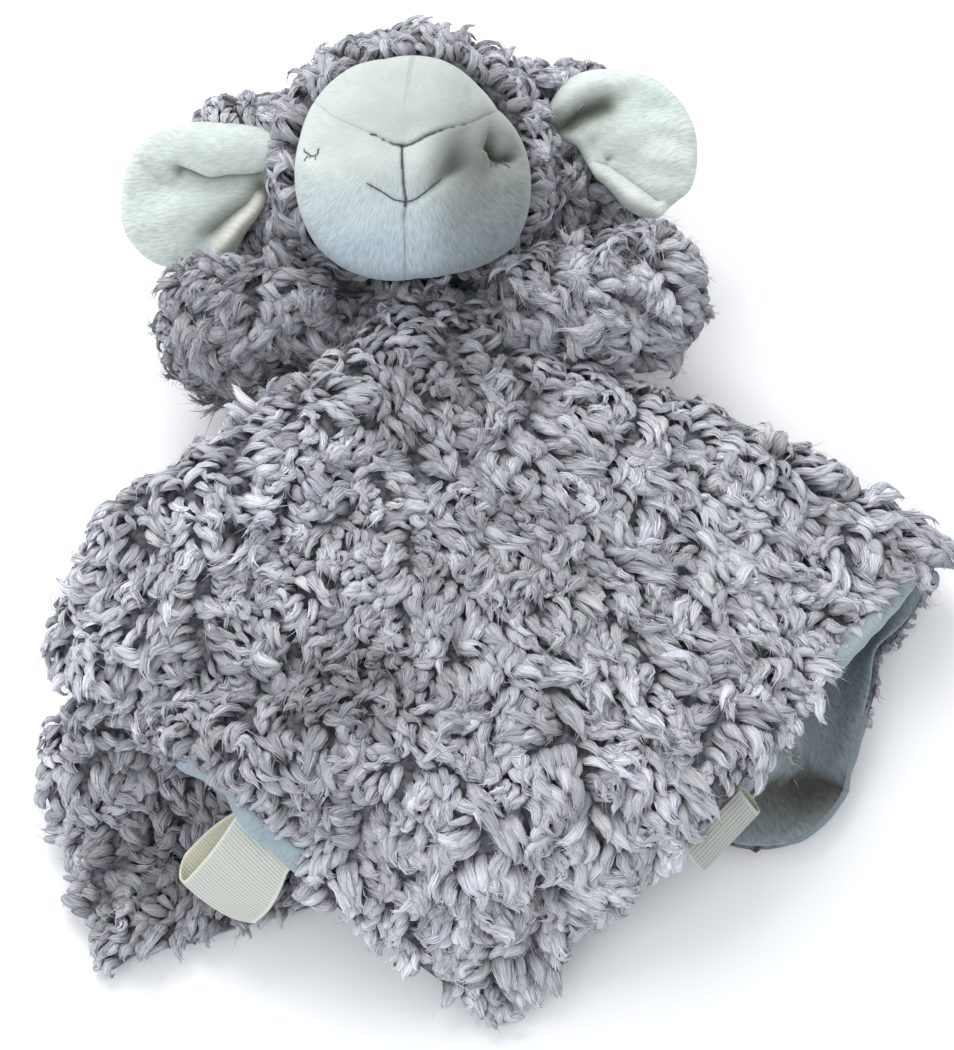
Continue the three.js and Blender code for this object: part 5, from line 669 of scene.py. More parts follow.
_h, _p, _s, _d = pocket(fine, fine_n)
_up = -3.8 * _h + 3.0 * _p
fine = fine - fine_n * _up[..., None]
fine[..., 2] = np.where(_h > 0.02, np.maximum(fine[..., 2], 4.2), fine[..., 2])


def round_corner(g, R):
    """rounds the sheet's corner at its last row and first column, R in grid steps"""
    last, out = g.shape[0] - 1, g.copy()
    for a in range(R):
        for b_ in range(R):
            p, q = R - a, R - b_
            s = max(p, q) / math.hypot(p, q)
            x, y = last - (R - p * s), R - q * s
            i, j = min(int(x), last - 1), int(y)
            fx, fy = x - i, y - j
            out[last - a, b_] = (g[i, j] * (1 - fx) * (1 - fy) + g[i + 1, j] * fx * (1 - fy)
                                 + g[i, j + 1] * (1 - fx) * fy + g[i + 1, j + 1] * fx * fy)
    return out


fine = round_corner(fine, 9)
fine_n = grid_normals(fine)
cloth_tree = BVHTree.FromPolygons([Vector(p) for p in fine.reshape(-1, 3)], grid_faces(*fine.shape[:2]).tolist())


def cloth_at(u, v):
    """point and normal at grid coordinates (arrays), from the fine grid"""
    m = 4
    x, y = np.clip(u * m, 0, fine.shape[0] - 1.001), np.clip(v * m, 0, fine.shape[1] - 1.001)
    i, j = np.floor(x).astype(int), np.floor(y).astype(int)
    fx, fy = (x - i)[:, None], (y - j)[:, None]

    def at(g):
        return g[i, j] * (1 - fx) * (1 - fy) + g[i + 1, j] * fx * (1 - fy) + g[i, j + 1] * (1 - fx) * fy + g[i + 1, j + 1] * fx * fy
    return at(fine), unit(at(fine_n))


def clearance(p, n, tree, reach=16.0, start=1.2):
    """free distance along n from each point, to the given surface"""
    out = np.full(len(p), reach)
    for k in range(len(p)):
        hit = tree.ray_cast(Vector(p[k] + n[k] * start), Vector(n[k]), reach)
        if hit[0] is not None:
            out[k] = hit[3] + start
    return out


def tangent(c, n):
    c = c - (c * n).sum(-1, keepdims=True) * n
    bad = np.linalg.norm(c, axis=-1) < 0.15
    if bad.any():
        c[bad] = np.cross(n[bad], [0.31, 0.62, 0.72])
    return unit(c)


def clump(p, n, comb, size, reach, seed, keep=0.8):
    """combed fleece: roots that are close share a direction, and their locks draw together at the tips.
    Returns the new comb, the root that each one follows and its distance from there, in clump radii"""
    r = np.random.default_rng(seed)
    key = np.floor(p / size + r.random(3)).astype(int)
    order = r.permutation(len(p))
    _, first = np.unique(key[order], axis=0, return_index=True)
    centre = order[first]
    f = np.concatenate([p, n * size * 0.7], 1)
    lead = np.empty(len(p), int)
    for lo in range(0, len(p), 1500):
        s = slice(lo, lo + 1500)
        lead[s] = centre[((f[s, None] - f[centre][None]) ** 2).sum(-1).argmin(1)]
    goal = p[lead] + comb[lead] * reach
    out = tangent(unit(tangent(goal - p, n) * keep + comb * (1 - keep)), n)
    return out, lead, np.clip(np.linalg.norm(p - p[lead], axis=1) / (size / 2), 0, 1.3)


def shared(x, lead, part):
    """blend each lock's own value with that of the one it follows"""
    return x[lead] * part + x * (1 - part)


def blanket_layers():
    g, n = fine, fine_n
    m = 4
    up = np.full(g.shape[:2], 2.3)
    flat_p, flat_n = g.reshape(-1, 3), n.reshape(-1, 3)
    free_up = clearance(flat_p, flat_n, cloth_tree, 9.0, 0.8).reshape(g.shape[:2])
    free_dn = clearance(flat_p, -flat_n, cloth_tree, 9.0, 0.8).reshape(g.shape[:2])
    hi = np.clip((free_up - 1.0) / 2, 0.7, 2.3)
    lo = np.clip((free_dn - 0.8) / 2, 0.6, 1.15)
    co, f = layer_mesh(g, n, 0.15, hi)
    co[:, 2] = np.maximum(co[:, 2], 0.3)
    u = np.linspace(0, 1, g.shape[0])
    uv = np.stack(np.meshgrid(u, u, indexing="ij"), -1).reshape(-1, 2)
    fleece = make_object("blanket_fleece_cloth", co, f, KNIT, "blanket", uvs={"sheet": np.concatenate([uv, uv])})
    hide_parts("blanket_fleece")
    co, f = layer_mesh(g, n, -lo, -0.15)
    co[:, 2] = np.maximum(co[:, 2], 0.2)
    hollow, panel, step, deep = (x.ravel()[:, None] for x in pocket(fine, fine_n))
    # painted shade on the velour backing: darker and warmer in the hollow, under the fold and along its step, and a
    # little darker on the raised panel
    tint = np.array(lin(150, 161, 166)) * np.ones((len(uv), 1))
    tint = tint * (1 - 0.35 * hollow * (1 - 0.7 * panel)) * (1 - hollow * np.array([0.0, 0.05, 0.12]))
    tint = tint * (1 - 0.76 * deep) * (1 - deep * np.array([0.0, 0.12, 0.28]))
    tint = tint * (1 - 0.28 * panel) * (1 - 0.45 * step)
    nap = uv * SIDE
    nap = np.stack([nap[:, 0] * 0.8 + nap[:, 1] * 0.6, nap[:, 1] * 0.8 - nap[:, 0] * 0.6], 1)
    back = make_object("blanket_velour_backing", co, f, COOL, "blanket",
                       uvs={"sheet": np.concatenate([uv, uv]), "nap": np.concatenate([nap, nap])},
                       tint=np.concatenate([tint, tint]))
    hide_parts("blanket_backing")
    return fleece, back


fleece_cloth, velour_back = blanket_layers()


def blanket_pile():
    r = np.random.default_rng(7)
    pitch = 3.0
    k = int(SIDE / pitch)
    a = (np.arange(k) + 0.5) / k
    uu, vv = np.meshgrid(a, a, indexing="ij")
    vv = vv + (np.arange(k)[:, None] % 2 - 0.5) * 0.5 / k
    uu = uu + r.uniform(-0.36, 0.36, uu.shape) / k
    vv = vv + r.uniform(-0.36, 0.36, vv.shape) / k
    u, v = np.clip(uu.ravel(), 0.002, 0.998) * 29, np.clip(vv.ravel(), 0.002, 0.998) * 29
    p, n = cloth_at(u, v)
    p = p + n * 2.0
    free = clearance(p, n, cloth_tree, 16.0, 0.8)
    keep = free > 3.0
    # pile hidden between close layers and pressed under the toy can be sparse
    under = (n[:, 2] < -0.35) & (p[:, 2] < 16)
    rim_j = (v * CELL < 26) & (u > 15.5) & (u < 26)
    keep &= ~(under & ~rim_j & (r.random(len(p)) < 0.75))
    tight = free < 7.5
    keep &= ~(tight & ~rim_j & (r.random(len(p)) < 0.35))
    keep &= ~(rim_j & (free < 5.5))
    # the velour rolls out round the hem here and there, and the ribbons need room
    di, dj = u * CELL, v * CELL
    roll_i, roll_j = (v > 6.2) & (v < 10.7), (u > 12.8) & (u < 16.0)
    ribbon_j = (u > 7.3) & (u < 9.0)
    keep &= ~((roll_i & (di < 4.8)) | (roll_j & (dj < 3.4)) | (ribbon_j & (dj < 4.0)))
    keep &= ~(((u > 24.2) & (dj < 11.0)) | ((u > 28.2) & (v < 8)))
    u, v, p, n, free = u[keep], v[keep], p[keep], n[keep], free[keep]
    di, dj = u * CELL, v * CELL
    roll_i, roll_j = (v > 6.2) & (v < 10.7), (u > 12.8) & (u < 16.0)
    ribbon_j = (u > 7.0) & (u < 9.2)
    clipped = (roll_i & (di < 10)) | (roll_j & (dj < 10)) | (ribbon_j & (dj < 13)) | ((u > 24) & (dj < 20))
    clipped |= (u > 19) & (u <= 24.2) & (dj < 5)
    N = len(p)
    # combing: away from the neck, over the surface
    neck = np.array([-16.0, 74.0, 44.0])
    away = unit(p - neck)
    down = np.array([0.15, -0.8, -0.5])
    comb = unit(away * 0.8 + down * 0.5)
    comb = comb - (comb * n).sum(-1, keepdims=True) * n
    bad = np.linalg.norm(comb, axis=1) < 0.2
    comb[bad] = np.cross(n[bad], [0.3, 0.7, 0.1])
    comb = unit(comb)
    # beside the rolled velour the pile hangs out over it
    out_i = cloth_at(np.maximum(u - 0.5, 0), v)[0] - cloth_at(u + 0.5, v)[0]
    out_j = cloth_at(u, np.maximum(v - 0.5, 0))[0] - cloth_at(u, v + 0.5)[0]
    hang_i, hang_j = roll_i & (di < 14), roll_j & (dj < 14)
    comb[hang_i] = tangent(out_i[hang_i], n[hang_i])
    comb[hang_j] = tangent(out_j[hang_j], n[hang_j])
    bi = np.cross(n, comb)
    # curly zone to the left and near the neck, longer petals to the right and front
    x, y = p[:, 0], p[:, 1]
    petal = smooth01(x + 0.10 * (y + 60), -38, 22) * smooth01(-y, -62, 20)
    petal = np.clip(petal + 0.22 * r.normal(0, 1, N), 0, 1)
    # neighbouring locks lean together: a slow swirl over the cloth, plus each lock's own turn
    swirl = (np.sin(u * 1.9 + 1.3 * np.sin(v * 0.9)) + np.sin(v * 2.3 + 1.7 * np.sin(u * 0.7 + 1.0))) * 0.5
    ang = swirl * (0.9 * (1 - petal) + 0.55 * petal) + r.normal(0, 1, N) * (0.80 * (1 - petal) + 0.42 * petal)
    ang = np.where(hang_i | hang_j, 0.45 * r.normal(0, 1, N), ang)
    comb = np.cos(ang)[:, None] * comb + np.sin(ang)[:, None] * bi
    big = r.random(N)
    L = (11.8 * (1 - petal) + 13.2 * petal) * (0.75 + 0.45 * big)
    W = (3.1 * (1 - petal) + 3.7 * petal) * r.uniform(0.65, 1.3, N) * (0.85 + 0.3 * big)
    lean0 = r.normal(0.35, 0.22, N) * (1 - petal) + r.normal(0.6, 0.2, N) * petal
    lean1 = r.normal(2.35, 0.5, N) * (1 - petal) + r.normal(1.9, 0.3, N) * petal
    curl = r.normal(0, 1, N) * (1.5 * (1 - petal) + 0.7 * petal)
    joined, lead, dist = clump(p, n, comb, 8.8, 10.5, 71, keep=0.72)
    comb = np.where((hang_i | hang_j)[:, None], comb, joined)
    curl, lean1, L = shared(curl, lead, 0.65), shared(lean1, lead, 0.5), shared(L, lead, 0.6)
    L = L * (1.07 - 0.14 * dist)
    near_hem = np.minimum(np.minimum(u, 29 - u), np.minimum(v, 29 - v)) * CELL
    L = L * (0.78 + 0.22 * smooth01(near_hem, 3, 14))
    lean1 = lean1 + 0.35 * (1 - smooth01(near_hem, 3, 14))
    sway, phase = shared(r.normal(0, 0.85, N), lead, 0.75), r.uniform(0, 6.3, N)[lead] + r.normal(0, 0.5, N)
    low = np.minimum(free, np.maximum(0.8, p[:, 2] / np.maximum(0.15, -n[:, 2])) * np.where(n[:, 2] < -0.15, 1, 99))
    squeeze = np.clip(low / 9.0, 0.25, 1)
    L = L * (0.45 + 0.55 * squeeze)
    lean0 = lean0 + (1 - squeeze) * 1.0
    lean1 = np.where(squeeze < 0.95, np.minimum(lean1, 1.57 + squeeze * 1.6), lean1)
    L = np.where(clipped, L * 0.56, L)
    W = np.where(clipped, W * 0.8, W)
    # tone: the curly zone a little lighter than the petals and the front petals a little lighter again; painted shade
    # in the drape's valleys and hollows, near the neck, where the pile is squeezed into tight folds, and at the edges
    # of each clump
    front = smooth01(-y, 40, 110)
    tone = 1.37 - 0.10 * petal + 0.06 * front * petal
    for cx, cy, rad, shade_cut in ((-37, -66, 26, 0.52), (-93, -106, 30, 0.60), (-9, 46, 28, 0.38), (4, -15, 34, 0.22)):
        tone = tone * (1 - shade_cut * np.exp(-((x - cx) ** 2 + (y - cy) ** 2) / rad ** 2))
    tone = tone * (1 - 0.10 * np.exp(-((x + 10) ** 2 + (y - 45) ** 2) / 1600.0))
    tone = tone * (0.6 + 0.4 * squeeze)
    tone = tone * (1 + 0.09 * r.normal(0, 1, N)[lead]) * (1.08 - 0.16 * dist ** 2)
    groups = np.floor(np.arange(N) / 820).astype(int)
    order = np.lexsort((v, np.floor(u / 4.2)))
    out = []
    for gi in range(groups.max() + 1):
        s = order[groups == gi]
        if len(s) == 0:
            continue
        vtx, uv, path, d, w, q, prof = locks(p[s], n[s], comb[s], L[s], W[s], lean0[s], lean1[s], curl[s],
                                             seed=100 + gi, rings=9, sides=6, flat=0.45, tip=0.24, rag=0.14, cup=0.5,
                                             belly=0.36, sway=sway[s], phase=phase[s])
        tint = lock_tint(len(s), 9, tone[s], 300 + gi, 0.42)
        ex = strands(path, d, w, q, W[s], L[s], 0.45, 0.5, prof, 5, 500 + gi, over=0.20, stray=0.16, thick=0.24,
                     rings=5)
        out.append(pile_piece("blanket_pile_%02d" % gi, "blanket", vtx, uv, tint, ex))
    return out


def hem_roll(name, edge, a, b, width, tint, plump=1.0):
    """velour that rolls out round the hem and lies a little way over the fleece, from a to b along one edge"""
    k, m = int((b - a) * 10), 26
    s = np.linspace(a, b, k)
    z = np.zeros(k)
    P, n = cloth_at(z + 0.001, s) if edge == "i" else cloth_at(s, z + 0.001)
    Q, _ = cloth_at(z + 0.5, s) if edge == "i" else cloth_at(s, z + 0.5)
    o = unit(P - Q)
    o = unit(o - (o * n).sum(-1, keepdims=True) * n)
    t = np.linspace(0, 1, k)
    env = smooth01(t, 0, 0.16) * smooth01(1 - t, 0, 0.16)
    w = width * (0.10 + 0.90 * env) * (1 + 0.13 * np.sin(s * 5.1) + 0.09 * np.sin(s * 11.7 + 1))
    fat = plump * (0.30 + 0.70 * env) * (1 + 0.06 * np.sin(s * 7.3 + 2))
    g = np.zeros((k, m, 3))
    for i in range(k):
        c = curve([(-3.2, -1.5), (-0.6, -1.85), (1.2, -1.2), (2.1, 0.4), (1.8, 2.0), (0.7, 3.2), (-w[i] * 0.45, 3.7),
                   (-w[i] * 0.85, 3.4), (-w[i], 2.5)], m)
        c = np.array([-0.6, 0.6]) + (c - np.array([-0.6, 0.6])) * fat[i]
        g[i] = P[i] + c[:, :1] * o[i] + c[:, 1:] * n[i]
    gn = grid_normals(g)
    if ((gn[:, m // 2] * o).sum(-1)).mean() < 0:
        gn = -gn
    co, f = layer_mesh(g, gn, -0.9, 0.0)
    co[:, 2] = np.maximum(co[:, 2], 0.3)
    if np.einsum("ij,ij->i", co[f[:, 0]] - co.mean(0), np.cross(co[f[:, 1]] - co.mean(0), co[f[:, 2]] - co.mean(0))).sum() < 0:
        f = f[:, ::-1]
    ss, mm = np.meshgrid(s * CELL, np.linspace(0, 14, m), indexing="ij")
    nap = np.stack([ss.ravel(), mm.ravel()], 1)
    col = np.tile(np.array(tint), (len(nap), 1))
    obj = make_object(name, co, f, HEM, "blanket", uvs={"nap": np.concatenate([nap, nap])}, tint=np.concatenate([col, col]))
    return obj


hem_rolls = [
    hem_roll("hem_roll_front_left", "i", 5.6, 11.2, 5.2, lin(160, 174, 181)),
    hem_roll("hem_roll_right_corner", "j", 12.3, 16.7, 4.2, lin(160, 174, 177)),
    # painted shade: the roll in the turned corner gets a darker tint than the other rolls, for the shade it lies in
    hem_roll("hem_roll_turned_corner", "j", 23.4, 28.3, 1.0, lin(128, 138, 143), plump=0.66),
]
blanket_pieces = blanket_pile()


# ------------------------------------------------------------------ head frame and solid helpers
HEAD = np.array([-21.5, 119.0, 48.6])
AX = unit(np.array([0.0330, -0.5888, 0.8076]))
E1 = unit(np.array([1.0, 0, 0]) - AX[0] * AX)
E2 = np.cross(AX, E1)


def hp(u, v, h):
    u, v, h = np.broadcast_arrays(np.asarray(u, float), np.asarray(v, float), np.asarray(h, float))
    return HEAD + u[..., None] * E1 + v[..., None] * E2 + h[..., None] * AX


def tris(quads):
    quads = np.asarray(quads)
    return np.concatenate([quads[:, [0, 1, 2]], quads[:, [0, 2, 3]]])


def revolve(profile, n, place):
    """closed solid from an open profile of (radius, height) that starts and ends on the axis;
    place(r, height, angle) gives the points"""
    prof = np.asarray(profile, float)
    m = len(prof) - 2
    ang = np.arange(n) / n * 2 * np.pi
    ring = place(prof[1:-1, 0][:, None] * np.ones(n), prof[1:-1, 1][:, None] * np.ones(n), np.broadcast_to(ang, (m, n)))
    co = np.concatenate([ring.reshape(-1, 3), place(np.zeros(1), prof[:1, 1], np.zeros(1)), place(np.zeros(1), prof[-1:, 1], np.zeros(1))])
    i, k = np.meshgrid(np.arange(m - 1), np.arange(n), indexing="ij")
    a, b_ = (i * n + k).ravel(), (i * n + (k + 1) % n).ravel()
    f = tris(np.stack([a, b_, b_ + n, a + n], 1))
    k = np.arange(n)
    kn = (k + 1) % n
    first = np.stack([np.full(n, m * n), kn, k], 1)
    last = np.stack([np.full(n, m * n + 1), (m - 1) * n + k, (m - 1) * n + kn], 1)
    f = np.concatenate([f, first, last])
    v0, v1, v2 = co[f[:, 0]], co[f[:, 1]], co[f[:, 2]]
    if np.einsum("ij,ij->i", v0, np.cross(v1, v2)).sum() < 0:
        f = f[:, ::-1]
    return co, f


def seg_dist(pts, line):
    """distance from points (..., k) to a polyline (m, k), and how far along it, from 0 to 1"""
    P = pts.reshape(-1, pts.shape[-1])
    line = np.asarray(line, float)
    seg = np.linalg.norm(np.diff(line, axis=0), axis=1)
    cum = np.concatenate([[0], np.cumsum(seg)]) / seg.sum()
    best = np.full(len(P), 1e9)
    at = np.zeros(len(P))
    for k in range(len(line) - 1):
        A, B = line[k], line[k + 1]
        t = np.clip(((P - A) @ (B - A)) / ((B - A) @ (B - A)), 0, 1)
        dd = np.linalg.norm(P - A - t[:, None] * (B - A), axis=1)
        hit = dd < best
        best[hit] = dd[hit]
        at[hit] = (cum[k] + t * (cum[k + 1] - cum[k]))[hit]
    return best.reshape(pts.shape[:-1]), at.reshape(pts.shape[:-1])


def tubes(paths, radii, ups, sides=6, wide=1.0):
    """closed tubes along paths (N, R, 3), with radii (N, R); ups (N, R, 3) is the flat side's normal"""
    d = np.gradient(paths, axis=1)
    d = unit(d)
    w = unit(np.cross(ups, d))
    q = np.cross(d, w)
    a = np.arange(sides) / sides * 2 * np.pi
    v = paths[:, :, None] + (radii[..., None] * np.cos(a) * wide)[..., None] * w[:, :, None] \
        + (radii[..., None] * np.sin(a))[..., None] * q[:, :, None]
    N, R = paths.shape[:2]
    co = v.reshape(-1, 3)
    f = tris(lock_faces(N, R, sides))
    base = np.arange(N) * R * sides
    caps = []
    for k in range(1, sides - 1):
        caps.append(np.stack([base, base + k + 1, base + k], 1))
        e = base + (R - 1) * sides
        caps.append(np.stack([e, e + k, e + k + 1], 1))
    return co, np.concatenate([f, *caps])


# ------------------------------------------------------------------ velour face
FACE_TOP = 57.3
FACE_EQ = 31.0
FACE_RIM = 24.4
# outline of the plump face seen along its axis: angle in degrees, radius in mm
OUTLINE = np.array([
    (8.1, 36.5),
    (22.4, 34.6),
    (34.7, 32.6),
    (50.9, 33.0),
    (64.4, 34.2),
    (74.6, 34.8),
    (84.9, 34.9),
    (103.7, 34.8),
    (120.1, 36.6),
    (134.6, 37.1),
    (149.4, 37.3),
    (165.8, 37.0),
    (185.2, 37.8),
    (204.8, 38.9),
    (220.1, 39.6),
    (234.3, 38.9),
    (250.3, 37.3),
    (272.1, 34.9),
    (289.0, 35.5),
    (305.0, 37.9),
    (322.1, 40.7),
    (335.7, 39.8),
    (352.7, 38.1),
], float)


def face_radius(theta):
    d = np.degrees(theta) % 360
    a, r = OUTLINE[:, 0], OUTLINE[:, 1]
    return np.interp(d, np.concatenate([a - 360, a, a + 360]), np.tile(r, 3))


NOSE = np.array([-3.2, 6.8])
SEAM_L = curve([(-3.2, 6.8), (-5.8, 7.3), (-8.1, 8.2), (-10.6, 9.5), (-12.7, 10.4), (-18.7, 13.0), (-23.9, 15.4), (-29.0, 19.0), (-40, 27)], 100)
SEAM_R = curve([(-3.2, 6.8), (-1.3, 7.0), (1.5, 8.2), (4.6, 9.9), (8.9, 11.5), (12.2, 12.4), (15.8, 13.2), (18.8, 14.1), (22.3, 15.8), (27.0, 18.0), (40, 24.6)], 100)
SEAM_C = curve([(-3.2, 6.8), (-3.1, 3.2), (-3.0, -0.3), (-2.7, -5.3), (-2.2, -10.3), (-2.7, -16.0), (-2.6, -26.0), (-2.8, -42)], 90)
MOUTH_L = curve([(-14.2, -4.2), (-11.8, -5.6), (-8.7, -7.4), (-5.7, -9.2), (-2.2, -10.3)], 40)
MOUTH_R = curve([(-2.2, -10.3), (0.9, -9.3), (3.5, -7.4), (6.5, -5.0), (9.1, -2.8)], 40)
FOLD_R = curve([(-2.2, -10.3), (0.9, -9.3), (3.5, -7.4), (6.5, -5.0), (9.1, -2.8), (12.1, -1.0), (15.2, 0.5), (19.0, 2.0)], 60)
VALLEY = curve([(7.0, -3.5), (11.0, 0.5), (14.0, 4.5), (15.8, 9.0), (16.0, 12.5)], 40)
CREASE_EYE = curve([(23.2, 11.0), (23.4, 7.2), (24.0, 4.7), (25.3, 2.9)], 40)
DART = curve([(16.9, 27.0), (17.9, 22.6), (19.4, 17.3)], 30)
SOCKET = curve([(24.3, 5.2), (25.8, 3.3), (28.2, 2.6), (31.6, 3.2)], 30)


def dome(u, v):
    th = np.arctan2(v, u)
    rad = face_radius(th)
    rho = np.clip(np.hypot(u, v) / rad, 0, 1)
    return FACE_EQ + (FACE_TOP - FACE_EQ) * (1 - rho ** 2.35) ** (1 / 2.2)


def face_relief(u, v):
    """how far the cloth stands out from the plain dome"""
    P = np.stack([u, v], -1)
    out = np.zeros(u.shape)
    for line, near, far, end in ((SEAM_L, 0.50, 0.14, 0.20), (SEAM_R, 0.80, 0.24, 0.28), (SEAM_C, 0.75, 0.22, 0.42)):
        d, s = seg_dist(P, line)
        deep = near + (far - near) * smooth01(s, end, end + 0.10)
        out += 0.35 * (1 - np.exp(-(d / 4.5) ** 2)) - deep * np.exp(-(d / 0.8) ** 2)
        out += 0.10 * np.sin(s * 170) * np.exp(-(d / 1.5) ** 2) * (1 - smooth01(s, end, end + 0.2))
    # small pulls across the nose line
    d, s = seg_dist(P, SEAM_C)
    out -= 0.22 * np.exp(-(d / 3.2) ** 2) * np.exp(-((v + 0.5) / 3.0) ** 2) * (0.5 + 0.5 * np.cos((v + 0.5) * 3.4))
    d, s = seg_dist(P, MOUTH_L)
    out -= (0.55 * np.exp(-(d / 0.9) ** 2) + 0.5 * np.exp(-(d / 3.5) ** 2)) * smooth01(s, 0.0, 0.35)
    # the mouth's right arm runs on as a fold: steep on the cheek's side, sloping down from the muzzle
    d, s = seg_dist(P, FOLD_R)
    line_v = np.interp(u, FOLD_R[:, 0], FOLD_R[:, 1])
    above = smooth01(v - line_v, -0.5, 0.5)
    win = smooth01(u, -3.0, 4.5) * (1 - smooth01(u, 13.5, 19.5))
    out -= win * (2.9 * above * np.exp(-(d / 4.6) ** 2) + (1 - above) * (2.9 * np.exp(-(d / 1.25) ** 2)))
    out -= (1 - smooth01(u, -3.0, 4.5)) * 0.6 * np.exp(-(d / 1.0) ** 2)
    d, s = seg_dist(P, VALLEY)
    out -= 2.1 * np.exp(-(d / 3.8) ** 2) * np.sin(np.clip(s, 0.02, 0.98) * np.pi) ** 0.7
    # soft muzzle swelling beside the nose line and the full cheek beyond the fold
    out += 2.3 * np.exp(-(((u - 3.0) / 5.5) ** 2 + ((v - 0.5) / 7.5) ** 2))
    out += 1.1 * np.exp(-(((u + 9.5) / 7.5) ** 2 + ((v - 1.5) / 8.0) ** 2))
    out += 1.5 * np.exp(-(((u - 15) / 11.0) ** 2 + ((v + 9) / 8.0) ** 2))
    # fold of cloth between the valley and the pulled-in eye on the right
    out += 1.9 * np.exp(-(((u - 20.6) / 2.9) ** 2 + ((v - 6.5) / 7.5) ** 2))
    d, s = seg_dist(P, SOCKET)
    line_v = np.interp(u, SOCKET[:, 0], SOCKET[:, 1])
    above = smooth01(v - line_v, -0.8, 0.6)
    out -= 3.6 * (above * np.exp(-(d / 3.0) ** 2) + (1 - above) * np.exp(-(d / 1.3) ** 2)) + 1.3 * np.exp(-(d / 7.0) ** 2)
    d, s = seg_dist(P, CREASE_EYE)
    right = smooth01(u - 23.4, -0.5, 0.5)
    out -= 2.0 * np.sin(np.clip(s, 0.02, 0.98) * np.pi) ** 0.6 * (right * np.exp(-(d / 3.0) ** 2) + (1 - right) * np.exp(-(d / 0.9) ** 2))
    out += 1.0 * np.exp(-(((u - 29.0) / 5.0) ** 2 + ((v + 3.5) / 4.0) ** 2))
    d, s = seg_dist(P, DART)
    out -= 0.9 * np.exp(-(d / 1.6) ** 2) * np.sin(np.clip(s, 0.05, 0.95) * np.pi)
    # slight pull at the left eye
    out -= 0.8 * np.exp(-(((u + 31) / 3.2) ** 2 + ((v - 4.4) / 2.6) ** 2))
    # slack of the cloth
    out += 0.26 * np.sin(u * 0.33 + 1.2 * np.sin(v * 0.21)) * np.sin(v * 0.29 + 0.7)
    edge = np.hypot(u, v) / face_radius(np.arctan2(v, u))
    return out * (1 - smooth01(edge, 0.88, 1.0))


def face_tint(U, V):
    """creamy forehead, cooler and darker lower face, olive shade in the folds and round the right eye"""
    P = np.stack([U, V], -1)
    low = smooth01(-V, -6, 26)
    cream, cool = np.array(lin(222, 230, 224)), np.array(lin(192, 205, 212))
    col = cream * (1 - low)[:, None] + cool * low[:, None]
    # painted shade: the upper forehead is darker, less so on the left
    top = smooth01(V, 0, 20) * (1 - 0.5 * smooth01(-U, 8, 30))
    col = col * (1 - 0.13 * top)[:, None]

    def shade(amount, warm=1.0):
        return (1 - np.clip(amount, 0, 0.85))[:, None] * (1 - np.clip(amount, 0, 1)[:, None] * np.array([0.0, 0.03, 0.13]) * warm)

    def blob(cu, cv, ru, rv):
        return np.exp(-(((U - cu) / ru) ** 2 + ((V - cv) / rv) ** 2))
    # painted shade in the recesses of the relief, and soft painted shade over the muzzle's right side, round the right
    # eye and over the right side of the face
    col = col * shade(0.055 * np.clip(-face_relief(U, V), 0, 5))
    col = col * shade(0.27 * blob(12.0, 3.8, 6.0, 6.5), 0.6)
    col = col * shade(0.24 * blob(25, 9.5, 7.5, 8.0))
    col = col * shade(0.16 * blob(17, -12, 12, 8.0))
    col = col * shade(0.12 * blob(33, -6, 6, 16))
    col = col * shade(0.16 * blob(19, 17.5, 6, 6))
    d, _ = seg_dist(P, FOLD_R)
    line_v = np.interp(U, FOLD_R[:, 0], FOLD_R[:, 1])
    above = smooth01(V - line_v, -0.5, 0.5)
    win = smooth01(U, 2.0, 7.0) * (1 - smooth01(U, 12.5, 18.0))
    col = col * shade(0.42 * win * (above * np.exp(-(d / 2.6) ** 2) + (1 - above) * np.exp(-(d / 0.8) ** 2)))
    d, _ = seg_dist(P, SOCKET)
    line_v = np.interp(U, SOCKET[:, 0], SOCKET[:, 1])
    above = smooth01(V - line_v, -0.8, 0.6)
    col = col * shade(0.55 * (above * np.exp(-(d / 2.0) ** 2) + (1 - above) * np.exp(-(d / 1.0) ** 2)) + 0.12 * np.exp(-(d / 6) ** 2), 1.6)
    d, _ = seg_dist(P, CREASE_EYE)
    col = col * shade(0.30 * smooth01(U - 23.3, -0.4, 0.4) * np.exp(-(d / 2.4) ** 2))
    for line, near, far, end in ((SEAM_L, 0.20, 0.05, 0.20), (SEAM_R, 0.34, 0.12, 0.28), (SEAM_C, 0.16, 0.12, 0.42)):
        d, s = seg_dist(P, line)
        col = col * shade((near + (far - near) * smooth01(s, end, end + 0.1)) * np.exp(-(d / 0.6) ** 2), 0.4)
    # the window side is brighter low down, the side turned away falls into soft shade
    col = col * (1.05 - 0.17 * smooth01(V, -18, -4))[:, None]
    away = smooth01(U, 0, 15) * (1 - 0.75 * smooth01(V, 7, 22))
    col = col * shade(0.38 * away + 0.26 * blob(18.0, 1.0, 6.5, 8.0) + 0.08 * blob(24, -20, 9, 10), 0.3)
    nap = 0.42 + 0.58 * smooth01(-V, -4, 8)
    nap = np.maximum(nap, 0.9 * np.exp(-((V - 10.5) / 4.0) ** 2) * smooth01(U, -4, 3) * (U < 12))
    return np.concatenate([np.clip(col, 0, 1), nap[:, None]], 1)


def face_point(u, v, lift=0.0):
    """point on the finished face over (u, v)"""
    e = 0.15
    z0 = dome(u, v)
    zu, zv = (dome(u + e, v) - dome(u - e, v)) / (2 * e), (dome(u, v + e) - dome(u, v - e)) / (2 * e)
    nl = unit(np.stack([-np.clip(zu, -4, 4), -np.clip(zv, -4, 4), np.ones_like(z0)], -1))
    off = face_relief(u, v) + lift
    return hp(u + nl[..., 0] * off, v + nl[..., 1] * off, z0 + nl[..., 2] * off)


def seam_angle(line, r_all, start):
    """polar angle about the nose point, at each distance from it"""
    rel = line - NOSE
    r, ang = np.hypot(rel[:, 0], rel[:, 1]), np.unwrap(np.arctan2(rel[:, 1], rel[:, 0]))
    ang = ang + 2 * np.pi * np.round((start - ang[-1]) / (2 * np.pi))
    return np.interp(r_all, r[1:], ang[1:])


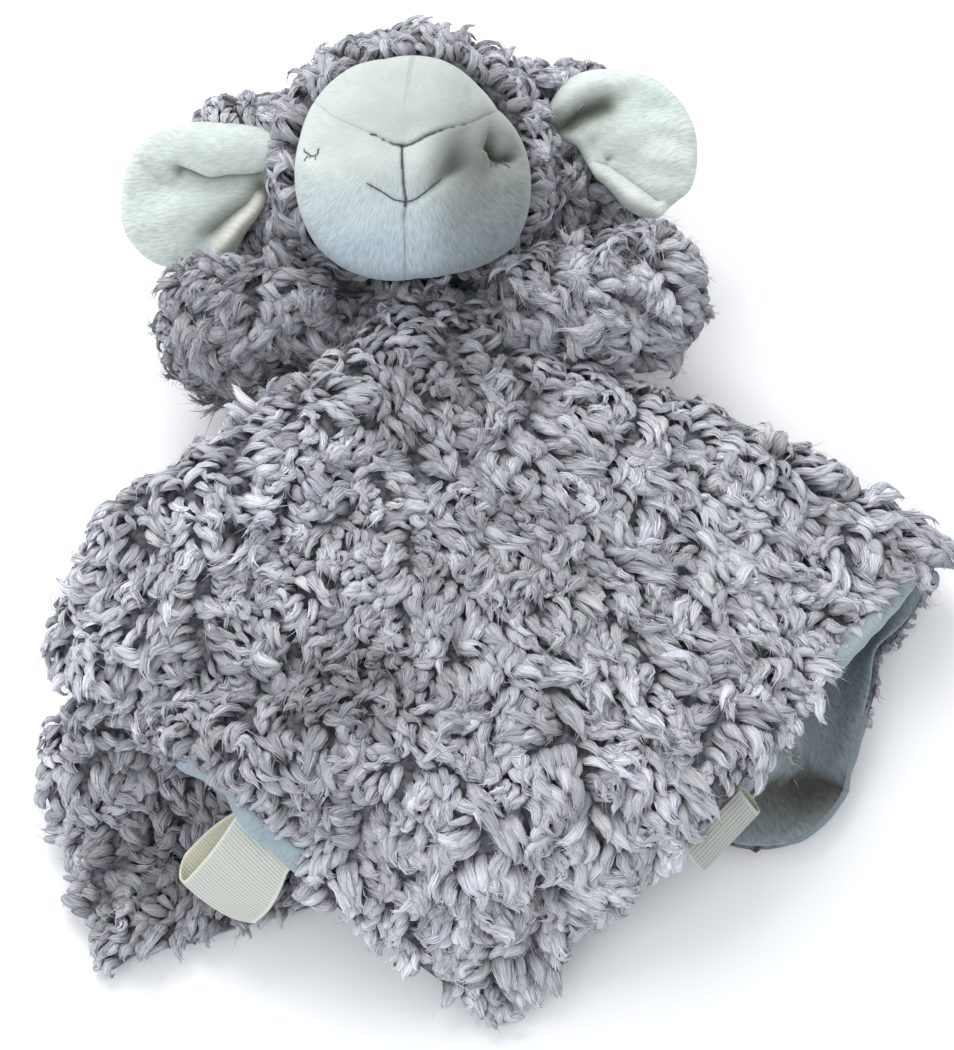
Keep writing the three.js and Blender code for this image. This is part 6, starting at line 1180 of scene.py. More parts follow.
def rim_distance(phi):
    """from the nose point to the outline, in direction phi"""
    lo, hi = np.zeros_like(phi), np.full_like(phi, 60.0)
    for _ in range(40):
        mid = (lo + hi) / 2
        x, y = NOSE[0] + mid * np.cos(phi), NOSE[1] + mid * np.sin(phi)
        inside = np.hypot(x, y) < face_radius(np.arctan2(y, x))
        lo, hi = np.where(inside, mid, lo), np.where(inside, hi, mid)
    return lo


def face_panel(name, node, seam_a, ang_a, seam_b, ang_b, nt, tone):
    """one velour panel: a fan from the nose point to the rim between two seams, ang_a to ang_b"""
    ns, nk = 84, 7
    x = np.linspace(0.012, 1.0, ns)
    s = np.sin(x * np.pi / 2) ** 1.15
    t = np.linspace(0, 1, nt)
    t = t + 0.35 / (2 * np.pi) * -np.sin(2 * np.pi * t)      # closer rows beside the seams
    pos = np.zeros((nt, ns + nk, 3))
    uv2 = np.zeros((nt, ns + nk, 2))
    for i in range(nt):
        r = np.full(ns, 1.0)
        phi = np.full(ns, (1 - t[i]) * ang_a + t[i] * ang_b)
        for _ in range(6):
            r = s * rim_distance(phi)
            phi = (1 - t[i]) * seam_angle(seam_a, r, ang_a) + t[i] * seam_angle(seam_b, r, ang_b)
        u, v = NOSE[0] + r * np.cos(phi), NOSE[1] + r * np.sin(phi)
        pos[i, :ns] = face_point(u, v)
        uv2[i, :ns] = np.stack([u, v], 1)
        th = np.arctan2(v[-1], u[-1])
        rad = face_radius(th)
        psi = np.linspace(0, 1, nk + 1)[1:] * math.radians(68)
        rr = rad - 3.4 * (1 - np.cos(psi))
        hh = FACE_EQ - (FACE_EQ - FACE_RIM + 0.6) * np.sin(psi) / math.sin(math.radians(68))
        pos[i, ns:] = hp(rr * math.cos(th), rr * math.sin(th), hh)
        uv2[i, ns:] = np.stack([rr * math.cos(th), rr * math.sin(th)], 1)
    nrm = grid_normals(pos)
    if ((nrm * AX).sum(-1)).mean() < 0:
        nrm = -nrm
    # pull both seam edges in, so that the cloth turns under at the seam
    fold = np.zeros((nt, 1))
    fold[[0, -1]] = 1
    k = max(2, nt // 40)
    fold[1:k, 0] = np.linspace(0.6, 0.0, k)[:-1]
    fold[-k:-1, 0] = np.linspace(0.6, 0.0, k)[:-1][::-1]
    pos = pos - nrm * fold[..., None] * 0.12
    co, f = layer_mesh(pos, nrm, -1.4, 0.0)
    c0 = co[f].mean(1)
    v0, v1, v2 = co[f[:, 0]], co[f[:, 1]], co[f[:, 2]]
    if np.einsum("ij,ij->i", v0 - co.mean(0), np.cross(v1 - co.mean(0), v2 - co.mean(0))).sum() < 0:
        f = f[:, ::-1]
    U, V = uv2[..., 0].ravel(), uv2[..., 1].ravel()
    # nap is brushed outwards from the nose and mouth
    c = np.array([-2.5, 14.0])
    ang = np.arctan2(V - c[1], U - c[0] + 1e-6)
    rr = np.hypot(U - c[0], V - c[1])
    nap = np.stack([np.unwrap(ang) * 26.0, rr], 1)
    col = face_tint(U, V)
    col[:, :3] *= tone
    o = make_object(name, co, f, FACE_VELOUR, "head", uvs={"nap": np.concatenate([nap, nap])},
                    tint=np.concatenate([col, col]))
    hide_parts(node)
    return o


FACE_VELOUR = nap_material("pale_velour_face", dark=0.78, strength=0.6)
EAR_VELOUR = nap_material("pale_velour_ears", dark=0.80, strength=0.6, across=1.4, along=0.3)

A_L, A_R, A_C = (math.atan2(*(c[-1] - NOSE)[::-1]) for c in (SEAM_L, SEAM_R, SEAM_C))
face_top = face_panel("face_forehead", "face_top_panel", SEAM_R, A_R, SEAM_L, A_L, 130, 1.0)
face_left = face_panel("face_left_cheek", "face_left_panel", SEAM_L, A_L, SEAM_C, A_C + 2 * math.pi, 120, 1.0)
# the right cheek panel's tone is a little lower, as painted shade on the side turned from the light
face_right = face_panel("face_right_cheek", "face_right_panel", SEAM_C, A_C, SEAM_R, A_R, 130, 0.985)

# ------------------------------------------------------------------ embroidery
THREAD, _n, _l, _b = node_material("grey_thread", lin(92, 97, 108), 0.7)
_b.inputs["Sheen Weight"].default_value = 0.3
_uv = _n.new("ShaderNodeTexCoord")
_w = tex(_n, "ShaderNodeTexWave", Scale=900.0, Distortion=1.5, Detail=1.0)
_l.new(_uv.outputs["Object"], _w.inputs["Vector"])
_cr = _n.new("ShaderNodeValToRGB")
_cr.color_ramp.elements[0].color = (*lin(66, 70, 82), 1)
_cr.color_ramp.elements[1].color = (*lin(112, 118, 130), 1)
_l.new(_w.outputs["Fac"], _cr.inputs[0])
_l.new(_cr.outputs[0], _b.inputs["Base Color"])
_bp = _n.new("ShaderNodeBump")
_bp.inputs["Strength"].default_value = 0.6
_bp.inputs["Distance"].default_value = 0.0002
_l.new(_w.outputs["Fac"], _bp.inputs["Height"])
_l.new(_bp.outputs[0], _b.inputs["Normal"])


def stitches(name, node, runs):
    """runs of small sewn stitches over the face: (points, stitch length, thread radius)"""
    paths, radii, ups = [], [], []
    rr = np.random.default_rng(5)
    R = 9
    for pts, step, rad in runs:
        line = curve(pts, 200)
        L = np.concatenate([[0], np.cumsum(np.linalg.norm(np.diff(line, axis=0), axis=1))])
        k = max(1, int(round(L[-1] / step)))
        for i in range(k):
            a, b_ = (i - 0.12) / k * L[-1], (i + 1.12) / k * L[-1]
            q = np.linspace(max(a, 0), min(b_, L[-1]), R)
            x, y = np.interp(q, L, line[:, 0]), np.interp(q, L, line[:, 1])
            j = rr.normal(0, 0.10, 2)
            x, y = x + j[0], y + j[1]
            arc = np.sin(np.linspace(0, 1, R) * np.pi)
            P = face_point(x, y, lift=-0.25 + 0.55 * arc ** 0.5)
            paths.append(P)
            radii.append(rad * (0.55 + 0.45 * arc ** 0.4) * rr.uniform(0.9, 1.1))
            up = face_point(x, y, lift=2.0) - face_point(x, y, lift=0.0)
            ups.append(unit(up))
    co, f = tubes(np.array(paths), np.array(radii), np.array(ups), sides=7)
    o = make_object(name, co, f, THREAD, "head")
    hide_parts(node)
    return o


stitches("nose_mouth_embroidery", "nose_mouth_stitch", [
    ([(-12.9, 10.4), (-11.6, 10.0), (-10.8, 9.6)], 1.3, 0.19),
    ([(-9.4, 8.9), (-8.3, 8.3)], 1.4, 0.17),
    ([(-7.4, 7.9), (-5.8, 7.2), (-3.2, 6.8)], 2.3, 0.20),
    ([(-3.2, 6.8), (-1.3, 7.0), (1.5, 8.2), (4.6, 9.9), (7.4, 11.0)], 2.4, 0.27),
    ([(8.0, 11.2), (9.4, 11.7)], 1.6, 0.18),
    ([(11.6, 12.3), (12.8, 12.6)], 1.4, 0.15),
    ([(15.0, 13.1), (16.4, 13.4)], 1.5, 0.15),
    ([(-3.2, 6.9), (-3.1, 3.2), (-3.0, -0.3), (-2.7, -5.3), (-2.2, -10.3)], 2.6, 0.28),
    ([(-3.5, 5.6), (-3.5, 2.6), (-3.3, -0.6)], 3.1, 0.17),
    ([(-14.0, -4.3), (-11.8, -5.6), (-8.7, -7.4), (-5.7, -9.2), (-2.2, -10.3)], 2.5, 0.24),
    ([(-2.2, -10.3), (0.9, -9.3), (3.5, -7.4), (6.5, -5.0), (9.1, -2.8)], 2.5, 0.27),
    ([(-2.2, -10.1), (-2.6, -11.7)], 1.8, 0.25)])
stitches("left_eye_embroidery", "eye_left_stitch", [
    ([(-33.2, 6.1), (-32.6, 4.7), (-31.1, 3.8), (-29.3, 4.3), (-28.3, 5.9)], 1.5, 0.21),
    ([(-31.8, 4.0), (-32.9, 1.9)], 3.0, 0.16),
    ([(-29.9, 4.2), (-29.5, 2.4)], 3.0, 0.16),
    ([(-32.5, 4.7), (-33.3, 5.2)], 3.0, 0.14),
    ([(-31.0, 3.9), (-31.9, 2.9)], 3.0, 0.14)])
stitches("right_eye_embroidery", "eye_right_stitch", [
    ([(24.0, 4.4), (25.6, 2.8), (28.2, 2.1), (31.6, 2.8)], 1.8, 0.27),
    ([(24.4, 3.4), (23.7, 0.0)], 4.0, 0.17),
    ([(25.9, 2.6), (25.5, 0.3)], 4.0, 0.20),
    ([(26.2, 2.6), (26.9, 1.0)], 4.0, 0.15),
    ([(28.8, 2.0), (29.9, -0.2)], 4.0, 0.20),
    ([(31.2, 2.6), (32.6, 2.9)], 4.0, 0.16)])


# ------------------------------------------------------------------ fibre fill, covers and pile of the head and arms
FIBRE, _n, _l, _b = node_material("polyester_fibre", lin(240, 240, 238), 0.95)
_co = _n.new("ShaderNodeTexCoord")
_no = tex(_n, "ShaderNodeTexNoise", Scale=260.0, Detail=6.0, Distortion=1.2)
_l.new(_co.outputs["Object"], _no.inputs["Vector"])
_cr = _n.new("ShaderNodeValToRGB")
_cr.color_ramp.elements[0].color = (*lin(206, 207, 208), 1)
_cr.color_ramp.elements[0].position = 0.35
_cr.color_ramp.elements[1].color = (*lin(248, 248, 246), 1)
_cr.color_ramp.elements[1].position = 0.65
_l.new(_no.outputs["Fac"], _cr.inputs[0])
_l.new(_cr.outputs[0], _b.inputs["Base Color"])
_bp = _n.new("ShaderNodeBump")
_bp.inputs["Strength"].default_value = 0.8
_bp.inputs["Distance"].default_value = 0.001
_l.new(_no.outputs["Fac"], _bp.inputs["Height"])
_l.new(_bp.outputs[0], _b.inputs["Normal"])


def head_place(r, h, ang):
    return hp(r * np.cos(ang), r * np.sin(ang) * 0.95, h)


def ball_profile(R, rim, n=26):
    a = np.linspace(np.pi, math.acos(rim / R), n)
    return [(R * math.sin(x), R * math.cos(x)) for x in a]


outer = ball_profile(43.6, 24.0)
inner = ball_profile(40.9, 22.6)[::-1]
co, f = revolve([(0.0, outer[0][1])] + outer[1:] + inner[:-1] + [(0.0, inner[-1][1])], 96, head_place)
head_cover = make_object("head_fleece_cover", co, f, KNIT, "head")
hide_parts("head_back_cover")

fill = ball_profile(40.2, 20.0)
top = [(x, 20.0 + 27.0 * (1 - (x / 33.5) ** 2.4) ** (1 / 2.4)) for x in np.linspace(33.4, 0.0, 18)]
co, f = revolve([(0.0, fill[0][1])] + fill[1:-1] + [t for t in top[:-1]] + [(0.0, top[-1][1])], 72, head_place)
w_ = 0.5 * np.sin(co[:, :1] * 0.7 + np.sin(co[:, 1:2] * 0.9)) * np.sin(co[:, 2:3] * 0.8)
co = co - unit(co - HEAD) * (0.5 + np.abs(w_))
head_fill = make_object("head_fibre_fill", co, f, FIBRE, "head")
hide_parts("head_stuffing")


def pile_on(name, body, p, n, comb, L, W, lean0, lean1, curl, tone, seed, flat=0.45, cup=0.5, count=6, thick=0.30,
            rings=8, sides=6, over=0.22, stray=0.12, chunk=780, shade_at_root=0.42, rag=0.14, tip=0.12, power=1.3,
            floor_z=0.3, sway=0.3, together=0.0):
    N = len(p)
    out = []
    r = np.random.default_rng(seed + 7)
    sway, phase = r.normal(0, sway, N), r.uniform(0, 6.3, N)
    if together:
        comb, lead, dist = clump(p, n, comb, together, np.mean(L) * 0.85, seed + 8)
        curl, lean1, L = shared(curl, lead, 0.75), shared(lean1, lead, 0.5), shared(L, lead, 0.5)
        L = L * (1.08 - 0.14 * dist)
        sway, phase = shared(sway, lead, 0.8), phase[lead] + r.normal(0, 0.5, N)
        # painted shade: locks at a clump's edge are darker than those at its middle
        tone = tone * (1 + 0.08 * r.normal(0, 1, N)[lead]) * (1.08 - 0.16 * dist ** 2)
    for gi, lo in enumerate(range(0, N, chunk)):
        s = slice(lo, min(lo + chunk, N))
        vtx, uv, path, d, w, q, prof = locks(p[s], n[s], comb[s], L[s], W[s], lean0[s], lean1[s], curl[s], seed=seed + gi,
                                             rings=rings, sides=sides, flat=flat, cup=cup, rag=rag, tip=tip,
                                             power=power, floor_z=floor_z, sway=sway[s], phase=phase[s])
        tint = lock_tint(len(vtx), rings, tone[s], seed + 50 + gi, shade_at_root)
        ex = strands(path, d, w, q, W[s], L[s], flat, cup, prof, count, seed + 90 + gi, thick=thick, over=over,
                     stray=stray, floor_z=floor_z, rings=5)
        out.append(pile_piece("%s_%02d" % (name, gi) if N > chunk else name, body, vtx, uv, tint, ex))
    return out


def turned(c, n, ang):
    return np.cos(ang)[:, None] * c + np.sin(ang)[:, None] * np.cross(n, c)


def ball_points(N, seed):
    r = np.random.default_rng(seed)
    i = np.arange(N) + 0.5
    z = 1 - 2 * i / N
    a = i * 2.399963 + r.normal(0, 0.25, N) * 0.3
    z = np.clip(z + r.normal(0, 0.35 / math.sqrt(N), N), -1, 1)
    s = np.sqrt(1 - z * z)
    return np.stack([s * np.cos(a), s * np.sin(a), z], 1)


def head_pile():
    r = np.random.default_rng(31)
    b3 = ball_points(3100, 12)
    b3 = b3[b3[:, 2] < 0.555]
    R = 43.6
    p = hp(R * b3[:, 0], R * b3[:, 1] * 0.95, R * b3[:, 2])
    n = unit(b3[:, :1] * E1 + (b3[:, 1:2] / 0.95) * E2 + b3[:, 2:] * AX)
    # nothing grows where the neck is sewn in, and little where the head lies on the table
    neck = np.array([-18.0, 74.0, 34.0])
    keep = np.linalg.norm((p - neck) * [1, 1, 1.4], axis=1) > 17
    # fewer locks where the head faces straight down
    keep &= ~((n[:, 2] < -0.8) & (r.random(len(p)) < 0.4))
    p, n, b3 = p[keep], n[keep], b3[keep]
    N = len(p)
    rim = smooth01(b3[:, 2], 0.2, 0.55)
    base = -AX * 0.8 + np.array([0.0, 0.35, 0.0])
    comb = tangent(base + r.normal(0, 0.3, (N, 3)), n)
    ang = r.normal(0, 1, N) * (1.4 - 0.6 * rim)
    comb = turned(comb, n, ang)
    L = (10.4 + 0.6 * rim) * r.uniform(0.75, 1.25, N)
    W = 3.1 * r.uniform(0.7, 1.3, N)
    lean0 = np.abs(r.normal(0.2, 0.25, N))
    lean1 = r.normal(2.6, 0.7, N)
    curl = r.normal(0, 1, N) * 1.5
    under = (n[:, 2] < 0) * np.clip(1 - (p[:, 2] - 2) / 10, 0, 1)
    L = L * (1 + 0.25 * smooth01(np.abs(b3[:, 0]), 0.55, 0.95) * (1 - under))
    L = L * (1 - 0.55 * under)
    # painted light: locks facing up are toned lighter, as if lit from above
    tone = np.full(N, 1.08) + 0.06 * smooth01(n[:, 2], 0.1, 0.8)
    # shaded hollow below the chin and beside the arms
    hollow = np.exp(-(((p - np.array([-20, 82, 50])) / [34, 14, 26]) ** 2).sum(1))
    tone = tone * (1 - 0.24 * hollow)
    return pile_on("head_pile", "head", p, n, comb, L, W, lean0, lean1, curl, tone, 1100, count=5, thick=0.26,
                   tip=0.2, over=0.2, shade_at_root=0.56, sway=0.5, together=6.8)


head_pile()

# ------------------------------------------------------------------ arms
# both arms' pile is one fleece; the right one's higher tone paints it lighter than the left, as painted light
ARMS = {
    "left": dict(root=np.array([-46.0, 68.0, 44.0]), end=np.array([-83.0, 60.0, 44.0]), tone=0.90),
    "right": dict(root=np.array([8.0, 66.0, 46.0]), end=np.array([54.0, 71.0, 45.0]), tone=1.18),
}


def arm(side):
    A = ARMS[side]
    body = "arm_" + side
    d = unit(A["end"] - A["root"])
    w = unit(np.cross(d, [0, 0, 1.0]))
    q = np.cross(w, d)
    L = np.linalg.norm(A["end"] - A["root"])

    def place(r, h, ang):
        return A["root"] + h[..., None] * d + (r * np.cos(ang))[..., None] * w + (r * np.sin(ang))[..., None] * q

    def outline(r0, r1, n=14):
        """tapered sleeve with a round end, from its open root"""
        out = [(r0 + (r1 - r0) * t, L * t) for t in np.linspace(0, 1, n)]
        out += [(r1 * math.cos(a), L + r1 * math.sin(a)) for a in np.linspace(0.12, np.pi / 2, 12)]
        return out
    out = outline(12.0, 19.4)
    inn = outline(9.8, 17.1)[::-1]
    # open sleeve: the loop closes on itself at the root
    loop = out[:-1] + [(0.0, out[-1][1])]
    back = [(0.0, inn[0][1])] + inn[1:]
    n = 64
    ang = np.arange(n) / n * 2 * np.pi

    def rings(pr):
        pr = np.array(pr)
        return place(pr[:, 0][:, None] * np.ones(n), pr[:, 1][:, None] * np.ones(n), np.broadcast_to(ang, (len(pr), n)))
    a_ = np.array(loop)
    b_ = np.array(back)
    a_[-1, 0] = 0.05
    b_[0, 0] = 0.05
    prof = np.concatenate([a_, b_])
    P = rings(prof)
    m = len(prof)
    i, k = np.meshgrid(np.arange(m), np.arange(n), indexing="ij")
    f = tris(np.stack([(i * n + k).ravel(), (i * n + (k + 1) % n).ravel(),
                       ((i + 1) % m * n + (k + 1) % n).ravel(), ((i + 1) % m * n + k).ravel()], 1))
    co = P.reshape(-1, 3)
    v0, v1, v2 = co[f[:, 0]], co[f[:, 1]], co[f[:, 2]]
    if np.einsum("ij,ij->i", v0 - co.mean(0), np.cross(v1 - co.mean(0), v2 - co.mean(0))).sum() < 0:
        f = f[:, ::-1]
    cover = make_object(body + "_fleece_cover", co, f, KNIT, body)
    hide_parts(body + "_cover")
    st = outline(9.3, 16.7)
    co, f = revolve([(0.0, 0.3)] + [(9.0, 0.3)] + st[1:-1] + [(0.0, st[-1][1])], 48, place)
    w_ = np.sin(co[:, :1] * 0.8 + np.sin(co[:, 1:2])) * np.sin(co[:, 2:3] * 0.9)
    fill_ = make_object(body + "_fibre_fill", co - unit(co - (A["root"] + A["end"]) / 2) * 0.3 * np.abs(w_), f, FIBRE, body)
    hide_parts(body + "_stuffing")
    # long brushed pile, out from the root and round the end
    r = np.random.default_rng(41 if side == "left" else 42)
    M = 1120
    area_t = r.random(M) ** 0.85
    i = np.arange(M)
    tt = (i + 0.5) / M
    hh = tt * (L + 19.4)
    a = i * 2.399963 + r.normal(0, 0.2, M)
    rad = np.where(hh < L, 12 + 7.4 * hh / L, np.sqrt(np.maximum(19.4 ** 2 - (hh - L) ** 2, 0.5)))
    keep = r.random(M) < rad / 19.4 + 0.12
    hh, a, rad = hh[keep], a[keep], rad[keep]
    p = place(rad, hh, a)
    c = A["root"] + np.clip(hh, 0, L)[:, None] * d
    n = unit(p - c - 0.16 * 0 * d)
    M = len(p)
    comb = tangent(d * 0.55 + np.array([0, -0.55, -0.15]) + r.normal(0, 0.35, (M, 3)), n)
    comb = turned(comb, n, r.normal(0, 1, M) * 0.75)
    LL = 12.4 * r.uniform(0.7, 1.25, M)
    LL = LL * (1 - 0.45 * smooth01(hh, L, L + 19))
    W = 3.2 * r.uniform(0.65, 1.3, M)
    lean0 = np.abs(r.normal(0.45, 0.25, M))
    lean1 = r.normal(2.5, 0.6, M)
    near_root = 1 - smooth01(hh, 0, 10)
    LL = LL * (1 - 0.2 * near_root)
    curl = r.normal(0, 1, M) * 1.0
    under = (n[:, 2] < -0.1) * np.clip(1 - (p[:, 2] - 14) / 14, 0, 1)
    LL = LL * (1 - 0.35 * under)
    # painted light and shade: locks facing up are lighter, and locks near the root, where the arm meets the body,
    # darker
    tone = A["tone"] * (0.86 + 0.18 * smooth01(n[:, 2], -0.2, 0.9)) * np.ones(M)
    root_sh = np.exp(-((hh / 9.0) ** 2))
    tone = tone * (1 - 0.25 * root_sh)
    pile_on(body + "_pile", body, p, n, comb, LL, W, lean0, lean1, curl, tone, 1300 if side == "left" else 1400,
            flat=0.42, count=9, thick=0.20, over=0.32, stray=0.30, tip=0.18, rag=0.14, shade_at_root=0.50,
            chunk=480, sway=0.5, together=8.0)
    return cover


arm("left")
arm("right")

# ------------------------------------------------------------------ neck
def neck():
    C = np.array([-18.0, 70.05, 32.0])

    def place(r, h, ang):
        return C + np.stack([r * np.cos(ang) * 17.0 / 9.5, h, r * np.sin(ang)], -1)
    k = 12
    sides_ = [(9.2 + 0.25 * math.sin(i * 2.1), y) for i, y in enumerate(np.linspace(-6.6, 6.6, k))]
    co, f = revolve([(0.0, -6.6)] + [(8.0, -6.7)] + sides_ + [(8.0, 6.7)] + [(0.0, 6.6)], 96, place)
    # gathers run along the neck
    ang = np.arctan2(co[:, 2] - C[2], (co[:, 0] - C[0]) * 9.5 / 17)
    rr = np.hypot(co[:, 2] - C[2], (co[:, 0] - C[0]) * 9.5 / 17)
    g = 1 - 0.05 * (1 + np.sin(ang * 22)) * (rr > 6)
    co[:, 0] = C[0] + (co[:, 0] - C[0]) * g
    co[:, 2] = C[2] + (co[:, 2] - C[2]) * g
    o = make_object("neck_gathered_cloth", co, f, KNIT, "neck")
    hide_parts("neck_gather")
    r = np.random.default_rng(51)
    M = 240
    a = r.uniform(0, 2 * np.pi, M)
    y = r.uniform(-6, 6, M)
    p = place(np.full(M, 9.2), y, a)
    n = unit(np.stack([np.cos(a) * 9.5 / 17, np.zeros(M), np.sin(a)], 1))
    comb = turned(tangent(np.tile([0.0, -1.0, 0.0], (M, 1)), n), n, r.normal(0, 1.2, M))
    # the neck's pile is toned darker (0.74), as painted shade under the chin
    pile_on("neck_pile", "neck", p, n, comb, 10.5 * r.uniform(0.7, 1.2, M), 4.2 * r.uniform(0.7, 1.3, M),
            np.abs(r.normal(0.3, 0.2, M)), r.normal(2.2, 0.7, M), r.normal(0, 1.2, M), np.full(M, 0.74), 1500)


neck()


# ------------------------------------------------------------------ ears
L_OUT = [(-44.8, 9.8), (-48.0, 11.5), (-52.3, 12.3), (-57.4, 13.1), (-62.1, 13.5), (-67.6, 13.8), (-73.6, 13.4),
         (-79.7, 11.9), (-84.0, 10.2), (-87.5, 8.1), (-90.6, 4.3), (-92.7, 0.5), (-94.0, -3.7), (-95.0, -8.8),
         (-95.4, -13.1), (-95.2, -17.3), (-94.1, -21.2), (-92.2, -24.2), (-89.8, -27.2), (-86.6, -29.6),
         (-83.2, -31.1), (-78.5, -32.2), (-73.3, -32.4), (-68.9, -32.0), (-65.0, -30.9), (-62.4, -29.8),
         (-60.6, -27.3), (-58.7, -23.8), (-56.2, -19.5), (-53.4, -16.2), (-51.0, -12.5), (-49.4, -8.0),
         (-48.4, -3.4), (-47.2, 0.6), (-45.6, 4.6)]
R_OUT = [(46.5, 19.5), (48.6, 23.7), (50.7, 26.7), (53.3, 28.6), (56.3, 29.9), (59.8, 30.7), (63.2, 31.0),
         (67.6, 30.7), (71.9, 30.1), (75.8, 29.3), (79.7, 27.8), (83.3, 25.2), (86.8, 22.1), (89.5, 18.7),
         (91.5, 14.9), (92.8, 10.6), (93.5, 6.4), (93.4, 2.1), (93.1, -1.8), (92.2, -5.2), (90.5, -7.8),
         (87.9, -9.9), (84.9, -12.5), (82.3, -15.1), (80.5, -16.0), (77.9, -15.5), (74.4, -14.0), (71.7, -12.3),
         (69.5, -9.9), (67.2, -7.3), (64.6, -4.7), (61.9, -2.6), (60.2, 0.0), (58.2, 3.6), (56.0, 7.4),
         (52.6, 9.6), (49.4, 10.4), (47.2, 12.3), (46.3, 16.1)]
L_CREASE = curve([(-45.0, 1.6), (-49.5, 0.8), (-53.0, 0.0), (-57.7, -0.3), (-61.6, -0.4), (-66.3, -1.2),
                  (-68.9, -0.8), (-71.5, 0.0), (-74.0, 0.7), (-77.0, 1.6)], 70)
L_SOFT = curve([(-88.2, 1.4), (-85.7, -1.6), (-83.2, -4.1), (-79.8, -5.4)], 30)
L_VALLEY = curve([(-72.5, -26.5), (-70.9, -24.7), (-68.6, -21.7), (-66.0, -19.5), (-61.6, -16.1), (-57.2, -13.1),
                  (-53.2, -10.5), (-50.0, -6.0)], 60)
L_STRIP = curve([(-67.5, -30.6), (-65.0, -28.6), (-62.9, -25.3), (-60.2, -21.7), (-57.0, -17.6), (-53.4, -13.9),
                 (-51.4, -10.0)], 60)
R_TOP = curve([(46.5, 19.5), (48.6, 23.7), (50.7, 26.7), (56.3, 29.9), (63.2, 31.0), (71.0, 30.3), (77.0, 28.9)], 60)
R_HOLLOW = curve([(47.8, 13.6), (51.5, 15.0), (56.0, 17.6), (60.4, 19.2), (63.8, 20.4)], 40)
R_CREASE = curve([(61.6, 1.3), (65.4, 0.2), (68.5, -1.5), (72.9, -4.3), (76.9, -7.3), (81.6, -10.9)], 50)
R_STRIP = curve([(60.4, -0.9), (64.6, -3.7), (68.5, -6.5), (72.5, -9.7), (77.0, -12.3), (81.4, -14.0)], 50)


def left_relief(u, v):
    P = np.stack([u, v], -1)
    h = 4.0 + 0.13 * (-u - 45.6)
    out = np.zeros(u.shape)
    crease_v = np.interp(-u, -L_CREASE[:, 0], L_CREASE[:, 1])
    top_v = np.interp(-u, [44.8, 52.3, 62.1, 73.6, 84.0, 90.6, 94.0], [9.8, 12.3, 13.5, 13.4, 10.2, 4.3, -3.7])
    # rolled upper edge, a soft half tube that fades towards the tip
    mid, half = (top_v + crease_v) / 2, np.maximum((top_v - crease_v) / 2, 1.0)
    x = np.clip((v - mid) / half, -1, 1)
    roll = np.sqrt(np.maximum(1 - x ** 2, 0)) * (np.abs(v - mid) < half)
    fade = 1 - smooth01(-u, 72, 86)
    out += 4.6 * roll * fade
    out += 2.2 * np.exp(-(((u + 86) / 7.0) ** 2 + ((v - 1.0) / 7.5) ** 2))
    d, s = seg_dist(P, L_CREASE)
    below = 1 - smooth01(v - crease_v, -0.4, 0.8)
    end = 1 - smooth01(-u, 74, 80)
    out -= below * (3.0 * np.exp(-(d / 2.8) ** 2) + 1.2 * np.exp(-(d / 8.0) ** 2)) * end
    out -= 2.4 * np.exp(-(((u + 77.5) / 2.3) ** 2 + ((v + 1.2) / 2.6) ** 2))
    out += 0.9 * np.exp(-(((u + 74.0) / 1.8) ** 2 + ((v + 0.6) / 2.2) ** 2))
    d, s = seg_dist(P, L_SOFT)
    out -= 1.0 * np.exp(-(d / 1.5) ** 2) * np.sin(np.clip(s, 0.03, 0.97) * np.pi) ** 0.5
    out -= 1.2 * np.exp(-(((u + 76) / 12.0) ** 2 + ((v + 7.0) / 3.0) ** 2))
    out += 3.0 * np.exp(-(((u + 79) / 13.0) ** 2 + ((v + 17) / 9.0) ** 2))
    d, s = seg_dist(P, L_VALLEY)
    line = np.interp(-u, -L_VALLEY[::-1, 0], L_VALLEY[::-1, 1])
    out -= 4.2 * np.exp(-(d / 3.0) ** 2) * smooth01(s, 0.0, 0.3)
    d, s = seg_dist(P, L_STRIP)
    out += 3.0 * np.exp(-(d / 2.0) ** 2) * smooth01(s, 0.0, 0.3)
    out += 0.35 * np.sin(u * 0.28 + 1.5 * np.sin(v * 0.16)) * np.sin(v * 0.33)
    return h + out


def right_relief(u, v):
    P = np.stack([u, v], -1)
    h = 2.0 + 0.14 * (u - 45.6)
    out = np.zeros(u.shape)
    # rolled band along the top edge
    d, s = seg_dist(P, R_TOP)
    width = 7.4
    out += 3.8 * np.sin(np.pi * np.clip(d / width, 0, 1)) ** 0.75 * (1 - smooth01(s, 0.7, 1.0))
    # deep hollow at the root, under the band
    d, s = seg_dist(P, R_HOLLOW)
    out -= 7.5 * np.exp(-(d / 3.7) ** 2.6) * np.interp(s, [0, 0.2, 0.8, 1], [0.6, 1, 1, 0.7])
    out += 2.4 * np.exp(-(((u - 71) / 7.0) ** 2 + ((v - 11) / 8.0) ** 2))
    out += 1.9 * np.exp(-(((u - 84) / 8.0) ** 2 + ((v - 2) / 9.0) ** 2))
    out -= 0.9 * np.exp(-(((u - 78) / 3.0) ** 2 + ((v - 16) / 10.0) ** 2))
    out -= 3.2 * np.exp(-(((u - 65.4) / 1.8) ** 2 + ((v - 3.0) / 1.6) ** 2))
    out -= 1.4 * np.exp(-(((u - 60.0) / 2.2) ** 2 + ((v - 7.5) / 3.0) ** 2))
    d, s = seg_dist(P, R_CREASE)
    out -= 1.9 * np.exp(-(d / 1.05) ** 2) * np.sin(np.clip(s, 0.05, 0.95) * np.pi) ** 0.5
    d, s = seg_dist(P, R_STRIP)
    out += 2.6 * np.exp(-(d / 2.3) ** 2)
    # slow waves across the tip
    out += 0.45 * np.sin(v * 0.62 + 0.8 * np.sin(u * 0.21)) * smooth01(u, 74, 84)
    out += 0.3 * np.sin(u * 0.31 + 1.4 * np.sin(v * 0.19)) * np.sin(v * 0.36 + 1.0)
    return h + out


